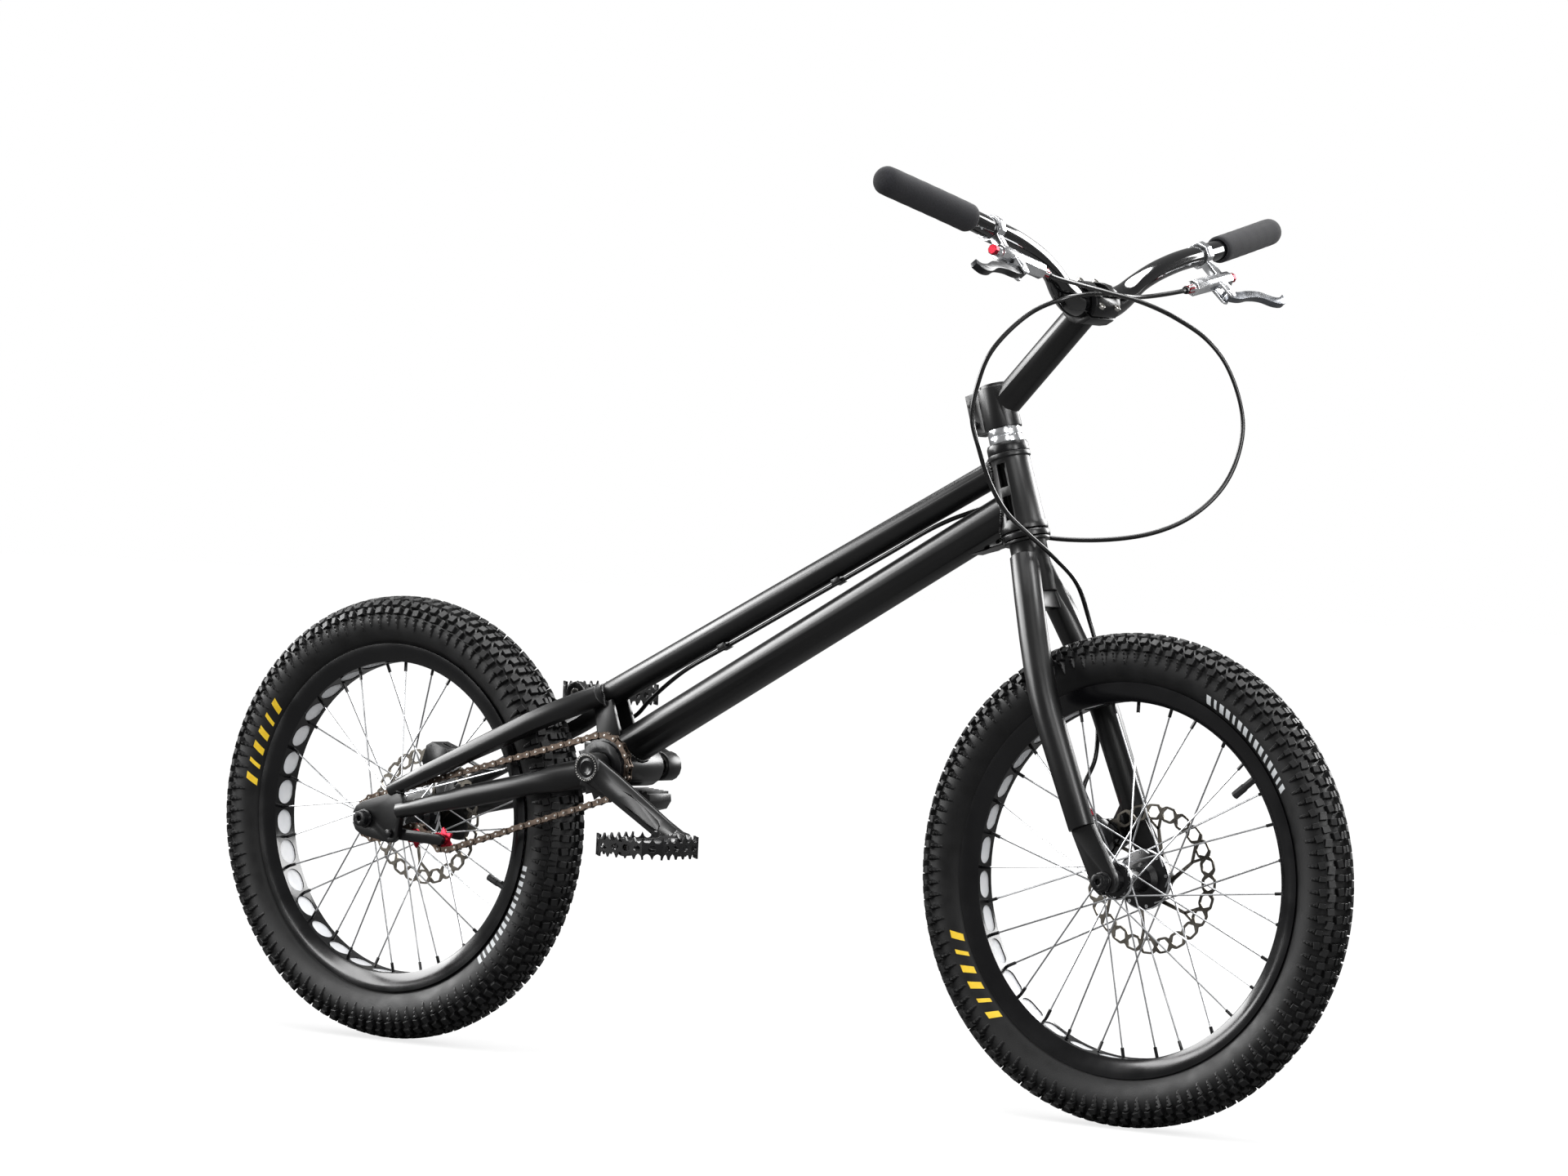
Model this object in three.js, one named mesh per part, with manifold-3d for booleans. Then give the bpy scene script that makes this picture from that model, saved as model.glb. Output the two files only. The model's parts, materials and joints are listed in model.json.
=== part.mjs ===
// Trials bike, built from its separate pieces.
// Millimetres. +X points forward, +Y to the rider's left, +Z up.
// The origin is on the ground, midway along the bike.

import * as THREE from 'three';
import { mergeVertices } from 'three/addons/utils/BufferGeometryUtils.js';
import Module from 'manifold-3d';

const wasm = await Module();
wasm.setup();

const deg = Math.PI / 180;
const turn = 2 * Math.PI;

// Layout of the whole bike
const wheelbase = 1010;
const chainstayLength = 340.6;
const bottomBracketRise = 79.4;
const headAngle = 73 * deg;
const forkRake = 42.3;

// Clearances
const seatGap = 0.3; // between pieces that are welded, pressed or bolted together
const runGap = 0.8; // between pieces that turn past each other
const overrun = 6; // how far a cutter runs past the face it cuts
const crownClearance = 121; // from the front tyre up to the seat of the fork's crown

// Wheels
const spokesPerSide = 16;
const spokeCrossings = 3;
const spokeWidth = 2;
const spokeFullness = 0.8; // a three-sided rod is drawn this much smaller, to weigh like a round one
const hoopSides = 32;
const frontTyre = { height: 59, width: 52, tread: 9, beadWidth: 5 };
const rearTyre = { height: 63, width: 64, tread: 10, beadWidth: 5 };
const frontRim = { seatRadius: 203, flange: 6, width: 36, wall: 2.4, depth: 14.5, floorWidth: 25 };
const rearRim = { seatRadius: 197, flange: 6, width: 46, wall: 2.4, depth: 15, floorWidth: 34 };
const frontHub = {
  overlap: 100, bodyRadius: 14, capRadius: 12, boreRadius: 6.2, flangeThickness: 3.5,
  rightFlange: { y: -33, radius: 20, holeCircle: 16.5 },
  leftFlange: { y: 22, radius: 32, holeCircle: 28.5 },
  rotorY: 36, rotorSeatRadius: 17, rotorBossRadius: 24,
};
const rearHub = {
  overlap: 116, bodyRadius: 16, capRadius: 12, boreRadius: 6.2, flangeThickness: 3.5,
  rightFlange: { y: -26, radius: 26, holeCircle: 22.5 },
  leftFlange: { y: 30, radius: 32, holeCircle: 28.5 },
  rotorY: 44, rotorSeatRadius: 17, rotorBossRadius: 24,
};
const spokeRimOffset = 4; // how far a spoke's end lies from the rim's middle
const rotor = {
  radius: 80, thickness: 2, waves: 24, waveDepth: 2.6, arms: 6, armWidth: 5, innerRing: 63, carrierRadius: 26,
};
const valve = {
  radius: 4, length: 34, capRadius: 4.6, capLength: 16, capChamfer: 1, footRadius: 5, footHeight: 4,
};
const frontValveAngle = 39 * deg;
const rearValveAngle = -24 * deg;

// Axles, with a bolt head at each end
const axle = { radius: 5, headRadius: 9, headLength: 9, washerRadius: 11, washer: 2, socketRadius: 3.4,
  socketDepth: 5 };

// Drive
const chainPitch = 12.7;
const chainline = 47;
const rearTeeth = 12;
const frontTeeth = 18;
const jockeyTeeth = 6;
const toothThickness = 2.2;
const chain = { rollerRadius: 3, plateHalfHeight: 3.7, plate: 1.1, innerGap: 3.3, step: 3.4 };
const freewheel = { bodyRadius: 30, bodyWidth: 11, boreRadius: 17 };
const rearSprocket = { collarRadius: 19.4, collarWidth: 7, boreRadius: 15 };
const jockey = { hubRadius: 6.8, hubWidth: 8, boreRadius: 3.4, spacing: 41 };
const tensioner = {
  pivotForward: 38, pivotBelow: 15, reach: 66, halfHeight: 7, thickness: 5, nominalAngle: 2 * deg,
  pinRadius: 2.9, bossRadius: 6, boltRadius: 5, boltHead: 4,
};

// Bottom bracket and cranks
const bottomBracket = { radius: 22, width: 73, boreRadius: 17.5, flangeRadius: 21, flange: 2.4,
  cupDepth: 20 };
const spindle = { radius: 11, length: 132 };
const crank = {
  length: 160, rightAngle: -28.3 * deg, bossRadius: 17, bossOuter: 78, bossInner: 55, eyeRadius: 13.5,
  eyeOuter: 88, thickness: 15, thicknessAtEye: 13, widthAtBoss: 15.5, widthAtEye: 12, capRadius: 11.5,
  capRecess: 4, pocketDepth: 3.5, pocketShare: 0.52,
};
const pedal = {
  inner: 95, length: 92, width: 96, height: 14, tooth: 5, teeth: 5, wall: 3, axleRadius: 6, sleeveRadius: 10,
  webHeight: 9, webThickness: 5, cornerCut: 16,
};

// Frame
const headTube = {
  lowerCupHeight: 9, upperCupHeight: 11, length: 86, topRadius: 21.5, bottomRadius: 24, ringRadius: 25.5,
  ringHeight: 6, boreRadius: 19, cupRadius: 23, lowerCupRadius: 26.5, pocketWidth: 15, pocketHeight: 30,
  pocketDepth: 4,
};
const topTube = { radius: 15, wall: 2, meetsHeadAt: 84.6, rearForward: 289, rearRise: 153, clipHeight: 5.5 };
const downTube = { radius: 21.5, wall: 2, meetsHeadAt: 38, aboveBracket: 18 };
const seatTube = { width: 34, topDepth: 26, behindBracket: 27, aheadOfBracket: 12, wall: 5, pocketDepth: 20 };
const gusset = { thickness: 26, reach: 74, depth: 20, holeRadius: 5, holes: 3, holeSpacing: 17,
  holeStretch: 5 };
const dropout = { thickness: 8, nose: 10, axleBoss: 20, toeForward: 46, toeRise: 24, tabRadius: 11 };
const chainStay = {
  rearHalfWidth: 8, rearHalfHeight: 9, midHalfWidth: 10.5, midHalfHeight: 13, yokeHalfWidth: 8.5,
  yokeHalfHeight: 17, rearSide: 62, midSide: 48.5, yokeSide: 38, frontSide: 25,
};
const seatStay = { rearRadius: 8.5, midRadius: 12.5, frontRadius: 13, rearSide: 62, midSide: 47,
  frontSide: 17 };

// Fork, measured down the steering axis from the crown's seat
const fork = {
  steererRadius: 14.3, steererTop: 166, raceRadius: 25, raceHeight: 3.2, crownRadius: 20.5, crownDrop: 60,
  archThickness: 16, archDrop: 78, archHalfWidth: 34, legRadius: 16, legTipRadius: 14.5, legSide: 57,
  legTopSide: 12,
  legTop: -20, legShoulder: -200, legEndRise: 61, legBottomForward: 29, dropoutThickness: 9,
  dropoutRadius: 15,
  bracketReach: 30, bracketRadius: 9,
};

// Cockpit
const stem = {
  clampBottom: 123.5, clampHeight: 45, clampRadius: 20.5, length: 160, angle: 29.4 * deg, tubeRadius: 16.5,
  tubeStart: 145, faceRadius: 23, faceWidth: 46, faceGap: 2, earDepth: 12, earWidth: 24, slit: 2,
  boltRadius: 4,
  boltProud: 3, boltEnd: 1, boltInset: 11, capRadius: 17, capHeight: 4, windowWidth: 22,
};
const spacers = { radius: 18.5, grooveRadius: 17.3, grooveWidth: 1, count: 2 };
const bar = {
  radius: 11.1, clampRadius: 15.9, clampHalf: 30, taperEnd: 92, halfLength: 380, sweep: 9.5, rise: 104,
};
// The bar's bends on one side, as shares of its half length, its sweep and its rise.
const barBendShares = [
  [0.084, 0, 0], [0.158, 0.21, 0.106], [0.218, 0.53, 0.25], [0.29, 0.74, 0.375], [0.382, 0.84, 0.49],
  [0.608, 0.63, 0.673], [1.013, -1, 1],
];
// Where the bar's skin has a ring of points, as shares of its half length.
const barRingShares = [0.126, 0.174, 0.218, 0.258, 0.321, 0.421];
const grip = { radius: 15, length: 141, proud: 6, bullet: 12 };
const gripEnd = bar.halfLength + grip.proud;
const gripStart = gripEnd - grip.length;
const lever = {
  fromBarEnd: 175, drop: 50 * deg, bodyOffset: 37, bodyRadius: 9, bodyInboard: 62, bodyOutboard: 14,
  clampRadius: 15,
  clampWidth: 12, webWidth: 10, pivotOffset: 57, pivotInboard: 10, pinRadius: 2.5, earRadius: 6.5,
  earThickness: 3,
  pinProud: 1,
  knobRadius: 5.5, knobLength: 12, fittingRadius: 5, fittingLength: 12,
};
const blade = { length: 94, reach: 26, halfThickness: 4, rootRadius: 5.2, clearance: 0.4 };
// The blade's middle line as shares of its length and reach, and its half width as a share of its root's.
const bladeShares = [
  [0, 0, 1], [0.17, 0.19, 0.88], [0.38, 0.23, 0.81], [0.62, 0.46, 0.85], [0.81, 0.85, 0.88], [1, 1, 0.81],
];

// Brakes
const hoseRadius = 2.5;
const hoseLead = 12; // how far a hose runs straight from each fitting
// Way points of the hoses as [forward, left, up] from the crown's seat, along the steering axis.
const rearLoopRoute = [
  [175, -30, 225], [179, 40, 215], [188, 85, 198], [198, 125, 172], [204, 145, 140], [201, 158, 86],
  [188, 152, 46],
  [169, 135, 14], [140, 110, -9], [103, 85, -18], [49, 55, -12],
];
const hoseMeeting = [-11, 30, 16];
const hoseMeetingLead = [-14, 1, 17];
const behindHeadRoute = [[-47, 23, 50], [-79, 8, 49]];
const frontHoseRoute = [
  [163, 70, 228], [167, -32, 224], [152, -75, 220], [121, -95, 212], [80, -118, 182], [57, -122, 152],
  [40, -120, 120],
  [33, -108, 87], [22, -84, 56], [17, -56, 25], [22, -32, 1], [28, 0, -26], [25, 40, -54], [16, 64, -89],
  [14, 70, -129], [-2, 73, -188], [-10, 60, -239], [-26, 50, -268],
];
// The rear hose's way points past the seat tube and under the left stay, from the rear axle.
const besideTyreRoute = [
  [341, 23, 156], [314, 31, 136], [280, 36, 125], [246, 42, 110], [200, 47, 92], [150, 49, 69],
  [115, 42, 62], [86, 43, 61],
];
const caliper = {
  radius: 72, innerRadius: 56, outerRadius: 90, halfLength: 18, inward: 15, outward: 13.7, bevel: 7,
  slotHalf: 2.2,
  slotDepth: 82, windowInner: 58, windowOuter: 80, windowHalf: 10.5, padHalf: 10, padInner: 60, padOuter: 78,
  padThickness: 3.4, padGap: 0.7, bridgeHalf: 6, fittingRadius: 5, fittingLength: 9,
  frontFittingSide: 6, frontFittingDrop: 8, rearFittingRadius: 84, rearFittingSide: 2,
};
const frontCaliperAngle = 130 * deg;
const rearCaliperAngle = 72 * deg;

// Finishes
const finish = (color, roughness, metalness) =>
  new THREE.MeshStandardMaterial({ color, roughness, metalness });
const satinBlack = finish(0x1c1c1e, 0.5, 0.3);
const glossBlack = finish(0x101012, 0.15, 0.3);
const blackAnodised = finish(0x141416, 0.35, 0.7);
const rubber = finish(0x17171a, 0.85, 0);
const foam = finish(0x3b3b40, 0.95, 0);
const polished = finish(0xc9cbd0, 0.2, 1);
const stainless = finish(0xb4b6b8, 0.3, 1);
const rotorSteel = finish(0x8f8d8a, 0.4, 1);
const chainBronze = finish(0x6f6158, 0.45, 0.9);
const redAnodised = finish(0xc0182a, 0.3, 0.7);
const hoseBlack = finish(0x0e0e10, 0.4, 0);

// Places worked out from the sizes above
const frontRadius = frontRim.seatRadius + frontTyre.height;
const rearRadius = rearRim.seatRadius + rearTyre.height;
const forkLength = frontRadius + crownClearance;
const floorRadiusOf = (rim) => rim.seatRadius - rim.depth;
const rearAxleX = -(wheelbase + frontRadius - rearRadius) / 2;
const frontAxleX = rearAxleX + wheelbase;
const bracketX = rearAxleX + Math.sqrt(chainstayLength ** 2 - bottomBracketRise ** 2);
const bracketZ = rearRadius + bottomBracketRise;
const steerUp = new THREE.Vector3(-Math.cos(headAngle), 0, Math.sin(headAngle));
const steerForward = new THREE.Vector3(Math.sin(headAngle), 0, Math.cos(headAngle));
const crownSeat = new THREE.Vector3(frontAxleX, 0, frontRadius)
  .addScaledVector(steerUp, forkLength)
  .addScaledVector(steerForward, -forkRake);
const onSteerAxis = (height) => crownSeat.clone().addScaledVector(steerUp, height);

// Turning geometry into solids and back

const vec = (x, y, z) => new THREE.Vector3(x, y, z);

function solid(geometry) {
  const bare = new THREE.BufferGeometry();
  bare.setAttribute('position', geometry.getAttribute('position').clone());
  if (geometry.index) bare.setIndex(geometry.index.clone());
  const merged = mergeVertices(bare, 1e-4);
  const points = merged.getAttribute('position').array;
  const corners = Uint32Array.from(merged.index.array);
  if (signedVolume(points, corners) < 0) {
    for (let i = 0; i < corners.length; i += 3) {
      [corners[i], corners[i + 1]] = [corners[i + 1], corners[i]];
    }
  }
  return new wasm.Manifold(new wasm.Mesh({ numProp: 3, vertProperties: points, triVerts: corners }));
}

function signedVolume(points, corners) {
  const at = (i) => vec(points[3 * i], points[3 * i + 1], points[3 * i + 2]);
  let sum = 0;
  for (let i = 0; i < corners.length; i += 3) {
    sum += at(corners[i]).dot(at(corners[i + 1]).cross(at(corners[i + 2])));
  }
  return sum / 6;
}

function geometryOf(body) {
  const mesh = body.getMesh();
  const geometry = new THREE.BufferGeometry();
  geometry.setAttribute('position', new THREE.BufferAttribute(Float32Array.from(mesh.vertProperties), 3));
  geometry.setIndex(new THREE.BufferAttribute(Uint32Array.from(mesh.triVerts), 1));
  geometry.computeVertexNormals();
  return geometry;
}

const join = (solids) => solids.reduce((whole, piece) => whole.add(piece));
const cut = (body, cutters) => cutters.reduce((rest, cutter) => rest.subtract(cutter), body);

// Shapes

// A turned piece around the Y axis, from its closed outline of [radius, y] pairs.
function turned(outline, sides) {
  const points = outline.map(([radius, y]) => new THREE.Vector2(radius, y));
  points.push(points[0].clone());
  return new THREE.LatheGeometry(points, sides);
}

// The same around the Z axis, from [radius, z] pairs.
const turnedUp = (outline, sides) => turned(outline, sides).rotateX(Math.PI / 2);

const disc = (radius, low, high, sides) => turned([[0, low], [radius, low], [radius, high], [0, high]],
  sides);
const ring = (inner, outer, low, high, sides) =>
  turned([[inner, low], [outer, low], [outer, high], [inner, high]], sides);

// A radius whose flats, not its corners, lie at the size asked for.
const overFlats = (radius, sides) => radius / Math.cos(Math.PI / sides);

// A flat plate standing in the XZ plane, between two values of Y.
function plate(shape, low, high) {
  const geometry = new THREE.ExtrudeGeometry(shape,
    { depth: high - low, bevelEnabled: false, curveSegments: 6 });
  return geometry.rotateX(Math.PI / 2).translate(0, high, 0);
}

const outlineShape = (points) => new THREE.Shape(points.map(([x, y]) => new THREE.Vector2(x, y)));

// The outline round a set of circles [x, y, radius], pulled tight like a belt.
function beltOutline(circles, steps, grow = 0) {
  const cloud = [];
  for (const [x, y, radius] of circles) {
    for (let i = 0; i < steps; i++) {
      const angle = turn * (i + 0.5) / steps;
      cloud.push([x + (radius + grow) * Math.cos(angle), y + (radius + grow) * Math.sin(angle)]);
    }
  }
  cloud.sort((a, b) => a[0] - b[0] || a[1] - b[1]);
  const half = (points) => {
    const hull = [];
    for (const p of points) {
      while (hull.length > 1) {
        const [a, b] = hull.slice(-2);
        if ((b[0] - a[0]) * (p[1] - a[1]) - (b[1] - a[1]) * (p[0] - a[0]) > 1e-9) break;
        hull.pop();
      }
      hull.push(p);
    }
    hull.pop();
    return hull;
  };
  return [...half(cloud), ...half([...cloud].reverse())];
}

// A tube of one section swept along a curve.
function swept(curve, radius, sides, steps) {
  const section = new THREE.Shape();
  for (let i = 0; i < sides; i++) {
    const angle = turn * (i + 0.5) / sides;
    const x = radius * Math.cos(angle);
    const y = radius * Math.sin(angle);
    if (i === 0) section.moveTo(x, y);
    else section.lineTo(x, y);
  }
  return new THREE.ExtrudeGeometry(section, { extrudePath: curve, steps, bevelEnabled: false });
}

// A straight rod between two points.
const rod = (from, to, radius, sides) => swept(new THREE.LineCurve3(from, to), radius, sides, 1);

// A loft through oval stations {at, wide, high}, each square to the path and wide along the reference.
function lofted(stations, sides, reference = vec(0, 1, 0)) {
  const rings = stations.map(({ at, wide, high, along }, i) => {
    const before = stations[Math.max(i - 1, 0)].at;
    const after = stations[Math.min(i + 1, stations.length - 1)].at;
    const forward = along ? along.clone() : after.clone().sub(before);
    forward.normalize();
    const side = reference.clone().addScaledVector(forward, -forward.dot(reference)).normalize();
    const up = forward.clone().cross(side);
    return Array.from({ length: sides }, (_, k) => {
      const angle = turn * (k + 0.5) / sides;
      return at.clone()
        .addScaledVector(side, wide * Math.cos(angle))
        .addScaledVector(up, high * Math.sin(angle));
    });
  });
  return skinned(rings);
}

// Closes a stack of rings, each with the same number of points, into one skin with flat ends.
function skinned(rings) {
  const sides = rings[0].length;
  const points = rings.flat();
  const corners = [];
  for (let i = 0; i + 1 < rings.length; i++) {
    for (let k = 0; k < sides; k++) {
      const [a, b] = [i * sides + k, i * sides + (k + 1) % sides];
      corners.push(a, b, b + sides, a, b + sides, a + sides);
    }
  }
  const last = (rings.length - 1) * sides;
  for (let k = 1; k + 1 < sides; k++) {
    corners.push(0, k + 1, k, last, last + k, last + k + 1);
  }
  const geometry = new THREE.BufferGeometry().setFromPoints(points);
  geometry.setIndex(corners);
  return geometry;
}

const mirroredY = (geometry) => geometry.clone().scale(1, -1, 1);

// The assembly

const bike = new THREE.Group();
bike.name = 'trials_bike';

function add(parent, name, body, material) {
  const geometry = body.isBufferGeometry ? geometryOf(solid(body)) : geometryOf(body);
  const mesh = new THREE.Mesh(geometry, material);
  mesh.name = name;
  parent.add(mesh);
  return mesh;
}

const sides = [['right', -1], ['left', 1]];

// Wheels

function tyreBody(tyre, rim) {
  const bead = rim.width / 2 - rim.wall - seatGap;
  const half = tyre.width / 2;
  const seat = rim.seatRadius + seatGap;
  const outside = rim.seatRadius + tyre.height;
  const height = outside - seat;
  const flangeTop = rim.seatRadius + rim.flange + seatGap;
  const outer = [
    [seat, bead], [flangeTop, bead], [seat + 0.58 * height, half], [outside, 0.5 * half],
  ];
  const inner = [[outside - tyre.tread, 0.5 * half], [seat, bead - tyre.beadWidth]];
  const flip = ([radius, y]) => [radius, -y];
  return turned([...outer, ...[...outer].reverse().map(flip), ...[...inner].reverse().map(flip), ...inner],
    hoopSides);
}

function rimBody(rim) {
  const half = rim.width / 2;
  const floorHalf = rim.floorWidth / 2;
  const top = rim.seatRadius + rim.flange;
  const floor = floorRadiusOf(rim);
  const side = [[top, half], [floor, floorHalf]];
  const inside = [
    [top, half - rim.wall], [rim.seatRadius, half - rim.wall], [floor + rim.wall, floorHalf - rim.wall / 2],
  ];
  const flip = ([radius, y]) => [radius, -y];
  const outline = [
    ...side, ...[...side].reverse().map(flip), ...inside.map(flip), ...[...inside].reverse(),
  ];
  return turned(outline, hoopSides);
}

function hubBody(hub) {
  const end = hub.overlap / 2 - seatGap;
  const half = hub.flangeThickness / 2;
  const { rightFlange, leftFlange } = hub;
  const outline = [
    [hub.boreRadius, -end], [hub.capRadius, -end], [hub.capRadius, rightFlange.y - 2 * half],
    [rightFlange.radius, rightFlange.y - half], [rightFlange.radius, rightFlange.y + half],
    [hub.bodyRadius, rightFlange.y + 3 * half], [hub.bodyRadius, leftFlange.y - 4 * half],
    [leftFlange.radius, leftFlange.y - half], [leftFlange.radius, leftFlange.y + half],
    [hub.rotorBossRadius, hub.rotorY - rotor.thickness / 2 - seatGap],
    [hub.rotorSeatRadius, hub.rotorY - rotor.thickness / 2 - seatGap],
    [hub.rotorSeatRadius, hub.rotorY + rotor.thickness],
    [hub.capRadius, hub.rotorY + rotor.thickness], [hub.capRadius, end], [hub.boreRadius, end],
  ];
  return turned(outline, 16);
}

// Angle, measured in the wheel's plane, between a spoke's hole in the hub and its hole in the rim.
const spokeLead = spokeCrossings * turn / spokesPerSide;

// The spokes of one flange, laced across each other and touching at every crossing.
function spokeSet(hub, rim, flange, sideSign) {
  const rimY = sideSign * spokeRimOffset;
  const rimRadius = floorRadiusOf(rim) - seatGap - 0.4 * spokeWidth;
  const spokes = Array.from({ length: spokesPerSide }, (_, i) => {
    const lead = i % 2 ? spokeLead : -spokeLead;
    const phase = (i + (sideSign > 0 ? 0.5 : 0)) * turn / spokesPerSide;
    const hubAngle = phase + lead;
    const rimEnd = vec(rimRadius * Math.cos(phase), rimY, rimRadius * Math.sin(phase));
    const hubEnd = vec(flange.holeCircle * Math.cos(hubAngle), flange.y, flange.holeCircle
      * Math.sin(hubAngle));
    const along = rimEnd.clone().sub(hubEnd).normalize();
    const flat = vec(along.x, 0, along.z);
    const clear = flange.radius + seatGap + spokeWidth / 2;
    const forward = flat.dot(hubEnd);
    const reach = (-forward + Math.sqrt(forward ** 2 + flat.lengthSq()
      * (clear ** 2 - flange.holeCircle ** 2)))
      / flat.lengthSq();
    const start = hubEnd.clone().addScaledVector(along, reach);
    return solid(rod(start, rimEnd, overFlats(spokeWidth / 2, 3) * spokeFullness, 3));
  });
  return join(spokes);
}

// A brake rotor: a ring with a wavy edge, carried by swept arms.
function rotorBody(seatRadius, y) {
  const step = turn / rotor.waves;
  const polar = (radius, angle) => [radius * Math.cos(angle), radius * Math.sin(angle)];
  const outer = [];
  const inner = [];
  for (let i = 0; i < rotor.waves; i++) {
    const angle = i * step;
    outer.push(polar(rotor.radius, angle), polar(rotor.radius - rotor.waveDepth, angle + 0.5 * step));
    inner.push(polar(rotor.innerRing, angle));
  }
  const band = outlineShape(outer);
  band.holes.push(new THREE.Path(inner.map(([a, b]) => new THREE.Vector2(a, b))));
  const low = y - rotor.thickness / 2;
  const high = y + rotor.thickness / 2;
  const arms = Array.from({ length: rotor.arms }, (_, i) => {
    const root = i * turn / rotor.arms;
    const tip = root + 2 * step;
    const half = rotor.armWidth / 2;
    const [rx, ry] = polar(rotor.carrierRadius - half, root);
    const [tx, ty] = polar(rotor.innerRing + rotor.waveDepth / 2, tip);
    return solid(plate(outlineShape(beltOutline([[rx, ry, half], [tx, ty, rotor.waveDepth]], 4)), low, high));
  });
  const bore = overFlats(seatRadius + seatGap, 16);
  return join([solid(plate(band, low, high)), solid(ring(bore, rotor.carrierRadius, low, high, 16)),
    ...arms]);
}

// A toothed outline: round seats for the chain's rollers with a tooth between each pair.
function sprocketOutline(teeth, phase) {
  const pitchRadius = chainPitch / (2 * Math.sin(Math.PI / teeth));
  const seat = overFlats(chain.rollerRadius + seatGap, 5);
  const points = [];
  for (let i = 0; i < teeth; i++) {
    const angle = phase + turn * i / teeth;
    const centre = [pitchRadius * Math.cos(angle), pitchRadius * Math.sin(angle)];
    for (const part of [-75, 0, 75]) {
      const around = angle + Math.PI - part * deg;
      points.push([centre[0] + seat * Math.cos(around), centre[1] + seat * Math.sin(around)]);
    }
    const tip = angle + Math.PI / teeth;
    const tipRadius = pitchRadius + seat * 0.5;
    points.push([tipRadius * Math.cos(tip), tipRadius * Math.sin(tip)]);
  }
  return points;
}

function sprocketPlate(teeth, phase) {
  return solid(plate(outlineShape(sprocketOutline(teeth, phase)), -toothThickness / 2, toothThickness / 2));
}

// A wheel's valve stem with its cap, pointing at the axle from the rim floor.
function valveBody(rim) {
  const foot = floorRadiusOf(rim) * Math.cos(Math.PI / hoopSides) - seatGap;
  const capEnd = foot - valve.length;
  const capTop = capEnd + valve.capLength;
  const outline = [
    [0, capEnd], [valve.capRadius, capEnd + valve.capChamfer], [valve.capRadius, capTop],
    [valve.radius, capTop],
    [valve.radius, foot - valve.footHeight], [valve.footRadius, foot], [0, foot],
  ];
  return turned(outline, 8).rotateZ(-Math.PI / 2);
}

// Chain path, in the plane of the chain: [x, z] pairs

const pitchRadiusOf = (teeth) => chainPitch / (2 * Math.sin(Math.PI / teeth));
const rearCentre = [rearAxleX, rearRadius];
const frontCentre = [bracketX, bracketZ];
const tensionerPivot = [rearAxleX + tensioner.pivotForward, rearRadius - tensioner.pivotBelow];

function jockeyCentres(angle) {
  const [x, z] = tensionerPivot;
  const at = (reach) => [x + reach * Math.cos(angle), z + reach * Math.sin(angle)];
  return [at(tensioner.reach), at(tensioner.reach - jockey.spacing)];
}

// Straight and curved stretches of a loop run round wheels; way is 1 where the wheel lies to the right.
function loopPath(wheels) {
  const tangents = wheels.map((a, i) => {
    const b = wheels[(i + 1) % wheels.length];
    const dx = b.centre[0] - a.centre[0];
    const dz = b.centre[1] - a.centre[1];
    const offset = b.way * b.radius - a.way * a.radius;
    const heading = Math.atan2(dz, dx) + Math.asin(offset / Math.hypot(dx, dz));
    const right = [Math.sin(heading), -Math.cos(heading)];
    const touch = (w) => [w.centre[0] - w.way * w.radius * right[0], w.centre[1] - w.way * w.radius
      * right[1]];
    return { from: touch(a), to: touch(b), heading };
  });
  const stretches = [];
  wheels.forEach((wheel, i) => {
    const arrive = tangents[(i + wheels.length - 1) % wheels.length];
    const leave = tangents[i];
    let swing = (arrive.heading - leave.heading) * wheel.way;
    while (swing < 0) swing += turn;
    while (swing > turn) swing -= turn;
    const start = Math.atan2(arrive.to[1] - wheel.centre[1], arrive.to[0] - wheel.centre[0]);
    stretches.push({
      length: swing * wheel.radius,
      at: (s) => {
        const angle = start - wheel.way * s / wheel.radius;
        return [wheel.centre[0] + wheel.radius * Math.cos(angle), wheel.centre[1] + wheel.radius
          * Math.sin(angle)];
      },
    });
    const length = Math.hypot(leave.to[0] - leave.from[0], leave.to[1] - leave.from[1]);
    stretches.push({
      length,
      at: (s) => leave.from.map((value, axis) => value + (leave.to[axis] - value) * s / length),
    });
  });
  const total = stretches.reduce((sum, stretch) => sum + stretch.length, 0);
  const at = (s) => {
    let rest = ((s % total) + total) % total;
    for (const stretch of stretches) {
      if (rest <= stretch.length) return stretch.at(rest);
      rest -= stretch.length;
    }
    return stretches[0].at(0);
  };
  return { total, at };
}

function chainPath(angle) {
  const [forward, back] = jockeyCentres(angle);
  return loopPath([
    { centre: rearCentre, radius: pitchRadiusOf(rearTeeth), way: 1 },
    { centre: frontCentre, radius: pitchRadiusOf(frontTeeth), way: 1 },
    { centre: forward, radius: pitchRadiusOf(jockeyTeeth), way: 1 },
    { centre: back, radius: pitchRadiusOf(jockeyTeeth), way: -1 },
  ]);
}

// Steps round the path one chain pitch at a time.
function stepRound(path, count) {
  const places = [0];
  for (let i = 0; i < count; i++) {
    const [x, z] = path.at(places[i]);
    let low = places[i] + 0.6 * chainPitch;
    let high = places[i] + 1.4 * chainPitch;
    for (let k = 0; k < 40; k++) {
      const middle = (low + high) / 2;
      const [mx, mz] = path.at(middle);
      if (Math.hypot(mx - x, mz - z) < chainPitch) low = middle;
      else high = middle;
    }
    places.push(low);
  }
  return places;
}

// The tensioner arm is swung until the loop holds a whole, even number of links.
const linkCount = 2 * Math.round(chainPath(tensioner.nominalAngle).total / chainPitch / 2);

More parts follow.
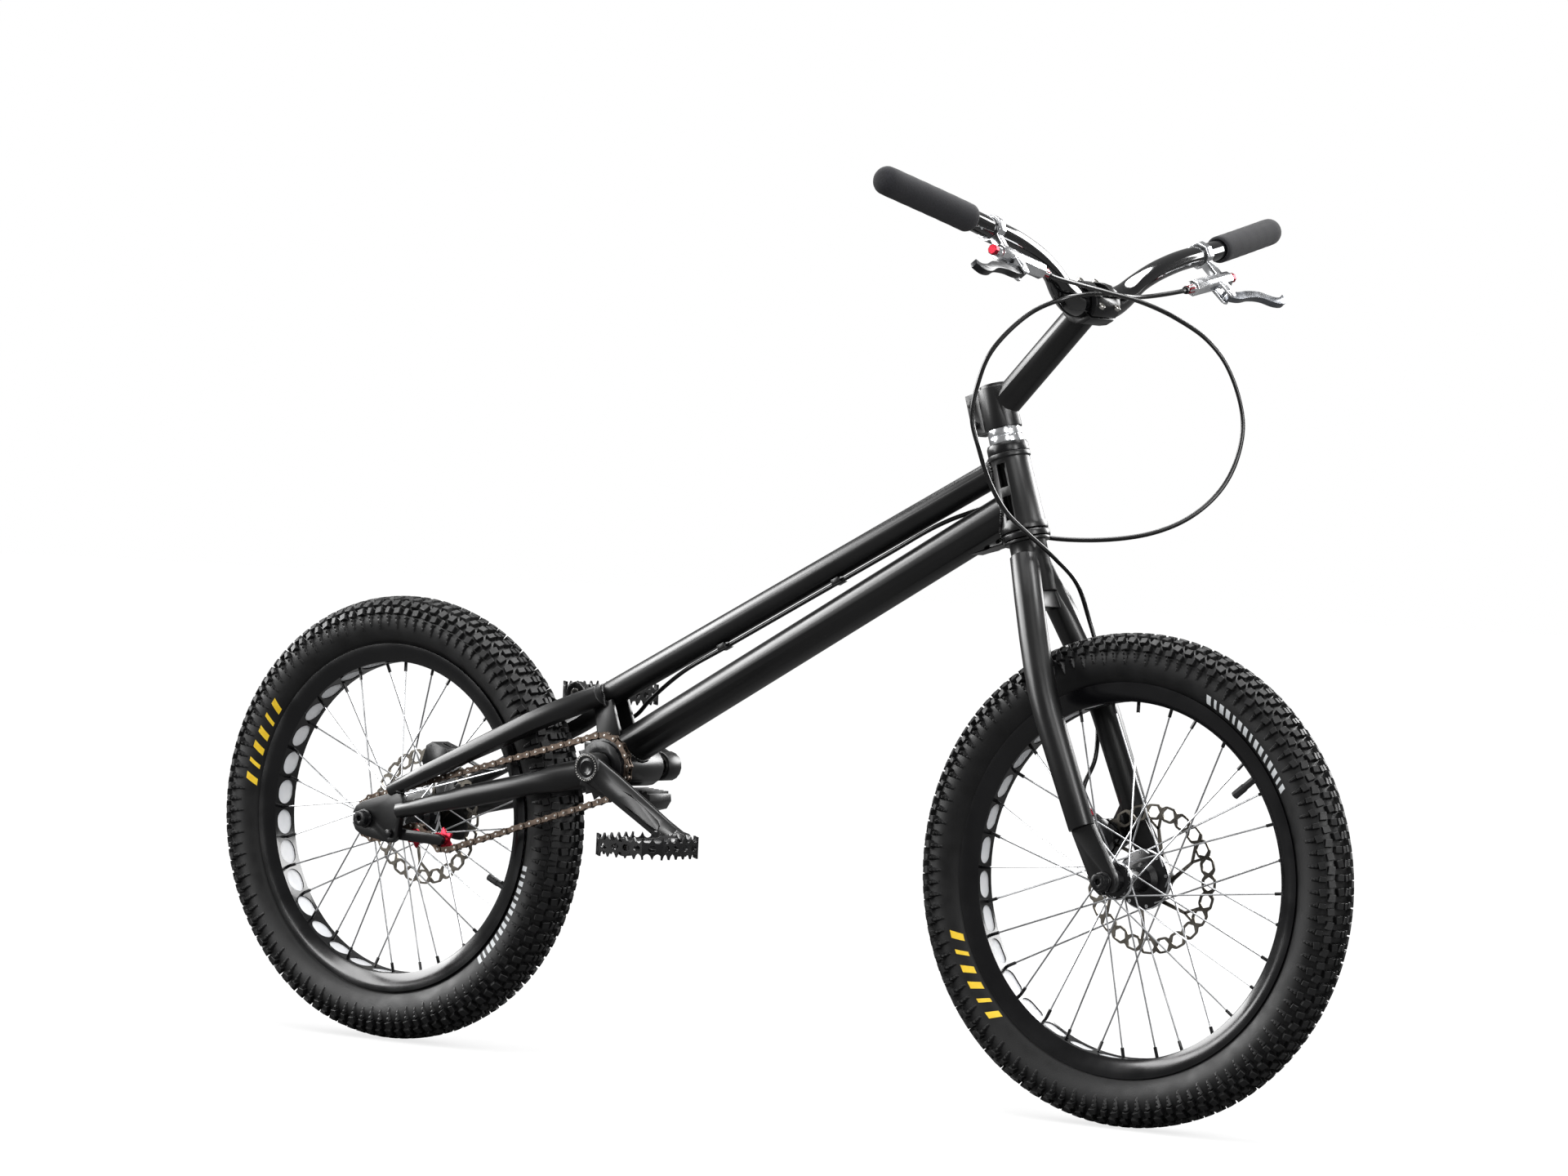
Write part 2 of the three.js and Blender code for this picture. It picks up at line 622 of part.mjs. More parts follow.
function fittedTensionerAngle() {
  const slack = (angle) => {
    const path = chainPath(angle);
    return stepRound(path, linkCount)[linkCount] - path.total;
  };
  const swing = 25 * deg;
  let low = tensioner.nominalAngle - swing;
  let high = tensioner.nominalAngle + swing;
  const lowSlack = slack(low);
  for (let k = 0; k < 40; k++) {
    const middle = (low + high) / 2;
    if (Math.sign(slack(middle)) === Math.sign(lowSlack)) low = middle;
    else high = middle;
  }
  return (low + high) / 2;
}

const tensionerAngle = fittedTensionerAngle();
const fittedPath = chainPath(tensionerAngle);
const chainPins = stepRound(fittedPath, linkCount).slice(0, linkCount).map((place) => fittedPath.at(place));
const [jockeyForward, jockeyBack] = jockeyCentres(tensionerAngle);

// The angle at which a wheel holds the chain pin that lies nearest to its pitch circle's own path.
function meshPhase(centre, teeth) {
  const offset = ([x, z]) => Math.abs(Math.hypot(x - centre[0], z - centre[1]) - pitchRadiusOf(teeth));
  const nearest = chainPins.reduce((best, pin) => (offset(pin) < offset(best) ? pin : best));
  return Math.atan2(nearest[1] - centre[1], nearest[0] - centre[0]);
}

// Both runs of plates, stepping out and in at every pin, and the square-cut rollers that join them.
function chainGeometry() {
  const points = [];
  const corners = [];
  const quad = (a, b, c, d) => corners.push(a, b, c, a, c, d);
  const perPin = 24;
  chainPins.forEach(([x, z], i) => {
    const beside = (way) => chainPins[(i + way + linkCount) % linkCount];
    const [bx, bz] = beside(-1);
    const [nx, nz] = beside(1);
    const point = (reach, rise, y, [dx, dz]) =>
      points.push(vec(x + reach * dx - rise * dz, y - chainline, z + reach * dz + rise * dx));
    const before = [(x - bx) / chainPitch, (z - bz) / chainPitch];
    const after = [(nx - x) / chainPitch, (nz - z) / chainPitch];
    const h = chain.plateHalfHeight;
    const first = i * perPin;
    const next = ((i + 1) % linkCount) * perPin;
    [-1, 1].forEach((s, side) => {
      const inner = (index) => chain.innerGap / 2 + (index % 2 ? 0 : chain.plate);
      [[-chain.step, before, inner(i + 1)], [chain.step, after, inner(i)]].forEach(([reach, along, low]) => {
        const high = low + chain.plate;
        for (const [rise, out] of [[-h, low], [h, low], [h, high], [-h, high]]) point(reach, rise, s * out,
          along);
      });
      const middle = (inner(i) + inner(i + 1)) / 2;
      const r = chain.rollerRadius;
      for (const [reach, rise] of [[-r, 0], [0, -r], [r, 0], [0, r]]) point(reach, rise, s * middle, after);
      const [a, b, pin, far] = [first + 12 * side, first + 12 * side + 4, first + 12 * side + 8, next + 12
        * side];
      const face = s < 0 ? quad : (p, q, t, u) => quad(u, t, q, p);
      for (let k = 1; k < 4; k++) face(a + k, a + (k + 1) % 4, b + (k + 1) % 4, b + k);
      for (let k = 0; k < 4; k++) face(b + k, b + (k + 1) % 4, far + (k + 1) % 4, far + k);
      const frame = [a, b, b + 1, a + 1];
      for (let k = 0; k < 4; k++) {
        const [here, beyond] = [frame[k], frame[(k + 1) % 4]];
        const [near, ahead] = [pin + k, pin + (k + 1) % 4];
        if (s > 0) corners.push(here, beyond, ahead, here, ahead, near);
        else corners.push(here, ahead, beyond, here, near, ahead);
      }
    });
    for (let k = 0; k < 4; k++) quad(first + 8 + k, first + 20 + k, first + 20 + (k + 1) % 4, first + 8
      + (k + 1) % 4);
  });
  const geometry = new THREE.BufferGeometry().setFromPoints(points);
  geometry.setIndex(corners);
  return geometry;
}

function fixedPulley(teeth, phase) {
  const hub = ring(jockey.boreRadius, jockey.hubRadius, -jockey.hubWidth / 2, jockey.hubWidth / 2, 10);
  const bore = disc(jockey.boreRadius, -jockey.hubWidth, jockey.hubWidth, 10);
  return join([cut(sprocketPlate(teeth, phase), [solid(bore)]), solid(hub)]);
}

// Frame

const alongSteer = (geometry) =>
  geometry.clone().rotateY(headAngle - Math.PI / 2).translate(crownSeat.x, crownSeat.y, crownSeat.z);

const headBottom = headTube.lowerCupHeight + seatGap;
const headTop = headBottom + headTube.length;
const headsetTop = headTop + seatGap + headTube.upperCupHeight;

function headTubeOutline(grow) {
  const { ringHeight } = headTube;
  return [
    [headBottom - grow, headTube.ringRadius + grow], [headBottom + ringHeight, headTube.ringRadius + grow],
    [headBottom + 1.5 * ringHeight, headTube.bottomRadius + grow],
    [headTop - 2 * ringHeight, headTube.topRadius + grow],
    [headTop - ringHeight, headTube.topRadius + grow],
    [headTop - 0.8 * ringHeight, headTube.cupRadius + grow],
    [headTop + grow, headTube.cupRadius + grow],
  ].map(([z, radius]) => [radius, z]);
}

// The middles of the pockets in the head tube's sides, as shares of its length.
const pocketShares = [0.3, 0.72];

const headSolid = (grow) => solid(alongSteer(turnedUp([
  [0, headBottom - grow], ...headTubeOutline(grow), [0, headTop + grow],
], 20)));

function headTubeBody() {
  const body = headSolid(0);
  const bore = solid(alongSteer(turnedUp([
    [0, headBottom - overrun], [headTube.boreRadius, headBottom - overrun],
    [headTube.boreRadius, headTop + overrun], [0, headTop + overrun],
  ], 16)));
  const pockets = sides.flatMap(([, s]) => pocketShares.map((share) => {
    const height = headBottom + share * headTube.length;
    const half = headTube.pocketWidth / 2;
    const shape = outlineShape(beltOutline([
      [0, height - headTube.pocketHeight / 2 + half, half],
      [0, height + headTube.pocketHeight / 2 - half, half],
    ], 4));
    const floor = headTube.topRadius - headTube.pocketDepth;
    const far = headTube.ringRadius + overrun;
    return solid(alongSteer(s > 0 ? plate(shape, floor, far) : plate(shape, -far, -floor)));
  }));
  return cut(body, [bore, ...pockets]);
}

// Tubes of the main triangle run down and back from the head tube.
const topTubeFront = onSteerAxis(topTube.meetsHeadAt);
const topTubeRear = vec(rearAxleX + topTube.rearForward, 0, rearRadius + topTube.rearRise);
const topTubeLength = topTubeFront.distanceTo(topTubeRear);
const topTubeDown = topTubeRear.clone().sub(topTubeFront).normalize();
const topTubeUnder = vec(-topTubeDown.z, 0, topTubeDown.x);

const downTubeFront = onSteerAxis(downTube.meetsHeadAt);
const bracketCentre = vec(bracketX, 0, bracketZ);
const downTubeAxis = (() => {
  const straight = bracketCentre.clone().sub(downTubeFront);
  const lift = Math.asin(downTube.aboveBracket / straight.length());
  return straight.normalize().applyAxisAngle(vec(0, 1, 0), lift);
})();
const downTubeLength = bracketCentre.clone().sub(downTubeFront).dot(downTubeAxis);
const downTubeRear = downTubeFront.clone().addScaledVector(downTubeAxis, downTubeLength);

// Both tubes start inside the head tube's wall, a little behind the steering axis.
const insideHead = headTube.topRadius / 2;
const topTubeStart = topTubeFront.clone().addScaledVector(topTubeDown, insideHead);
const downTubeStart = downTubeFront.clone().addScaledVector(downTubeAxis, insideHead);
const topTubeSolid = (grow) => solid(rod(topTubeStart, topTubeRear, topTube.radius + grow, 16));
const downTubeSolid = (grow) => solid(rod(downTubeStart, downTubeRear, downTube.radius + grow, 18));
const bracketSolid = (grow) => {
  const half = bottomBracket.width / 2 + grow;
  return solid(disc(bottomBracket.radius + grow, -half, half, 16).translate(bracketX, 0, bracketZ));
};

function topTubeBody() {
  const past = topTubeRear.clone().addScaledVector(topTubeDown, overrun);
  const inside = solid(rod(topTubeFront, past, topTube.radius - topTube.wall, 10));
  const clips = hoseClipShares.map((share) => {
    const centre = topTubeFront.clone().addScaledVector(topTubeDown, share * topTubeLength)
      .addScaledVector(topTubeUnder, topTube.radius + topTube.clipHeight / 2);
    const half = topTube.clipHeight;
    const block = new THREE.BoxGeometry(2 * half, 3 * half, topTube.clipHeight + 2 * seatGap);
    block.rotateY(Math.atan2(topTubeDown.z, -topTubeDown.x)).translate(centre.x, centre.y, centre.z);
    return solid(block);
  });
  const outer = join([topTubeSolid(0), ...clips]);
  return cut(outer, [inside, headStackSolid(seatGap), hoseChannel()]);
}

// Where the brake hose is clipped under the top tube, as shares of the tube's length.
const hoseClipShares = [0.42, 0.7];
const hoseRunShares = [0.19, 0.3, ...hoseClipShares, 0.8];
const hoseUnderTube = (share) => topTubeFront.clone().addScaledVector(topTubeDown, share * topTubeLength)
  .addScaledVector(topTubeUnder, topTube.radius + topTube.clipHeight / 2 + hoseRadius / 2);
const hoseChannel = () =>
  solid(rod(hoseUnderTube(0), hoseUnderTube(1), overFlats(hoseRadius + seatGap, 8), 8));

function downTubeBody() {
  const past = downTubeRear.clone().addScaledVector(downTubeAxis, overrun);
  const inside = solid(rod(downTubeFront, past, downTube.radius - downTube.wall, 10));
  const outside = join([downTubeSolid(0), gussetSolid()]);
  return cut(outside, [inside, headStackSolid(seatGap), topTubeSolid(seatGap), bracketSolid(seatGap)]);
}

// The web under the front of the down tube, with slots through it.
function gussetSolid() {
  const reach = gusset.reach;
  const under = downTube.radius;
  const outline = outlineShape([
    [0, -0.6 * under], [0, -under - 0.75 * gusset.depth], [0.25 * reach, -under - 0.62 * gusset.depth],
    [reach, -under], [reach, -0.6 * under],
  ]);
  for (let i = 0; i < gusset.holes; i++) {
    const x = 0.45 * reach + (i - 1) * gusset.holeSpacing;
    const y = -under - gusset.depth * (0.26 - 0.05 * i);
    const radius = gusset.holeRadius * (1 - 0.2 * i);
    const slot = beltOutline([[x - gusset.holeStretch / 2, y, radius / 2],
      [x + gusset.holeStretch / 2, y, radius / 2]], 6);
    outline.holes.push(new THREE.Path(slot.map(([a, b]) => new THREE.Vector2(a, b))));
  }
  const web = plate(outline, -gusset.thickness / 2, gusset.thickness / 2);
  const lean = Math.atan2(-downTubeAxis.z, -downTubeAxis.x);
  web.scale(-1, 1, 1).rotateY(-lean).translate(downTubeFront.x, 0, downTubeFront.z);
  return solid(web);
}

// The head tube with the headset cups at both its ends.
const headStackSolid = (grow) => join([headSolid(grow), solid(alongSteer(turnedUp([
  [0, -grow], [headTube.lowerCupRadius + grow, -grow], [headTube.lowerCupRadius + grow, headBottom + grow],
  [headTube.boreRadius, headBottom + grow], [headTube.boreRadius, headTop - grow],
  [headTube.cupRadius + grow, headTop - grow], [headTube.cupRadius + grow, headsetTop + grow],
  [0, headsetTop + grow],
], 20)))]);

// The short box between the back of the top tube and the bottom bracket, open towards the front.
function seatTubeBody(grow = 0) {
  const top = topTubeRear.clone().addScaledVector(topTubeDown, -seatTube.topDepth / 2);
  const axis = bracketCentre.clone().sub(top).normalize();
  const ahead = vec(-axis.z, 0, axis.x);
  const corner = (at, along, reach) => {
    const p = at.clone().addScaledVector(axis, along).addScaledVector(ahead, reach);
    return [p.x, p.z];
  };
  const length = bracketCentre.distanceTo(top);
  const { topDepth, behindBracket, aheadOfBracket, wall } = seatTube;
  const shoulder = 0.6 * topTube.radius - grow;
  const outer = outlineShape([
    corner(top, shoulder, topDepth / 2 + grow), corner(top, shoulder, -topDepth / 2 - grow),
    corner(top, length, -behindBracket - grow), corner(top, length, aheadOfBracket + grow),
  ]);
  const half = seatTube.width / 2 + grow;
  const whole = solid(plate(outer, -half, half));
  if (grow) return whole;
  const pocket = outlineShape([
    corner(top, -overrun, topDepth / 2 + overrun), corner(top, -overrun, -topDepth / 2 + wall),
    corner(top, length, -behindBracket + wall + seatTube.pocketDepth),
      corner(top, length, aheadOfBracket + overrun),
  ]);
  const recess = solid(plate(pocket, -half + wall, half - wall));
  return cut(whole, [recess, topTubeSolid(seatGap), downTubeSolid(seatGap), bracketSolid(seatGap)]);
}

const onRearAxle = (forward, side, up) => vec(rearAxleX + forward, side, rearRadius + up);

// The line of a chain stay, from the rear axle to the bottom bracket, as shares of that distance.
function chainStaySolid(s, grow) {
  const c = chainStay;
  const table = [
    [0.14, c.rearSide, c.rearHalfWidth, c.rearHalfHeight],
    [0.3, 0.98 * c.rearSide, c.rearHalfWidth, c.rearHalfHeight * 1.15],
    [0.44, (c.rearSide + c.midSide) / 2, c.midHalfWidth, c.midHalfHeight],
    [0.57, c.midSide, c.midHalfWidth, c.midHalfHeight],
    [0.7, 0.95 * c.midSide, 0.95 * c.midHalfWidth, c.midHalfHeight],
    [0.79, c.yokeSide, c.yokeHalfWidth, c.yokeHalfHeight],
    [0.88, 0.78 * c.yokeSide, c.yokeHalfWidth, c.yokeHalfHeight],
    [0.97, c.frontSide, c.yokeHalfWidth, c.yokeHalfHeight],
  ];
  const stations = table.map(([share, side, wide, high]) => ({
    at: vec(rearAxleX + share * (bracketX - rearAxleX), s * side, rearRadius + share * bottomBracketRise),
    wide: wide + grow, high: high + grow, along: vec(1, 0, bottomBracketRise / (bracketX - rearAxleX)),
  }));
  return solid(lofted(stations, 10));
}

function seatStaySolid(s, grow) {
  const c = seatStay;
  const foot = onRearAxle(dropout.toeForward * 0.75, 0, dropout.toeRise * 1.45);
  const head = topTubeRear.clone().addScaledVector(topTubeDown, -topTube.radius);
  const table = [
    [0, c.rearSide, c.rearRadius], [0.2, 0.985 * c.rearSide, 1.12 * c.rearRadius],
    [0.4, (c.rearSide + c.midSide) / 2 + 2 * grow, c.midRadius * 0.92], [0.56, 1.06 * c.midSide, c.midRadius],
    [0.72, c.midSide, c.midRadius], [0.83, 0.8 * c.midSide, c.frontRadius], [1, c.frontSide, c.frontRadius],
  ];
  const stations = table.map(([share, side, radius]) => ({
    at: foot.clone().lerp(head, share).setY(s * side), wide: radius + grow, high: radius + grow,
    along: head.clone().sub(foot),
  }));
  return solid(lofted(stations, 10));
}

function dropoutSolid(s, grow) {
  const circles = [
    [0, 0, dropout.axleBoss], [dropout.toeForward, dropout.toeRise, dropout.nose],
    [tensioner.pivotForward, -tensioner.pivotBelow, dropout.tabRadius],
  ];
  if (s > 0) circles.push([dropout.toeForward * 0.55, dropout.toeRise * 2.2, dropout.nose]);
  const inner = rearHub.overlap / 2;
  const low = s > 0 ? inner - grow : -inner - dropout.thickness - grow;
  return solid(plate(outlineShape(beltOutline(circles, 12, grow)), low, low + dropout.thickness + 2 * grow)
    .translate(rearAxleX, 0, rearRadius));
}

function dropoutCutters(s) {
  const slotRadius = overFlats(axle.radius + seatGap, 12);
  const slot = outlineShape(beltOutline([[0, 0, slotRadius], [-dropout.axleBoss - overrun, 0, slotRadius]],
    12));
  const far = rearHub.overlap / 2 + dropout.thickness + overrun;
  const cutter = plate(slot, s > 0 ? rearHub.overlap / 2 - overrun : -far, s > 0 ? far
    : -rearHub.overlap / 2 + overrun);
  const pivot = disc(overFlats(tensioner.pinRadius + seatGap, 12), -far, far, 12)
    .translate(tensioner.pivotForward, 0, -tensioner.pivotBelow);
  const place = (geometry) => solid(geometry.translate(rearAxleX, 0, rearRadius));
  return s < 0 ? [place(cutter), place(pivot)] : [place(cutter)];
}

add(bike, 'head_tube', headTubeBody(), satinBlack);
add(bike, 'top_tube', topTubeBody(), satinBlack);
add(bike, 'down_tube', downTubeBody(), satinBlack);
add(bike, 'seat_tube', seatTubeBody(), satinBlack);
for (const [name, s] of sides) {
  const stay = join([chainStaySolid(s, 0), dropoutSolid(s, 0)]);
  add(bike, `chain_stay_${name}`, cut(stay, [bracketSolid(seatGap), ...dropoutCutters(s)]), satinBlack);
  const above = [
    dropoutSolid(s, seatGap), topTubeSolid(seatGap), seatTubeBody(seatGap), chainStaySolid(s, seatGap),
  ];
  add(bike, `seat_stay_${name}`, cut(seatStaySolid(s, 0), above), satinBlack);
}

// Headset and bottom bracket

add(bike, 'headset_cup_lower', alongSteer(turnedUp([
  [fork.steererRadius + runGap, runGap], [headTube.lowerCupRadius, runGap],
  [headTube.lowerCupRadius, headTube.lowerCupHeight * 0.7], [headTube.bottomRadius, headTube.lowerCupHeight],
  [fork.steererRadius + runGap, headTube.lowerCupHeight],
], 16)), blackAnodised);
add(bike, 'headset_cup_upper', alongSteer(turnedUp([
  [fork.steererRadius + runGap, headTop + seatGap], [headTube.cupRadius, headTop + seatGap],
  [headTube.cupRadius, headTop + 0.7 * headTube.upperCupHeight], [headTube.topRadius, headsetTop],
  [fork.steererRadius + runGap, headsetTop],
], 16)), blackAnodised);

// The bearings are pressed into the shell and show as a flanged ring at each end.
{
  const half = bottomBracket.width / 2;
  const flangeTop = half + bottomBracket.flange;
  const bore = overFlats(spindle.radius + runGap, 16);
  const end = [
    [bottomBracket.radius, half], [bottomBracket.flangeRadius, half], [bottomBracket.flangeRadius, flangeTop],
    [bore, flangeTop], [bore, half - bottomBracket.cupDepth],
    [bottomBracket.boreRadius, half - bottomBracket.cupDepth],
  ];
  const other = [...end].reverse().map(([radius, y]) => [radius, -y]);
  add(bike, 'bottom_bracket_shell', turned([...end, ...other], 16).translate(bracketX, 0, bracketZ),
    satinBlack);
}

// Rear wheel, turning about the rear axle

const rearWheel = new THREE.Group();
rearWheel.position.set(rearAxleX, 0, rearRadius);
bike.add(rearWheel);

function addWheel(parent, name, tyre, rim, hub, valveAngle) {
  add(parent, `${name}_tyre`, tyreBody(tyre, rim), rubber);
  add(parent, `${name}_rim`, rimBody(rim), blackAnodised);
  add(parent, `${name}_hub`, hubBody(hub), blackAnodised);
  add(parent, `${name}_spokes_right`, spokeSet(hub, rim, hub.rightFlange, -1), stainless);
  add(parent, `${name}_spokes_left`, spokeSet(hub, rim, hub.leftFlange, 1), stainless);
  add(parent, `${name}_rotor`, rotorBody(hub.rotorSeatRadius, hub.rotorY), rotorSteel);
  add(parent, `${name}_valve`, valveBody(rim).rotateY(-valveAngle), rubber);
}

addWheel(rearWheel, 'rear', rearTyre, rearRim, rearHub, rearValveAngle);
{
  const bore = overFlats(rearHub.capRadius + seatGap, 16);
  const half = rearSprocket.collarWidth / 2;
  const teeth = cut(sprocketPlate(rearTeeth, meshPhase(rearCentre, rearTeeth)),
    [solid(disc(bore, -overrun, overrun, 16))]);
  const body = join([teeth, solid(ring(bore, rearSprocket.collarRadius, -half, half, 16))]);
  add(rearWheel, 'rear_sprocket', geometryOf(body).translate(0, -chainline, 0), polished);
}

// A through axle with a socket bolt head and a washer at each end.
function axleBody(overlap, dropoutThickness) {
  const seat = overlap / 2 + dropoutThickness + seatGap;
  const washer = seat + axle.washer;
  const end = washer + axle.headLength;
  const half = [
    [axle.radius, seat], [axle.washerRadius, seat], [axle.washerRadius, washer], [axle.headRadius, washer],
    [axle.headRadius, end], [axle.socketRadius, end], [axle.socketRadius, end - axle.socketDepth],
    [0, end - axle.socketDepth],
  ];
  const other = [...half].reverse().map(([radius, y]) => [radius, -y]);
  return turned([...other, ...half], 10);
}
add(bike, 'rear_axle', axleBody(rearHub.overlap, dropout.thickness).translate(rearAxleX, 0, rearRadius),
  blackAnodised);

// Chain, tensioner and freewheel

add(bike, 'chain', chainGeometry(), chainBronze);
for (const [name, centre] of [['forward', jockeyForward], ['back', jockeyBack]]) {
  const wheel = geometryOf(fixedPulley(jockeyTeeth, meshPhase(centre, jockeyTeeth)));
  add(bike, `jockey_wheel_${name}`, wheel.translate(centre[0], -chainline, centre[1]), redAnodised);
}

// The arm lies between the dropout and the chain, and carries a headed pin for each jockey wheel.
function tensionerBody() {
  const low = -rearHub.overlap / 2 + seatGap;
  const high = low + tensioner.thickness;
  const pinEnd = -chainline + jockey.hubWidth / 2 + seatGap;
  const outside = -rearHub.overlap / 2 - dropout.thickness - seatGap;
  const outline = beltOutline([
    [...tensionerPivot, tensioner.halfHeight], [...jockeyForward, tensioner.halfHeight * 0.85],
  ], 10);
  const round = (radius, from, to, [x, z]) => solid(disc(radius, from, to, 8).translate(x, 0, z));
  const pins = [jockeyForward, jockeyBack].flatMap((centre) => [
    round(tensioner.pinRadius, high - seatGap, pinEnd + seatGap, centre),
    round(tensioner.boltRadius, pinEnd, pinEnd + tensioner.boltHead / 2, centre),
    round(tensioner.bossRadius, high - seatGap, -chainline - jockey.hubWidth / 2 - seatGap, centre),
  ]);
  const bolt = [
    round(tensioner.pinRadius, outside - seatGap, low + seatGap, tensionerPivot),
    round(tensioner.boltRadius, outside - tensioner.boltHead, outside, tensionerPivot),
  ];
  return join([solid(plate(outlineShape(outline), low, high)), ...pins, ...bolt]);
}
add(bike, 'tensioner_arm', tensionerBody(), blackAnodised);

const crankset = new THREE.Group();
crankset.position.set(bracketX, 0, bracketZ);
bike.add(crankset);

{
  const phase = meshPhase(frontCentre, frontTeeth);
  const bore = overFlats(freewheel.boreRadius, 18);
  const half = freewheel.bodyWidth / 2;
  const teeth = cut(sprocketPlate(frontTeeth, phase), [solid(disc(bore, -overrun, overrun, 18))]);
  const body = join([teeth, solid(ring(bore, freewheel.bodyRadius, -half, half, 18))]);
  add(crankset, 'freewheel_sprocket', geometryOf(body).translate(0, -chainline, 0), polished);
}

const crankAngleOf = (s) => (s < 0 ? crank.rightAngle : crank.rightAngle + Math.PI);

// A crank arm drawn along +X with its outer face towards +Y, then turned to its place.
function crankArmBody(s) {
  const eyeMiddle = crank.eyeOuter - crank.thicknessAtEye / 2;
  const bossMiddle = crank.bossOuter - crank.thickness / 2;
  const stations = [[0, 0], [0.25, 0], [0.8, 0.85], [1, 1]].map(([share, lean]) => ({
    at: vec(share * crank.length, bossMiddle + lean * (eyeMiddle - bossMiddle), 0),
    wide: overFlats((crank.thickness + share * (crank.thicknessAtEye - crank.thickness)) / 2, 8),
    high: overFlats(crank.widthAtBoss + share * (crank.widthAtEye - crank.widthAtBoss), 8),
    along: vec(1, 0, 0),
  }));
  const inner = s < 0 ? chainline - freewheel.bodyWidth / 2 : crank.bossInner;
  const collarRadius = freewheel.boreRadius - runGap;
  const solids = [
    solid(lofted(stations, 8)),
    solid(disc(crank.bossRadius, crank.bossInner, crank.bossOuter, 16)),
    solid(disc(crank.eyeRadius, crank.eyeOuter - crank.thicknessAtEye, crank.eyeOuter, 12)
      .translate(crank.length, 0, 0)),
  ];
  if (s < 0) solids.push(solid(disc(collarRadius, inner, crank.bossInner + seatGap, 16)));
  const pocketY = bossMiddle + 0.45 * (eyeMiddle - bossMiddle) + crank.thickness / 2;
  const pocket = plate(outlineShape(beltOutline([
    [0.26 * crank.length, 0, crank.pocketShare * crank.widthAtBoss],
    [0.76 * crank.length, 0, crank.pocketShare * crank.widthAtEye],
  ], 6)), pocketY - crank.pocketDepth, pocketY + overrun);
  const cutters = [
    solid(pocket),
    solid(disc(overFlats(spindle.radius + seatGap, 12), inner - overrun, spindle.length / 2 + seatGap, 12)),
    solid(disc(crank.capRadius, crank.bossOuter - crank.capRecess / 2, crank.bossOuter + overrun, 12)),
    solid(disc(crank.capRadius / 2, crank.bossOuter - crank.capRecess, crank.bossOuter + overrun, 6)),
    solid(disc(overFlats(pedal.axleRadius + seatGap, 10), 0, crank.eyeOuter + overrun, 10)
      .translate(crank.length, 0, 0)),
  ];
  return atCrankAngle(geometryOf(cut(join(solids), cutters)), s);
}

function atCrankAngle(geometry, s) {
  const faced = s < 0 ? mirroredY(geometry) : geometry;
  return faced.clone().rotateY(-crankAngleOf(s));
}

add(crankset, 'crank_spindle', disc(spindle.radius, -spindle.length / 2, spindle.length / 2, 12), stainless);
for (const [name, s] of sides) {
  add(crankset, `crank_arm_${name}`, crankArmBody(s), satinBlack);
}

// Pedals: an axle in the crank's eye, a sleeve with its webs, and a toothed cage round it

const pedalPlace = (s) => {
  const angle = crankAngleOf(s);
  return vec(crank.length * Math.cos(angle), 0, crank.length * Math.sin(angle));
};

function pedalCage() {
  const half = pedal.length / 2;
  const corner = pedal.cornerCut;
  const outline = (inset) => {
    const x = half - inset;
    const low = pedal.inner + inset;
    const high = pedal.inner + pedal.width - inset;
    const c = corner - 0.586 * inset;
    return [
      [-x + c, low], [x - c, low], [x, low + c], [x, high - c], [x - c, high], [-x + c, high],
      [-x, high - c], [-x, low + c],
    ];
  };
  const tall = pedal.height / 2 + pedal.tooth;
  const shape = outlineShape(outline(0));
  shape.holes.push(new THREE.Path(outline(pedal.wall).map(([a, b]) => new THREE.Vector2(a, b))));
  const band = new THREE.ExtrudeGeometry(shape, { depth: 2 * tall, bevelEnabled: false })
    .translate(0, 0, -tall);
  const notches = [];
  const pitch = (pedal.length - 2 * corner) / (pedal.teeth - 1);
  for (let i = 0; i < pedal.teeth; i++) {
    const offset = (i - (pedal.teeth - 1) / 2) * pitch;
    for (const up of [1, -1]) {
      const valley = up * (tall - pedal.tooth);
      const edge = up * (tall + 0.2 * pedal.tooth);
      const spread = 0.42 * pitch;
      const tooth = outlineShape([[-spread, edge], [spread, edge], [0, valley]]);
      const across = plate(tooth, pedal.inner - overrun, pedal.inner + pedal.width + overrun)
        .translate(offset, 0, 0);
      notches.push(solid(across));
    }
  }
  return cut(solid(band), notches);
}

// The sleeve that runs on the axle, with the webs that hold the cage.
function pedalSleeve() {
  const low = pedal.inner + pedal.wall / 2;
  const high = pedal.inner + pedal.width - pedal.wall / 2;
  const reach = pedal.length / 2 - pedal.wall / 2;
  const webs = [0.3, 0.7].map((share) => {
    const web = new THREE.BoxGeometry(2 * reach, pedal.webThickness, pedal.webHeight);
    return solid(web.translate(0, low + share * (high - low), 0));
  });
  return join([solid(disc(pedal.sleeveRadius, low, high, 12)), ...webs]);
}

function pedalBody() {
  const bore = overFlats(pedal.axleRadius + runGap / 2, 10);
  const clear = disc(bore, pedal.inner - overrun, pedal.inner + pedal.width - 2 * pedal.wall + runGap, 10);
  return cut(join([pedalCage(), pedalSleeve()]), [solid(clear)]);
}

function pedalAxleBody() {
  const low = crank.eyeOuter - crank.thicknessAtEye;
  const high = pedal.inner + pedal.width - 2 * pedal.wall;
  const shoulder = crank.eyeOuter + seatGap;
  return turned([
    [0, low], [pedal.axleRadius, low], [pedal.axleRadius, shoulder], [pedal.axleRadius * 1.35, shoulder],
    [pedal.axleRadius * 1.35, pedal.inner - runGap * 3], [pedal.axleRadius * 0.75, pedal.inner - runGap * 2],
    [pedal.axleRadius * 0.75, pedal.inner + 2 * pedal.wall], [pedal.axleRadius, pedal.inner + 3 * pedal.wall],
    [pedal.axleRadius, high], [0, high],
  ], 10);
}

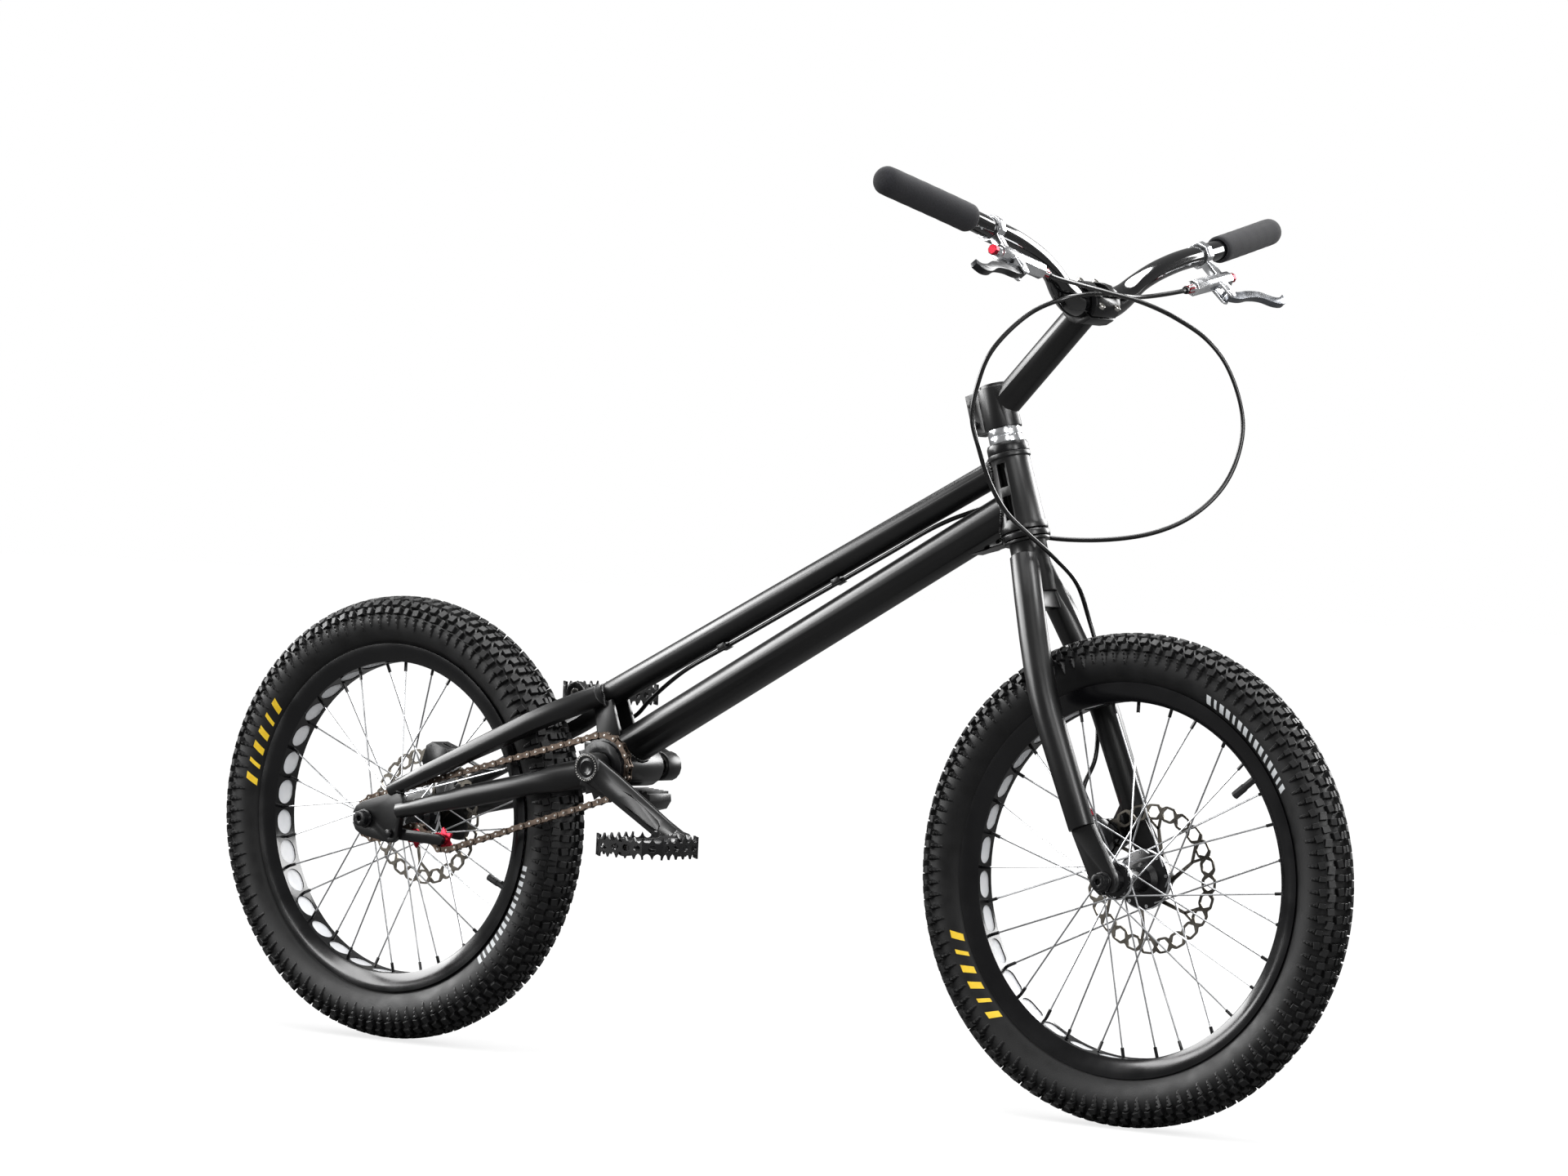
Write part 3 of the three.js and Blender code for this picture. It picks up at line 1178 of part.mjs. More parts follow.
for (const [name, s] of sides) {
  const place = (geometry) => {
    const faced = s < 0 ? mirroredY(geometry) : geometry;
    const at = pedalPlace(s);
    return faced.clone().translate(at.x, at.y, at.z);
  };
  add(crankset, `pedal_axle_${name}`, place(pedalAxleBody()), stainless);
  add(crankset, `pedal_${name}`, place(geometryOf(pedalBody())), satinBlack);
}

// Fork: steerer, crown, arch, legs and dropouts are one weldment

const forkAxle = [forkRake, -forkLength];
const legBottom = fork.legEndRise - forkLength;

function forkLegSolid(s) {
  const lean = fork.legBottomForward / (fork.legTop - legBottom);
  const at = (z, y) => vec(lean * (fork.legTop - z), s * y, z);
  const bend = fork.legTop - fork.legShoulder;
  const curve = new THREE.CubicBezierCurve3(
    at(fork.legTop, fork.legTopSide), at(fork.legTop - bend / 2, fork.legTopSide + 0.66
      * (fork.legSide - fork.legTopSide)),
    at(fork.legTop - 0.8 * bend, fork.legSide), at(fork.legShoulder, fork.legSide),
  );
  const stations = curve.getPoints(5).map((point) =>
    ({ at: point, wide: fork.legRadius, high: fork.legRadius }));
  stations[0].along = stations[0].at.clone().sub(stations[1].at).negate();
  stations.push({ at: at(legBottom, fork.legSide), wide: fork.legTipRadius, high: fork.legTipRadius });
  return solid(lofted(stations, 12));
}

function forkDropoutSolid(s) {
  const [axleX, axleZ] = forkAxle;
  const circles = [[fork.legBottomForward, legBottom, fork.legTipRadius * 0.9],
    [axleX, axleZ, fork.dropoutRadius]];
  const low = frontHub.overlap / 2;
  const high = low + fork.dropoutThickness;
  return solid(plate(outlineShape(beltOutline(circles, 10)), s > 0 ? low : -high, s > 0 ? high : -low));
}

// The web on the left leg that the caliper is bolted to.
function caliperBracketSolid() {
  const [axleX, axleZ] = forkAxle;
  const at = (angle) => [axleX + caliper.radius * Math.cos(angle), axleZ + caliper.radius * Math.sin(angle)];
  const spread = caliper.halfLength / caliper.radius;
  const ends = [frontCaliperAngle - 0.7 * spread, frontCaliperAngle + 0.7 * spread].map(at);
  const circles = [
    ...ends.map(([x, z]) => [x, z, fork.bracketRadius]),
    [fork.legBottomForward, legBottom + fork.bracketReach, fork.bracketRadius],
    [fork.legBottomForward, legBottom, fork.bracketRadius],
  ];
  const low = frontHub.overlap / 2;
  return solid(plate(outlineShape(beltOutline(circles, 8)), low, low + fork.dropoutThickness));
}

function forkBody() {
  const crown = solid(turnedUp([
    [0, -fork.crownDrop], [fork.crownRadius, -fork.crownDrop], [fork.crownRadius, -fork.raceHeight],
    [fork.raceRadius, -fork.raceHeight], [fork.raceRadius, 0], [fork.steererRadius, 0],
    [fork.steererRadius, fork.steererTop], [0, fork.steererTop],
  ], 16));
  const archHeight = fork.archDrop - fork.crownDrop;
  const arch = new THREE.BoxGeometry(fork.archThickness, 2 * fork.archHalfWidth, archHeight);
  const archForward = fork.legBottomForward * (fork.archDrop + fork.legTop) / (fork.legTop - legBottom);
  arch.translate(archForward, 0, -fork.crownDrop - archHeight / 2);
  const legs = sides.flatMap(([, s]) => [forkLegSolid(s), forkDropoutSolid(s)]);
  const whole = join([crown, solid(arch), ...legs, caliperBracketSolid()]);
  const [axleX, axleZ] = forkAxle;
  const slotRadius = overFlats(axle.radius + seatGap, 12);
  const reach = fork.dropoutRadius + overrun;
  const slot = plate(outlineShape(beltOutline([[axleX, axleZ, slotRadius],
    [axleX, axleZ - reach, slotRadius]], 12)), -reach, reach);
  const wide = frontHub.overlap + 2 * fork.dropoutThickness + 2 * overrun;
  return alongSteer(geometryOf(cut(whole, [solid(slot.scale(1, wide / (2 * reach), 1))])));
}
add(bike, 'fork', forkBody(), satinBlack);

add(bike, 'front_axle', axleBody(frontHub.overlap, fork.dropoutThickness)
  .translate(frontAxleX, 0, frontRadius), blackAnodised);

const frontWheel = new THREE.Group();
frontWheel.position.set(frontAxleX, 0, frontRadius);
bike.add(frontWheel);
addWheel(frontWheel, 'front', frontTyre, frontRim, frontHub, frontValveAngle);

// Stem, its faceplate and the spacers under it

const stemRise = Math.sin(stem.angle);
const stemRun = Math.cos(stem.angle);
const barMiddle = vec(stem.length * stemRun, 0, stem.tubeStart + stem.length * stemRise);

// Moves a body from the steering axis to the world.
const steered = (body) => alongSteer(geometryOf(body));

function spacerStack() {
  const low = headsetTop + seatGap;
  const high = stem.clampBottom - seatGap;
  const pitch = (high - low) / spacers.count;
  const outline = [[fork.steererRadius + seatGap, low]];
  for (let i = 0; i < spacers.count; i++) {
    const [from, to] = [low + i * pitch, low + (i + 1) * pitch];
    outline.push([spacers.radius, from], [spacers.radius, to - spacers.grooveWidth]);
    if (i + 1 < spacers.count) outline.push([spacers.grooveRadius, to - spacers.grooveWidth],
      [spacers.grooveRadius, to]);
  }
  outline.push([spacers.radius, high], [fork.steererRadius + seatGap, high]);
  return turnedUp(outline, 16);
}
add(bike, 'headset_spacers', alongSteer(spacerStack()), polished);

// A slab square to the stem that parts its clamp from the faceplate, or everything on one side of it.
function stemSlab(from, to) {
  const tall = 2 * stem.faceRadius + 2 * overrun;
  const slab = new THREE.BoxGeometry(to - from, stem.faceWidth + 2 * overrun, tall)
    .translate((from + to) / 2, 0, 0);
  return solid(slab.rotateY(-stem.angle).translate(barMiddle.x, 0, barMiddle.z));
}

const faceSolid = (radius, half) => solid(disc(radius, -half, half, 16)
  .translate(barMiddle.x, 0, barMiddle.z));

function stemBody() {
  const clampTop = stem.clampBottom + stem.clampHeight;
  const clamp = solid(turnedUp([
    [0, stem.clampBottom], [stem.clampRadius, stem.clampBottom], [stem.clampRadius, clampTop],
    [stem.capRadius, clampTop], [stem.capRadius, clampTop + stem.capHeight], [0, clampTop + stem.capHeight],
  ], 16));
  const tube = solid(rod(vec(0, 0, stem.tubeStart), barMiddle, stem.tubeRadius, 14));
  const ears = new THREE.BoxGeometry(stem.clampRadius + stem.earDepth, stem.earWidth, stem.clampHeight);
  const middle = stem.clampBottom + stem.clampHeight / 2;
  const bolts = [-1, 1].map((way) => {
    const z = middle + way * (stem.clampHeight / 2 - stem.boltInset);
    const bolt = disc(stem.boltRadius, -stem.earWidth / 2 - stem.boltProud, stem.earWidth / 2
      + stem.boltEnd, 8);
    return solid(bolt.translate(-stem.clampRadius - stem.earDepth / 2, 0, z));
  });
  const outside = join([
    clamp, tube, solid(ears.translate(-(stem.clampRadius + stem.earDepth) / 2, 0, middle)),
    faceSolid(stem.faceRadius, stem.faceWidth / 2),
  ]);
  const bore = solid(turnedUp([
    [0, stem.clampBottom - overrun], [overFlats(fork.steererRadius + seatGap, 16), stem.clampBottom
      - overrun],
    [overFlats(fork.steererRadius + seatGap, 16), clampTop], [0, clampTop],
  ], 16));
  const slit = new THREE.BoxGeometry(stem.clampRadius + stem.earDepth + overrun, stem.slit, stem.clampHeight
    + 2 * seatGap);
  slit.translate(-(stem.clampRadius + stem.earDepth + overrun) / 2, 0, middle - seatGap);
  const open = cut(outside, [
    bore, solid(slit), faceSolid(overFlats(bar.clampRadius + seatGap, 16), stem.faceWidth),
    stemSlab(-stem.faceGap / 2, stem.faceRadius + overrun),
  ]);
  return join([open, ...bolts]);
}

function faceplateBody() {
  const hole = faceSolid(overFlats(bar.clampRadius + seatGap, 16), stem.faceWidth);
  const window = new THREE.BoxGeometry(2 * stem.faceRadius, stem.windowWidth, stem.faceRadius)
    .translate(stem.faceRadius + bar.clampRadius * 0.6, 0, 0).rotateY(-stem.angle)
      .translate(barMiddle.x, 0, barMiddle.z);
  const rear = stemSlab(-stem.faceRadius - overrun, stem.faceGap / 2);
  return cut(faceSolid(stem.faceRadius, stem.faceWidth / 2), [hole, solid(window), rear]);
}

add(bike, 'stem', steered(stemBody()), satinBlack);
add(bike, 'stem_faceplate', steered(faceplateBody()), blackAnodised);

// Handlebar, along a curve from its right end to its left end

const barCentre = alongSteer(new THREE.BufferGeometry().setFromPoints([barMiddle])).getAttribute('position');
const barAt = vec(barCentre.getX(0), 0, barCentre.getZ(0));
const barBend = (s) => ([side, forward, up]) =>
  vec(barAt.x + forward * bar.sweep, s * side * bar.halfLength, barAt.z + up * bar.rise);
const barPoints = [...[...barBendShares].reverse().map(barBend(-1)), barAt, ...barBendShares.map(barBend(1))];
const barCurve = new THREE.CatmullRomCurve3(barPoints, false, 'chordal');

// The place on the bar's middle line at a given distance to the side.
function onBar(side) {
  let [low, high] = [0, 1];
  for (let k = 0; k < 30; k++) {
    const middle = (low + high) / 2;
    if (barCurve.getPoint(middle).y < side) low = middle;
    else high = middle;
  }
  return { at: barCurve.getPoint(low).setY(side), along: barCurve.getTangent(low) };
}

function barStations(places, radiusAt) {
  return places.map((side) => {
    const radius = radiusAt(side);
    return { ...onBar(side), wide: radius, high: radius };
  });
}

const barSides = 12;
const barRadiusAt = (side) => {
  const share = (Math.abs(side) - bar.clampHalf) / (bar.taperEnd - bar.clampHalf);
  return bar.clampRadius + (bar.radius - bar.clampRadius) * Math.min(Math.max(share, 0), 1);
};

function barSolid(grow) {
  const end = bar.halfLength + grow;
  const half = [bar.clampHalf, ...barRingShares.map((share) => share * bar.halfLength), gripStart, end];
  const places = [...[...half].reverse().map((side) => -side), ...half];
  return solid(lofted(barStations(places, (side) => barRadiusAt(side) + grow), barSides, vec(1, 0, 0)));
}
add(bike, 'handlebar', barSolid(0), glossBlack);

function gripBody(s) {
  const places = [gripStart, (gripStart + gripEnd) / 2, gripEnd - grip.bullet, gripEnd - grip.bullet / 4,
    gripEnd];
  const radii = [grip.radius, grip.radius, grip.radius, grip.radius * 0.8, grip.radius * 0.4];
  const stations = barStations(places, (side) => radii[places.indexOf(side)]);
  const outside = cut(solid(lofted(stations, barSides, vec(1, 0, 0))), [barSolid(seatGap)]);
  return s > 0 ? geometryOf(outside) : mirroredY(geometryOf(outside));
}
for (const [name, s] of sides) add(bike, `grip_${name}`, gripBody(s), foam);

// Brake levers, drawn for the left side with X outboard along the bar and Y away from it

const leverPlace = (() => {
  const { at, along } = onBar(bar.halfLength - lever.fromBarEnd);
  const away = vec(Math.cos(lever.drop), 0, -Math.sin(lever.drop));
  away.addScaledVector(along, -along.dot(away)).normalize();
  return new THREE.Matrix4().makeBasis(along, away, along.clone().cross(away)).setPosition(at);
})();
const placedLever = (geometry, s) => {
  const placed = geometry.clone().applyMatrix4(leverPlace);
  return s > 0 ? placed : mirroredY(placed);
};
const alongBar = (radius, from, to, side) =>
  solid(disc(radius, from, to, 8).rotateZ(-Math.PI / 2).translate(0, side, 0));

function leverBodyBody(s) {
  const { bodyOffset, pivotOffset, pivotInboard, earThickness, clampWidth } = lever;
  const gap = blade.halfThickness + blade.clearance;
  const body = [
    alongBar(lever.bodyRadius, -lever.bodyInboard, lever.bodyOutboard, bodyOffset),
    alongBar(lever.fittingRadius, -lever.bodyInboard - lever.fittingLength, -lever.bodyInboard + seatGap,
      bodyOffset),
    alongBar(lever.knobRadius, lever.bodyOutboard - seatGap, lever.bodyOutboard + lever.knobLength,
      bodyOffset),
    alongBar(lever.clampRadius, -clampWidth / 2, clampWidth / 2, 0),
    solid(new THREE.BoxGeometry(clampWidth, bodyOffset, lever.webWidth).translate(0, bodyOffset / 2, 0)),
  ];
  const ear = outlineShape(beltOutline([
    [-pivotInboard, bodyOffset, lever.earRadius], [-pivotInboard, pivotOffset, lever.earRadius],
  ], 10));
  const flat = (shape, low, high) =>
    solid(new THREE.ExtrudeGeometry(shape, { depth: high - low, bevelEnabled: false })
    .translate(0, 0, low));
  const pinHalf = gap + earThickness + lever.pinProud;
  const pin = disc(lever.pinRadius, -pinHalf, pinHalf, 10)
    .rotateX(Math.PI / 2).translate(-pivotInboard, pivotOffset, 0);
  body.push(flat(ear, gap, gap + earThickness), flat(ear, -gap - earThickness, -gap));
  const barHole = barSolid(seatGap);
  const inverse = leverPlace.clone().invert();
  const hole = solid(geometryOf(barHole).applyMatrix4(inverse));
  return placedLever(geometryOf(join([cut(join(body), [hole]), solid(pin)])), s);
}

// A flat outline of changing width along a middle line of [x, y, half width].
function ribbonOutline(line) {
  const left = [];
  const right = [];
  line.forEach(([x, y, half], i) => {
    const [ax, ay] = line[Math.max(i - 1, 0)];
    const [bx, by] = line[Math.min(i + 1, line.length - 1)];
    const length = Math.hypot(bx - ax, by - ay);
    const normal = [-(by - ay) / length, (bx - ax) / length];
    left.push([x + half * normal[0], y + half * normal[1]]);
    right.push([x - half * normal[0], y - half * normal[1]]);
  });
  return [...right, ...left.reverse()];
}

const bladeLine = bladeShares.map(([along, away, wide]) =>
  [along * blade.length, away * blade.reach, wide * blade.rootRadius]);

function bladeBody(s) {
  const half = blade.halfThickness;
  const extruded = (points) =>
    solid(new THREE.ExtrudeGeometry(outlineShape(points), { depth: 2 * half, bevelEnabled: false })
    .translate(-lever.pivotInboard, lever.pivotOffset, -half));
  const [tipX, tipY, tipHalf] = bladeLine[bladeLine.length - 1];
  const shape = join([
    extruded(ribbonOutline(bladeLine)), extruded(beltOutline([[0, 0, blade.rootRadius]], 12)),
    extruded(beltOutline([[tipX, tipY, tipHalf]], 10)),
  ]);
  const hole = disc(overFlats(lever.pinRadius + seatGap, 10), -overrun, overrun, 10).rotateX(Math.PI / 2)
    .translate(-lever.pivotInboard, lever.pivotOffset, 0);
  return placedLever(geometryOf(cut(shape, [solid(hole)])), s);
}

for (const [name, s] of sides) {
  add(bike, `brake_lever_body_${name}`, leverBodyBody(s), polished);
  add(bike, `brake_lever_blade_${name}`, bladeBody(s), blackAnodised);
}

// Brakes: a caliper straddles each rotor and holds a pad on either side of it

const block = (x0, x1, y0, y1, halfZ) =>
  solid(new THREE.BoxGeometry(x1 - x0, y1 - y0, 2 * halfZ).translate((x0 + x1) / 2, (y0 + y1) / 2, 0));

// The hose screws into the front caliper's outer face, and into the rear one's forward end.
const caliperFitting = {
  front: {
    from: vec(caliper.outerRadius, caliper.frontFittingSide, -caliper.frontFittingDrop),
    toward: vec(1, 0, 0),
  },
  rear: {
    from: vec(caliper.rearFittingRadius, caliper.rearFittingSide, -caliper.halfLength),
    toward: vec(0, 0, -1),
  },
};

// Drawn with X out from the axle, Y to the left from the rotor's middle and Z along the rotor's edge.
function caliperBody(name) {
  const c = caliper;
  const { from, toward } = caliperFitting[name];
  const root = from.clone().addScaledVector(toward, -c.bevel);
  const tip = from.clone().addScaledVector(toward, c.fittingLength);
  const outline = outlineShape([
    [c.innerRadius, -c.halfLength + c.bevel], [c.innerRadius + c.bevel, -c.halfLength],
    [c.outerRadius - c.bevel, -c.halfLength],
    [c.outerRadius, -c.halfLength + c.bevel], [c.outerRadius, c.halfLength - c.bevel],
    [c.outerRadius - c.bevel, c.halfLength],
    [c.innerRadius + c.bevel, c.halfLength], [c.innerRadius, c.halfLength - c.bevel],
  ]);
  const half = rotor.thickness / 2 + c.padGap + c.padThickness + seatGap;
  const cutters = [
    block(c.innerRadius - overrun, c.slotDepth, -c.slotHalf, c.slotHalf, c.halfLength + overrun),
    block(c.windowInner, c.windowOuter, -half, half, c.windowHalf),
    block(c.windowOuter - overrun, c.outerRadius + overrun, -half / 2, half / 2, c.bridgeHalf),
  ];
  return join([cut(solid(plate(outline, -c.inward, c.outward)), cutters),
    solid(rod(root, tip, c.fittingRadius, 8))]);
}

function padBody(way) {
  const low = rotor.thickness / 2 + caliper.padGap;
  const high = low + caliper.padThickness;
  return way > 0 ? block(caliper.padInner, caliper.padOuter, low, high, caliper.padHalf)
    : block(caliper.padInner, caliper.padOuter, -high, -low, caliper.padHalf);
}

// Turns a body from the caliper's own directions to its place on the bike.
function atCaliper(body, name) {
  const geometry = body.isBufferGeometry ? body.clone() : geometryOf(body);
  if (name === 'rear') {
    return geometry.rotateY(-rearCaliperAngle).translate(rearAxleX, rearHub.rotorY, rearRadius);
  }
  const [axleX, axleZ] = forkAxle;
  return alongSteer(geometry.rotateY(-frontCaliperAngle).translate(axleX, frontHub.rotorY, axleZ));
}

for (const name of ['front', 'rear']) {
  add(bike, `${name}_caliper`, atCaliper(caliperBody(name), name), blackAnodised);
  add(bike, `${name}_brake_pad_outer`, atCaliper(padBody(1), name), stainless);
  add(bike, `${name}_brake_pad_inner`, atCaliper(padBody(-1), name), stainless);
}

// Brake hoses

// A hose run along a smooth curve through its way points.
function hoseBody(points, steps) {
  return swept(new THREE.CatmullRomCurve3(points, false, 'centripetal'), hoseRadius, 6, steps);
}

const pointsOf = (geometry) => {
  const place = geometry.getAttribute('position');
  return Array.from({ length: place.count }, (_, i) => vec(place.getX(i), place.getY(i), place.getZ(i)));
};
const bundle = (points) => new THREE.BufferGeometry().setFromPoints(points);
const steeredRoute = (route) =>
  pointsOf(alongSteer(bundle(route.map(([forward, side, up]) => vec(forward, side, up)))));

// The first two points of a hose that leaves a lever's fitting, and the last two of one that meets a caliper.
function fromLever(s) {
  const end = -lever.bodyInboard - lever.fittingLength - seatGap;
  return [end, end - hoseLead].map((x) => vec(x, lever.bodyOffset, 0).applyMatrix4(leverPlace))
    .map((point) => point.setY(s * point.y));
}
function toCaliper(name) {
  const { from, toward } = caliperFitting[name];
  const reach = caliper.fittingLength + seatGap;
  return pointsOf(atCaliper(bundle([reach + hoseLead, reach].map((r) => from.clone()
    .addScaledVector(toward, r))), name));
}

const [meeting] = steeredRoute([hoseMeeting]);
const meetingLead = steeredRoute([hoseMeeting.map((value, axis) => value
  + hoseMeetingLead[axis])])[0].sub(meeting).normalize();
const offMeeting = (reach) => meeting.clone().addScaledVector(meetingLead, reach);
add(bike, 'rear_hose_loop', hoseBody([
  ...fromLever(-1), ...steeredRoute(rearLoopRoute), offMeeting(-hoseLead), meeting,
], 22), hoseBlack);
add(bike, 'rear_hose_run', hoseBody([
  offMeeting(seatGap), offMeeting(seatGap + hoseLead), ...steeredRoute(behindHeadRoute),
  ...hoseRunShares.map(hoseUnderTube), ...besideTyreRoute.map((place) => onRearAxle(...place)),
  ...toCaliper('rear'),
], 22), hoseBlack);
add(bike, 'front_hose', hoseBody([
  ...fromLever(1), ...steeredRoute(frontHoseRoute), ...toCaliper('front'),
], 24), hoseBlack);

export default bike;
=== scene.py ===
# %% [markdown]
# # A trials bike in a white studio
# A trials bike is a low bicycle without a saddle, for hopping over obstacles. Its solids come in as a fixed
# frame, already in place and in metres. This notebook dresses them: it keeps each solid where it is, and
# gives it a finish or stands a finer piece in its place.

# %% Load the solids
import json
import math

import bpy
from mathutils import Matrix, Vector
from mathutils.bvhtree import BVHTree

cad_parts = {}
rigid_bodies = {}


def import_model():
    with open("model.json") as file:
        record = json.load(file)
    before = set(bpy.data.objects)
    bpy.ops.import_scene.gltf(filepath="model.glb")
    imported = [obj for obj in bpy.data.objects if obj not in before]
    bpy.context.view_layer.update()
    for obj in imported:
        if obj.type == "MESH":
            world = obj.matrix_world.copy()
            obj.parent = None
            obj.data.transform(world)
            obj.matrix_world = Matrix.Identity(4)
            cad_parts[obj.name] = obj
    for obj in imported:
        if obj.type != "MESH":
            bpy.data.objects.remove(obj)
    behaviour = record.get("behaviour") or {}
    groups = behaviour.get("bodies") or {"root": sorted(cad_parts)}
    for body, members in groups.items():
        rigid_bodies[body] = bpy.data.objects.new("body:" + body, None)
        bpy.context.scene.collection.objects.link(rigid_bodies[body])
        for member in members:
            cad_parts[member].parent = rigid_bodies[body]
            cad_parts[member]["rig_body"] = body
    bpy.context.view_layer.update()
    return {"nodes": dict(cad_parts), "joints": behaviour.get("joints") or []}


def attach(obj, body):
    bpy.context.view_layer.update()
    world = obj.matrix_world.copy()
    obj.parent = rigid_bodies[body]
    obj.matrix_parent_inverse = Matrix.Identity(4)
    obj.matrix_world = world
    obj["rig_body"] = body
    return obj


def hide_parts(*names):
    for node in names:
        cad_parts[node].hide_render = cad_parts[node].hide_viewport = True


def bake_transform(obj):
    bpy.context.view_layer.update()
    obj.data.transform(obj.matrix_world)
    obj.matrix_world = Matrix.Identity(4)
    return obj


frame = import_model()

MM = 0.001
TURN = 2 * math.pi
UP = Vector((0, 0, 1))
nodes = frame["nodes"]
joints = {joint["name"]: joint for joint in frame["joints"]}


def pivot(joint):
    """The point a joint turns about, in metres."""
    return Vector(joints[joint]["pos_m"])


FRONT_AXLE = pivot("front_wheel")
REAR_AXLE = pivot("rear_wheel")
BRACKET = pivot("crankset")
CROWN_SEAT = pivot("steering")
STEER_UP = Vector(joints["steering"]["axis"]).normalized()
STEER_FORWARD = Vector((STEER_UP.z, 0, -STEER_UP.x))

# %% [markdown]
# ## The camera
# The photograph was taken from the bike's right, a little ahead of it, with a long lens that flattens
# the perspective. The camera's place was found by fitting the wheels' ellipses, so its numbers are sizes
# in the bike's own space. A camera could also be aimed with a Track To constraint, but written angles keep
# the slight lean of a hand-held shot.

# %% Set the camera
CAMERA_PLACE = Vector((3433.9, -4678.4, 628.6)) * MM
CAMERA_YAW = math.radians(36.02)
CAMERA_PITCH = math.radians(0.77)
CAMERA_ROLL = math.radians(2.43)
LENS = 119.8
SENSOR = 36.0
VIEW_REACH = 60.0

look = Vector((
    -math.sin(CAMERA_YAW) * math.cos(CAMERA_PITCH),
    math.cos(CAMERA_YAW) * math.cos(CAMERA_PITCH),
    -math.sin(CAMERA_PITCH),
))
level_right = look.cross(UP).normalized()
level_up = level_right.cross(look)
right = level_right * math.cos(CAMERA_ROLL) + level_up * math.sin(CAMERA_ROLL)
above = level_up * math.cos(CAMERA_ROLL) - level_right * math.sin(CAMERA_ROLL)
camera_data = bpy.data.cameras.new("camera")
camera_data.lens = LENS
camera_data.sensor_width = SENSOR
camera_data.clip_end = VIEW_REACH
camera = bpy.data.objects.new("camera", camera_data)
turned = Matrix((right, above, -look)).transposed().to_4x4()
camera.matrix_world = Matrix.Translation(CAMERA_PLACE) @ turned
bpy.context.scene.collection.objects.link(camera)
bpy.context.scene.camera = camera
bpy.context.scene.view_settings.view_transform = "Standard"
print("camera:", [round(value, 3) for value in CAMERA_PLACE], "m, lens", LENS, "mm")

# %% [markdown]
# ## Small helpers
# Blender's operators act on whatever is selected, so each helper first deselects everything and then
# selects its own piece. A finished piece keeps its place in its mesh, as the solids do.


# %% Selecting
def nothing_selected():
    """Leaves edit mode and deselects everything."""
    if bpy.context.mode != "OBJECT":
        bpy.ops.object.mode_set(mode="OBJECT")
    bpy.ops.object.select_all(action="DESELECT")


def only(*pieces):
    """Selects these pieces alone, with the first one active."""
    nothing_selected()
    for piece in pieces:
        piece.select_set(True)
    bpy.context.view_layer.objects.active = pieces[0]


# %% Placing, copying and joining
def moved(piece, matrix):
    """Moves a piece by a matrix, in its mesh, and turns its faces right again after a mirror."""
    piece.data.transform(matrix)
    if matrix.determinant() < 0:
        piece.data.flip_normals()
    return piece


def modified(piece, kind, **settings):
    """Adds a modifier and applies it."""
    only(piece)
    modifier = piece.modifiers.new(kind.lower(), kind)
    for key, value in settings.items():
        setattr(modifier, key, value)
    bpy.ops.object.modifier_apply(modifier=modifier.name)
    return piece


def joined(pieces):
    """One piece from several."""
    only(*pieces)
    if len(pieces) > 1:
        bpy.ops.object.join()
    return bpy.context.object


def copies(model, matrices):
    """The model copied to each matrix and joined; the model itself goes."""
    made = []
    for matrix in matrices:
        copy = model.copy()
        copy.data = model.data.copy()
        bpy.context.scene.collection.objects.link(copy)
        made.append(moved(copy, matrix))
    bpy.data.objects.remove(model)
    return joined(made)


# %% Finishing a piece
def tidied(piece, merge=0.01 * MM):
    """Merges doubled points and turns every face outwards."""
    only(piece)
    bpy.ops.object.mode_set(mode="EDIT")
    bpy.ops.mesh.select_all(action="SELECT")
    bpy.ops.mesh.remove_doubles(threshold=merge)
    bpy.ops.mesh.normals_make_consistent(inside=False)
    bpy.ops.object.mode_set(mode="OBJECT")
    return piece


def finished(piece, name, body, material, slot, stands_for=(), degrees=35):
    """Names a piece, gives it its finish and hangs it on a body; given anything but a body's name, it is left
    unhung where it is.

    Edges that turn by less than degrees are shaded as one smooth surface.
    """
    piece.name = name
    piece.data.name = name
    piece.data.materials.clear()
    piece.data.materials.append(material)
    only(piece)
    bpy.ops.object.shade_smooth_by_angle(angle=math.radians(degrees))
    if isinstance(body, str):
        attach(piece, body)
    else:
        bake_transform(piece)
    if stands_for:
        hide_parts(*stands_for)
    return piece


# %% [markdown]
# ## Colours and surfaces
# A finish is a Principled shader with a little noise in its colour and roughness, because no real surface
# is even. Each finish is named for what the metal or rubber is and how it was made, except the lever blades'
# two copies of one aluminium, a lit one and one with painted shade. Colours are written as they look on a
# screen, and one function turns them to the linear values that Blender mixes.


# %% Colours and nodes
def linear(code):
    """An sRGB hex colour as linear red, green, blue and alpha."""
    channels = [int(code[i:i + 2], 16) / 255 for i in (0, 2, 4)]
    return tuple(c / 12.92 if c <= 0.04045 else ((c + 0.055) / 1.055) ** 2.4 for c in channels) + (1.0,)


def add_node(material, kind, settings=None, links=None):
    """Adds a node with its settings, which are properties or inputs, and its links."""
    made = material.node_tree.nodes.new(kind)
    for key, value in (settings or {}).items():
        if key in made.inputs:
            made.inputs[key].default_value = value
        else:
            setattr(made, key, value)
    for key, socket in (links or {}).items():
        material.node_tree.links.new(socket, made.inputs[key])
    return made


print("a dark grey, as Blender mixes it:", [round(value, 4) for value in linear("1b1c1e")])

# %% A finish from noise
# Noise keeps near its middle, so its usual range is what gets spread over a finish's colours.
NOISE_LOW, NOISE_HIGH = 0.3, 0.7
DRIFT_DETAIL = 4.0
RELIEF_DETAIL = 2.0


def ramp(material, factor, low, high):
    """A colour that goes from low to high as the noise rises."""
    made = add_node(material, "ShaderNodeValToRGB", links={"Fac": factor})
    first, last = made.color_ramp.elements
    first.position, last.position = NOISE_LOW, NOISE_HIGH
    first.color, last.color = low, high
    return made.outputs["Color"]


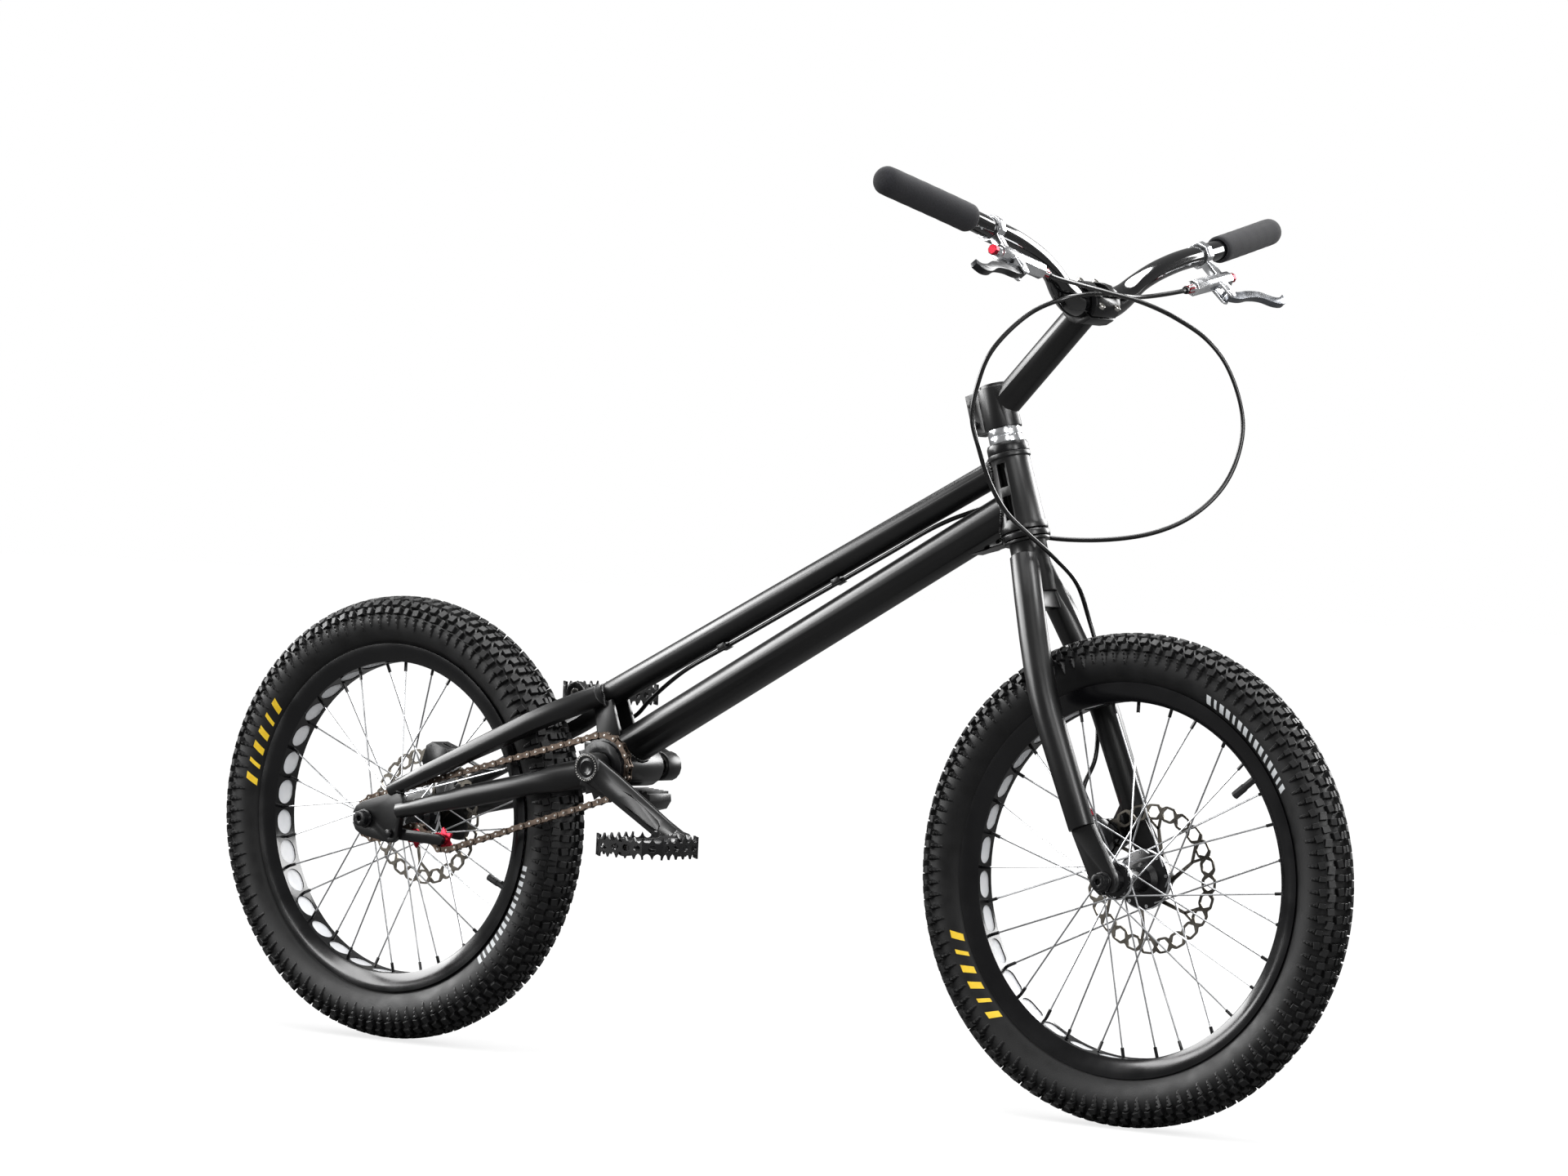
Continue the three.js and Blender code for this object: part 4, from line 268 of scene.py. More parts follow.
def between(material, value, low, high):
    """A number that goes from low to high as the noise rises."""
    settings = {"From Min": NOISE_LOW, "From Max": NOISE_HIGH, "To Min": low, "To Max": high}
    return add_node(material, "ShaderNodeMapRange", settings, {"Value": value}).outputs["Result"]


def finish(name, low, high, roughness, grain, bump=0.0, bump_grain=None, **shader):
    """A finish whose colour and roughness drift over grain, with a relief of bump; sizes in metres."""
    material = bpy.data.materials.new(name)
    material.use_nodes = True
    surface = material.node_tree.nodes["Principled BSDF"]
    for key, value in shader.items():
        surface.inputs[key.replace("_", " ")].default_value = value
    place = add_node(material, "ShaderNodeTexCoord").outputs["Object"]
    noise = add_node(material, "ShaderNodeTexNoise", {"Scale": 1 / grain, "Detail": DRIFT_DETAIL},
                     {"Vector": place})
    drift = noise.outputs["Fac"]
    link = material.node_tree.links.new
    link(ramp(material, drift, linear(low), linear(high)), surface.inputs["Base Color"])
    link(between(material, drift, *roughness), surface.inputs["Roughness"])
    if bump:
        pattern = {"Scale": 1 / (bump_grain or grain), "Detail": RELIEF_DETAIL}
        fine = add_node(material, "ShaderNodeTexNoise", pattern, {"Vector": place})
        relief = add_node(material, "ShaderNodeBump", {"Strength": 1.0, "Distance": bump},
                          {"Height": fine.outputs["Fac"]})
        link(relief.outputs["Normal"], surface.inputs["Normal"])
    return material


print("noise between", NOISE_LOW, "and", NOISE_HIGH, "is spread over each finish")

# %% [markdown]
# ## Black finishes
# Most of the bike is black, and only the sheen tells its parts apart. Each could be one material with a
# different roughness, but separate ones let each be named and tuned for how it was made.

# %% The black finishes
# Powder coat flows into a smooth satin skin, which spreads a lamp into a broad soft band.
powder_coat = finish("powder_coat_satin_black", "09090a", "0e0e0f", (0.3, 0.38), 60 * MM,
                     Specular_IOR_Level=0.42)
# Gloss paint under clear lacquer shows each lamp as a sharp stripe.
gloss_paint = finish("gloss_black_paint", "08080a", "0c0c0e", (0.06, 0.11), 45 * MM, Coat_Weight=0.6,
                     Coat_Roughness=0.04)
# Black anodising over fine machining keeps the metal's tighter sheen.
anodised = finish("black_anodised_aluminium", "0a0a0c", "0f0f11", (0.24, 0.34), 20 * MM,
                  Specular_IOR_Level=0.36)
# The rims were polished before they were anodised, so their edges draw thin bright lines.
rim_black = finish("polished_black_anodised_rim", "08080a", "0d0d0f", (0.14, 0.22), 30 * MM,
                   Specular_IOR_Level=0.4)
print("black finishes:", [made.name for made in (powder_coat, gloss_paint, anodised, rim_black)])

# %% [markdown]
# ## Bright metals
# A metal takes its colour from its reflections, so each is made metallic with the grey or tint of the real
# one, and its roughness says whether it was polished, plated or drawn.

# %% The bright metals
# Polished aluminium is nearly a mirror, with a few soft marks of the mop.
polished = finish("polished_aluminium", "dcdee1", "ebecee", (0.14, 0.26), 12 * MM, Metallic=1.0)
# Nickel plate on steel is warmer and a little duller.
plated = finish("nickel_plated_steel", "a8a6a2", "c3c1bd", (0.18, 0.34), 9 * MM, Metallic=1.0)
# Stainless wire is drawn through a die, which leaves it bright but not clear.
drawn_wire = finish("drawn_stainless_wire", "a4a5a7", "bcbdbf", (0.28, 0.4), 15 * MM, Metallic=1.0)
# A sintered pad is pressed metal powder, brown and matt.
pad_steel = finish("sintered_pad", "6c5a4c", "83705f", (0.6, 0.8), 3 * MM, Metallic=0.3)
# The chain is bronze-coloured steel under oil, uneven from plate to plate.
oiled_steel = finish("oiled_bronze_steel", "3a312b", "61544a", (0.26, 0.48), 5 * MM, Metallic=0.9,
                     bump=0.03 * MM, bump_grain=1.5 * MM)
# Red dye in the anodised skin lets the metal glow through.
red_anodised = finish("red_anodised_aluminium", "8c0c20", "b31a30", (0.2, 0.32), 9 * MM, Metallic=0.75)
print("metals:", [made.name for made in (polished, plated, drawn_wire, pad_steel, oiled_steel, red_anodised)])

# %% [markdown]
# ## Rubber, foam, nylon and print
# The soft and moulded parts reflect little. Foam needs a relief of open cells, drawn about twice as coarse
# as real ones so that it shows, while moulded nylon and printing ink need none.

# %% The soft and moulded finishes
# Hose nylon is extruded and smooth, with a thin line of light along it.
hose_skin = finish("moulded_nylon_hose", "09090a", "0f0f10", (0.22, 0.34), 30 * MM)
# Foam swallows light, and its cells leave only a dull grain.
foam = finish("closed_cell_foam", "1f1f22", "2e2e32", (0.85, 1.0), 1.6 * MM, bump=0.25 * MM,
              bump_grain=1.1 * MM, Specular_IOR_Level=0.2, Sheen_Weight=0.1, Sheen_Roughness=0.5)
# Butyl rubber is a shade lighter than the tyres.
valve_rubber = finish("moulded_butyl", "1a1a1c", "232326", (0.55, 0.7), 6 * MM)
# Rim tape is woven nylon, white and flat.
tape_nylon = finish("white_rim_tape", "e4e6ea", "f2f3f5", (0.5, 0.65), 25 * MM)
# Printed ink lies flat on the rubber with an even, silky surface.
print_yellow = finish("yellow_print", "f6c80e", "ffda2a", (0.5, 0.62), 8 * MM)
print_white = finish("white_print", "dfe3e6", "eceff1", (0.5, 0.62), 8 * MM)
print("soft finishes:", [made.name for made in (hose_skin, foam, valve_rubber, tape_nylon, print_yellow)])

# %% [markdown]
# ## Tyre rubber and brushed steel
# Tyre rubber is moulded and dusty matt, a touch lighter where it was handled, and carries fine tool marks.
# Brushed steel for the rotors has rings of brushing round the axle, so each rotor gets its own copy of the
# material with the rings centred on its own axle. Real brushing is finer, and 0.8 mm is what still shows.

# %% Rubber and brushed steel
BRUSHING = 0.8 * MM
BRUSH_DEPTH = 0.05 * MM


def tyre_rubber(name):
    """Moulded rubber with the fine tool marks of its mould."""
    return finish(name, "0c0c0d", "151516", (0.42, 0.6), 22 * MM, bump=0.12 * MM, bump_grain=1.4 * MM,
                  Specular_IOR_Level=0.3)


def brushed(name, centre, low, high):
    """Steel with rings of brushing about an axle at centre."""
    material = finish(name, low, high, (0.24, 0.4), 14 * MM, Metallic=1.0)
    surface = material.node_tree.nodes["Principled BSDF"]
    place = add_node(material, "ShaderNodeTexCoord").outputs["Object"]
    centred = add_node(material, "ShaderNodeMapping", {"Location": -centre}, {"Vector": place})
    flat = add_node(material, "ShaderNodeVectorMath", {"operation": "MULTIPLY"},
                    {0: centred.outputs["Vector"]})
    flat.inputs[1].default_value = (1, 0, 1)
    distance = add_node(material, "ShaderNodeVectorMath", {"operation": "LENGTH"},
                        {0: flat.outputs["Vector"]})
    rings = add_node(material, "ShaderNodeTexNoise", {"noise_dimensions": "1D", "Scale": 1 / BRUSHING},
                     {"W": distance.outputs["Value"]})
    relief = add_node(material, "ShaderNodeBump", {"Strength": 0.6, "Distance": BRUSH_DEPTH},
                      {"Height": rings.outputs["Fac"]})
    material.node_tree.links.new(relief.outputs["Normal"], surface.inputs["Normal"])
    return material


print("brushing:", round(BRUSHING / MM, 2), "mm from ring to ring")

# %% [markdown]
# ## The studio
# A white sweep with soft light from all round: the camera sees the floor and the background as one white.
# A white room would turn black metal grey, so shiny parts see a dim room and a dark floor instead, and a
# few bright boxes that show only in reflections draw the highlights.

# %% The floor
FLOOR_SIZE = 60.0
FLOOR_SHADOW = 0.3
FLOOR_GLOW = 1.1
FLOOR_BOUNCE = 0.2
FLOOR_WHITE = 0.9


def white_floor():
    """White to the camera, greyer to every other ray, so that black metal keeps its dark undersides."""
    material = bpy.data.materials.new("white_floor")
    material.use_nodes = True
    surface = material.node_tree.nodes["Principled BSDF"]
    surface.inputs["Roughness"].default_value = 1.0
    surface.inputs["Specular IOR Level"].default_value = 0.0
    glow = add_node(material, "ShaderNodeEmission", {"Color": (1, 1, 1, 1), "Strength": FLOOR_GLOW})
    ray = add_node(material, "ShaderNodeLightPath")
    seen = ray.outputs["Is Camera Ray"]
    white = add_node(material, "ShaderNodeMapRange", {"To Min": FLOOR_BOUNCE, "To Max": FLOOR_WHITE},
                     {"Value": seen})
    material.node_tree.links.new(white.outputs["Result"], surface.inputs["Base Color"])
    share = add_node(material, "ShaderNodeMath", {"operation": "MULTIPLY"}, {0: seen})
    share.inputs[1].default_value = 1 - FLOOR_SHADOW
    mix = add_node(material, "ShaderNodeMixShader", links={
        0: share.outputs["Value"], 1: surface.outputs["BSDF"], 2: glow.outputs["Emission"],
    })
    out = material.node_tree.nodes["Material Output"]
    material.node_tree.links.new(mix.outputs["Shader"], out.inputs["Surface"])
    return material


nothing_selected()
bpy.ops.mesh.primitive_plane_add(size=FLOOR_SIZE)
floor = bpy.context.object
floor.name = "floor"
floor.data.materials.append(white_floor())
print("floor:", FLOOR_SIZE, "m wide")

# %% The background
WORLD_LIGHT = 1.0
WORLD_SHINE = 0.26

world = bpy.data.worlds.new("studio")
world.use_nodes = True
bpy.context.scene.world = world
ray = add_node(world, "ShaderNodeLightPath")
shiny = add_node(world, "ShaderNodeMapRange", {"To Min": WORLD_LIGHT, "To Max": WORLD_SHINE},
                 {"Value": ray.outputs["Is Glossy Ray"]})
strength = add_node(world, "ShaderNodeMath", {"operation": "MAXIMUM"}, {
    0: ray.outputs["Is Camera Ray"], 1: shiny.outputs["Result"],
})
background = world.node_tree.nodes["Background"]
background.inputs["Color"].default_value = (1, 1, 1, 1)
world.node_tree.links.new(strength.outputs["Value"], background.inputs["Strength"])
print("background:", WORLD_LIGHT, "for light,", WORLD_SHINE, "in reflections")


# %% The lamps
def softbox(name, place, target, size, power, shine_only):
    """A lamp that faces its target; one that is only for shine lights nothing and shows in reflections."""
    data = bpy.data.lights.new(name, "AREA")
    data.shape = "RECTANGLE"
    data.size, data.size_y = size
    data.energy = power
    lamp = bpy.data.objects.new(name, data)
    lamp.location = place
    lamp.rotation_euler = (Vector(target) - Vector(place)).to_track_quat("-Z", "Y").to_euler()
    lamp.visible_diffuse = not shine_only
    lamp.visible_camera = False
    bpy.context.scene.collection.objects.link(lamp)
    return lamp


# Each lamp has a name, a place, the point it faces, its size, its power and whether it only makes shine.
LAMPS = [
    ("overhead", (0.2, -0.6, 3.2), (0, 0, 0.5), (2.4, 2.4), 55, False),
    ("key", (2.6, -2.4, 2.0), (0, 0, 0.5), (1.2, 1.6), 30, False),
    ("tail_box", (-2.8, -0.7, 1.6), (0, 0, 0.5), (2.3, 1.3), 150, True),
    ("back_box", (0.9, 3.0, 1.7), (0, 0, 0.55), (2.2, 1.4), 130, True),
    ("top_strip", (0.1, 0.6, 2.6), (0.1, 0, 0.5), (3.6, 0.6), 120, True),
    ("left_strip", (-2.4, -2.6, 1.5), (0, 0, 0.6), (0.7, 2.2), 75, True),
    ("right_strip", (3.0, -0.6, 1.2), (0, 0, 0.6), (0.5, 2.0), 60, True),
]
for name, place, target, size, power, shine_only in LAMPS:
    softbox(name, place, target, size, power, shine_only)
print("lamps:", len(LAMPS))

# %% [markdown]
# ## The frame's tubes
# The tubes, the stem and the fork already have the right shape as solids. What they lack is the eased edge
# that every real part has, which is what catches the light. So each is copied, its flat faces are merged
# back from triangles, its sharp edges get a small bevel, and the copy stands in for the solid.

# %% A copy of a solid with its edges eased
FLAT_ANGLE = math.radians(1)
SHARP_ANGLE = math.radians(40)


def body_of(node):
    """The name of the body that a node rides."""
    return nodes[node]["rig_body"]


def eased(node, material, slot, width=0.5, degrees=35):
    """Stands a copy with eased edges, width in millimetres, in the solid's place."""
    piece = nodes[node].copy()
    piece.data = nodes[node].data.copy()
    piece.parent = None
    for key in [key for key in piece.keys() if key.startswith("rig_")]:
        del piece[key]
    bpy.context.scene.collection.objects.link(piece)
    tidied(piece)
    bpy.ops.object.mode_set(mode="EDIT")
    bpy.ops.mesh.select_all(action="SELECT")
    bpy.ops.mesh.dissolve_limited(angle_limit=FLAT_ANGLE)
    bpy.ops.object.mode_set(mode="OBJECT")
    modified(piece, "BEVEL", width=width * MM, segments=2, limit_method="ANGLE", angle_limit=SHARP_ANGLE,
             use_clamp_overlap=False)
    return finished(piece, node + "_eased", body_of(node), material, slot, [node], degrees)


print("the fork rides", body_of("fork"), "and the chain rides", body_of("chain"))

# %% Ease the frame, the fork and the stem
PAINTED = [
    "head_tube", "top_tube", "down_tube", "seat_tube", "chain_stay_right", "chain_stay_left",
    "seat_stay_right", "seat_stay_left", "bottom_bracket_shell", "fork", "stem",
]
ANODISED = [
    "headset_cup_lower", "headset_cup_upper", "stem_faceplate", "front_caliper", "rear_caliper", "rear_axle",
    "front_axle",
]
for node in PAINTED:
    eased(node, powder_coat, "satin_black_paint")
for node in ANODISED:
    eased(node, anodised, "black_anodised", 0.4)
eased("headset_spacers", polished, "polished_alloy", 0.2)
print("eased solids:", len(PAINTED) + len(ANODISED) + 1)

# %% Give every other solid its finish
SLOT_FINISHES = {
    "satin_black_paint": powder_coat, "gloss_black_bar": gloss_paint, "black_anodised": anodised,
    "tyre_rubber": valve_rubber, "valve_rubber": valve_rubber, "foam": foam, "polished_alloy": polished,
    "stainless": drawn_wire, "rotor_steel": plated, "chain_bronze": oiled_steel,
    "red_anodised": red_anodised, "hose_black": hose_skin,
}
for node in nodes.values():
    slot = node.data.materials[0].name.split(".")[0]
    node.data.materials[0] = SLOT_FINISHES.get(slot, anodised)
for end in ("front", "rear"):
    for face in ("outer", "inner"):
        nodes[f"{end}_brake_pad_{face}"].data.materials[0] = pad_steel
print("solids with a finish:", len(nodes))

# %% [markdown]
# ## The tyres
# A trials tyre has a round carcass, square blocks over the crown and long fingers down its shoulders. The
# carcass is a section spun about the axle. The tread could be cut from a thicker carcass, but it is simpler
# to lay one pitch of blocks flat, wrap it onto the section, and repeat it round the wheel.


# %% A smooth line through points
def line_through(points, steps, power=0.5, closed=False):
    """Points on a Catmull-Rom spline: power 0.5 is centripetal, 1 is chordal."""
    knots = [Vector(p) for p in points]
    if closed:
        knots = [knots[-1]] + knots + knots[:2]
    else:
        knots = [2 * knots[0] - knots[1]] + knots + [2 * knots[-1] - knots[-2]]
    spans = len(knots) - 3
    made = []
    for step in range(steps + 1):
        place = min(step / steps * spans, spans - 1e-9)
        i = int(place)
        t = place - i
        a, b, c, d = knots[i:i + 4]
        before, here, after = ((q - p).length ** power for p, q in ((a, b), (b, c), (c, d)))
        start = ((b - a) / before - (c - a) / (before + here) + (c - b) / here) * here
        end = ((c - b) / here - (d - b) / (here + after) + (d - c) / after) * here
        squared = 3 * (c - b) - 2 * start - end
        cubed = 2 * (b - c) + start + end
        made.append(b + start * t + squared * t ** 2 + cubed * t ** 3)
    return made


def length_of(line):
    """The length of a line of points."""
    return sum((b - a).length for a, b in zip(line, line[1:]))


rounded_corner = line_through([(0, 0, 0), (1, 0, 0), (1, 1, 0)], 24)
print("a line rounded over a corner of 2 m:", round(length_of(rounded_corner), 3), "m")

# %% A section spun about an axle, and a skin over a grid
def spun(section, centre, steps=96, angle=TURN):
    """A closed section of (radius, y) pairs in millimetres, spun about the Y axis through centre."""
    nothing_selected()
    bpy.ops.mesh.primitive_circle_add(vertices=len(section))
    piece = bpy.context.object
    for vertex, (radius, y) in zip(piece.data.vertices, section):
        vertex.co = Vector((radius, y, 0)) * MM
    only(piece)
    bpy.ops.object.mode_set(mode="EDIT")
    bpy.ops.mesh.select_all(action="SELECT")
    bpy.ops.mesh.spin(steps=steps, angle=angle, center=(0, 0, 0), axis=(0, 1, 0))
    bpy.ops.object.mode_set(mode="OBJECT")
    tidied(piece, 0.002 * MM)
    return moved(piece, Matrix.Translation(centre))


def grid_skin(rows, columns, place):
    """A grid whose points are put at place(row share, column share)."""
    nothing_selected()
    bpy.ops.mesh.primitive_grid_add(x_subdivisions=columns, y_subdivisions=rows, size=2)
    piece = bpy.context.object
    for vertex in piece.data.vertices:
        x, y, _ = vertex.co
        vertex.co = place((y + 1) / 2, (x + 1) / 2)
    return piece


# %% The tyre sections
# Each section is half of a tyre: shares of the half width, and of the height above the rim's flange.
CARCASS = [
    (0, 0.885), (0.24, 0.878), (0.47, 0.850), (0.68, 0.790), (0.86, 0.690), (0.955, 0.575), (0.985, 0.45),
    (0.94, 0.30), (0.82, 0.15), (0.68, 0.05), (0.59, 0),
]
WALL = 3.0
WHEEL_STEPS = 128
TYRES = {
    "front": {"centre": FRONT_AXLE, "flange": 209.3, "outside": 262.0, "half": 26.0, "pitches": 56},
    "rear": {"centre": REAR_AXLE, "flange": 203.3, "outside": 260.0, "half": 32.0, "pitches": 54},
}


def carcass_line(tyre, steps=60):
    """The outer line of half a section, from crown to bead, as (radius, y) pairs in millimetres."""
    rise = tyre["outside"] - tyre["flange"]
    points = [(tyre["flange"] + share * rise, wide * tyre["half"], 0) for wide, share in CARCASS]
    line = [(p.x, p.y) for p in line_through(points, steps)]
    print("carcass from radius", round(line[0][0], 1), "to", round(line[-1][0], 1), "mm")
    return line


print("tyres across:", [2 * tyre["outside"] for tyre in TYRES.values()], "mm")

# %% Lay things onto a carcass
def on_carcass(line, along, height):
    """The (radius, y) a distance along the line from the crown, raised by height; along may be negative."""
    left = abs(along)
    side = -1 if along < 0 else 1
    for (r0, y0), (r1, y1) in zip(line, line[1:]):
        span = math.hypot(r1 - r0, y1 - y0)
        if left <= span or (r1, y1) == line[-1]:
            share = left / span
            radius = r0 + (r1 - r0) * share + (y1 - y0) / span * height
            y = y0 + (y1 - y0) * share - (r1 - r0) / span * height
            return radius, side * y
        left -= span


def wrapped(piece, tyre, line, turn_by=0.0):
    """Wraps a flat piece, x round the wheel and y across, in millimetres, onto the carcass."""
    for vertex in piece.data.vertices:
        radius, y = on_carcass(line, vertex.co.y, vertex.co.z)
        angle = vertex.co.x / tyre["outside"] + turn_by
        vertex.co = Vector((radius * math.cos(angle), y, radius * math.sin(angle))) * MM
    return tidied(piece, 0.001 * MM)


crown_line = carcass_line(TYRES["front"])
print("20 mm from the crown:", [round(value, 1) for value in on_carcass(crown_line, 20, 0)])

# %% Model a tread block
BLOCK_SINK = 1.5
BLOCK_EASE = 0.35


def block(x, y, long, wide, tall, twist, top=0.86):
    """A tread block, lying flat in millimetres, whose top is a smaller share of its foot."""
    nothing_selected()
    bpy.ops.mesh.primitive_cube_add(size=1)
    piece = bpy.context.object
    for vertex in piece.data.vertices:
        high = vertex.co.z > 0
        share = top if high else 1
        along, across = vertex.co.x * long * share, vertex.co.y * wide * share
        vertex.co = Vector((
            x + along * math.cos(twist) - across * math.sin(twist),
            y + along * math.sin(twist) + across * math.cos(twist), tall if high else -BLOCK_SINK,
        ))
    return modified(piece, "BEVEL", width=BLOCK_EASE, segments=1, limit_method="NONE")


print("blocks sink", BLOCK_SINK, "mm into the carcass")

# %% Model a shoulder finger and a mould hair
# The finger's heights, from the tread to its tail, as shares of its full height. The dips are its notches.
FINGER_HEIGHTS = [1.25, 1.25, 0.62, 0.85, 0.78, 0.4, 0.5, 0.34, 0.12, -0.2]
FINGER_TAPER = 0.6
FINGER_FOOT = -0.6
# Its ridge is narrower than its foot, as shares of its length round the wheel.
RIDGE_SHARE, FOOT_SHARE = 0.8, 1.1


def finger(x, start, end, long, tall):
    """A long rib that runs down the shoulder and dies away, notched twice on its way."""
    nothing_selected()
    last = len(FINGER_HEIGHTS) - 1
    bpy.ops.mesh.primitive_grid_add(x_subdivisions=3, y_subdivisions=last, size=2)
    piece = bpy.context.object
    for vertex in piece.data.vertices:
        row = round((vertex.co.y + 1) / 2 * last)
        on_ridge = abs(vertex.co.x) < 0.5
        height = tall * FINGER_HEIGHTS[row] * (1 if on_ridge else FINGER_FOOT)
        half = long * (1 - FINGER_TAPER * row / last) / 2 * (RIDGE_SHARE if on_ridge else FOOT_SHARE)
        vertex.co = Vector((x + vertex.co.x * half, start + (end - start) * row / last, height))
    return piece


WHISKER_ROOT, WHISKER_TIP = 0.45, 0.12
WHISKER_HEIGHT = 4.6
WHISKER_LEAN = 1.15


def whisker(x, y, side, long):
    """The thin rubber hair that a vent in the mould leaves on a shoulder block."""
    nothing_selected()
    bpy.ops.mesh.primitive_cone_add(vertices=4, radius1=WHISKER_ROOT, radius2=WHISKER_TIP, depth=long)
    place = Matrix.Translation((x, y, WHISKER_HEIGHT))
    return moved(bpy.context.object, place @ Matrix.Rotation(-side * WHISKER_LEAN, 4, "X"))


print("hairs:", WHISKER_ROOT * 2, "mm thick at the root,", WHISKER_TIP * 2, "at the tip")

# %% Lay out one pitch of the tread
# A pitch has two rows of blocks. Lengths and shifts along the tread are shares of a row's step. Widths and
# distances from the middle are millimetres on the front tyre, and grow with the width of the tyre.
ROWS = [
    {"long": 0.54, "lean": -0.1, "shoulder": 0.9, "finger_end": 42, "hair_at": 30.6, "hair": 3.5},
    {"long": 0.62, "lean": 0.16, "shoulder": 1.1, "finger_end": 45, "hair_at": 31.6, "hair": 5.5},
]
TREAD_TALL, SHOULDER_TALL, SHOULDER_TOP = 5.4, 5.7, 0.8
MIDDLE_SPLIT, MIDDLE_AT, MIDDLE_WIDE = 0.4, 2.7, 4.6
INNER_AT, INNER_WIDE = 10.4, 7.9
OUTER_AT, OUTER_WIDE, OUTER_LONG = 19.4, 7.3, 1.08
SHOULDER_AT, SHOULDER_WIDE = 27.4, 6.4
FINGER_AT, FINGER_LONG, FINGER_TALL = 31.4, 0.62, 3.4
STAGGER, OUTER_SHIFT = 0.25, 0.2


def side_blocks(row, x, step, wider, side):
    """The blocks, the finger and the hair of one row on one side of the middle."""
    long, lean = row["long"] * step, side * row["lean"]
    shift = x + side * STAGGER * step
    edge = shift + OUTER_SHIFT * step
    across = side * wider
    return [
        block(shift + STAGGER * step, across * INNER_AT, long, INNER_WIDE * wider, TREAD_TALL, lean),
        block(shift - OUTER_SHIFT * step, across * OUTER_AT, long * OUTER_LONG, OUTER_WIDE * wider,
              TREAD_TALL, -lean),
        block(edge, across * SHOULDER_AT, long * row["shoulder"], SHOULDER_WIDE * wider, SHOULDER_TALL, lean,
              SHOULDER_TOP),
        finger(edge, across * FINGER_AT, across * row["finger_end"], FINGER_LONG * step, FINGER_TALL),
        whisker(edge, across * row["hair_at"], side, row["hair"]),
    ]


def tread_pitch(tyre, line):
    """The blocks and fingers of one pitch of tread, wrapped onto the carcass."""
    step = TURN * tyre["outside"] / tyre["pitches"] / len(ROWS)
    wider = tyre["half"] / TYRES["front"]["half"]
    pieces = []
    for k, row in enumerate(ROWS):
        x = (k - 0.5) * step
        for part in (-1, 1):
            pieces.append(block(x + part * MIDDLE_SPLIT, part * MIDDLE_AT * wider, row["long"] * step,
                                MIDDLE_WIDE * wider, TREAD_TALL, row["lean"]))
        for side in (-1, 1):
            pieces += side_blocks(row, x, step, wider, side)
    return wrapped(joined(pieces), tyre, line)


print("rows of blocks in a pitch:", len(ROWS))

# %% Make both tyres
LINING_SHARE = 0.9


def make_tyre(name, tyre):
    """A hollow carcass with its tread; gives back the carcass's line."""
    line = carcass_line(tyre)
    centre = tyre["centre"]
    outer = line[::2]
    inner = [(radius - WALL * LINING_SHARE, y * LINING_SHARE) for radius, y in line[::6]]
    outer_back = [(radius, -y) for radius, y in outer[:0:-1]]
    inner_back = [(radius, -y) for radius, y in inner[1:]]
    carcass = spun(outer + inner[::-1] + inner_back + outer_back, centre, WHEEL_STEPS)
    tread = copies(tread_pitch(tyre, line), [
        Matrix.Translation(centre) @ Matrix.Rotation(-TURN * k / tyre["pitches"], 4, "Y")
        for k in range(tyre["pitches"])
    ])
    piece = joined([carcass, tread])
    rubber = tyre_rubber(name + "_tyre_rubber")
    finished(piece, name + "_tyre_tread", name + "_wheel", rubber, "tyre_rubber", [name + "_tyre"], 30)
    print(name, "tyre faces:", len(piece.data.polygons))
    return line


tyre_lines = {name: make_tyre(name, tyre) for name, tyre in TYRES.items()}

# %% [markdown]
# ## The prints on the tyres
# The tyres carry a row of yellow bars on one stretch of sidewall and a row of small white ones on another.
# Each bar is a thin leaf that lies on the rubber, a fifth of a millimetre proud, as pad-printed ink does.

# %% Lay the bars on the sidewalls
INK = 0.2
SHORT_BAR = 0.6


def bar_leaf(x, low, high, long, slant):
    """A flat bar across the sidewall between two distances from the crown, in millimetres."""
    nothing_selected()
    bpy.ops.mesh.primitive_grid_add(x_subdivisions=2, y_subdivisions=6, size=2)
    piece = bpy.context.object
    for vertex in piece.data.vertices:
        share = (vertex.co.y + 1) / 2
        lean = slant * (share - 0.5)
        vertex.co = Vector((x + vertex.co.x * long / 2 + lean, low + (high - low) * share, INK))
    return piece


# Two shares say between which places on the way from crown to bead a row's bars run.
BAR_ROWS = [
    {"name": "front_sidewall_bars", "wheel": "front", "count": 6, "turn": 200, "step": 23,
     "shares": (0.72, 0.92), "long": 10, "slant": 9, "ink": print_yellow},
    {"name": "rear_sidewall_bars", "wheel": "rear", "count": 6, "turn": 146, "step": 23,
     "shares": (0.72, 0.91), "long": 10, "slant": 9, "ink": print_yellow},
    {"name": "front_white_bars", "wheel": "front", "count": 15, "turn": 30, "step": 11,
     "shares": (0.75, 0.92), "long": 7, "slant": -2, "ink": print_white},
    {"name": "rear_white_bars", "wheel": "rear", "count": 15, "turn": -46, "step": 11,
     "shares": (0.75, 0.92), "long": 7, "slant": -2, "ink": print_white},
]


def print_row(row):
    """One row of bars on the right side of a tyre; every third bar is a short one."""
    tyre = TYRES[row["wheel"]]
    line = tyre_lines[row["wheel"]]
    reach = sum(math.dist(p, q) for p, q in zip(line, line[1:]))
    low, high = (-reach * share for share in row["shares"])
    bars = []
    for k in range(row["count"]):
        long = row["long"] * (SHORT_BAR if k % 3 == 1 else 1)
        bars.append(bar_leaf(k * row["step"], low, high, long, row["slant"]))
    piece = wrapped(joined(bars), tyre, line, math.radians(row["turn"]))
    moved(piece, Matrix.Translation(tyre["centre"]))
    finished(piece, row["name"], row["wheel"] + "_wheel", row["ink"], "tyre_rubber", [], 30)


for row in BAR_ROWS:
    print_row(row)
    print(row["name"], "bars:", row["count"])

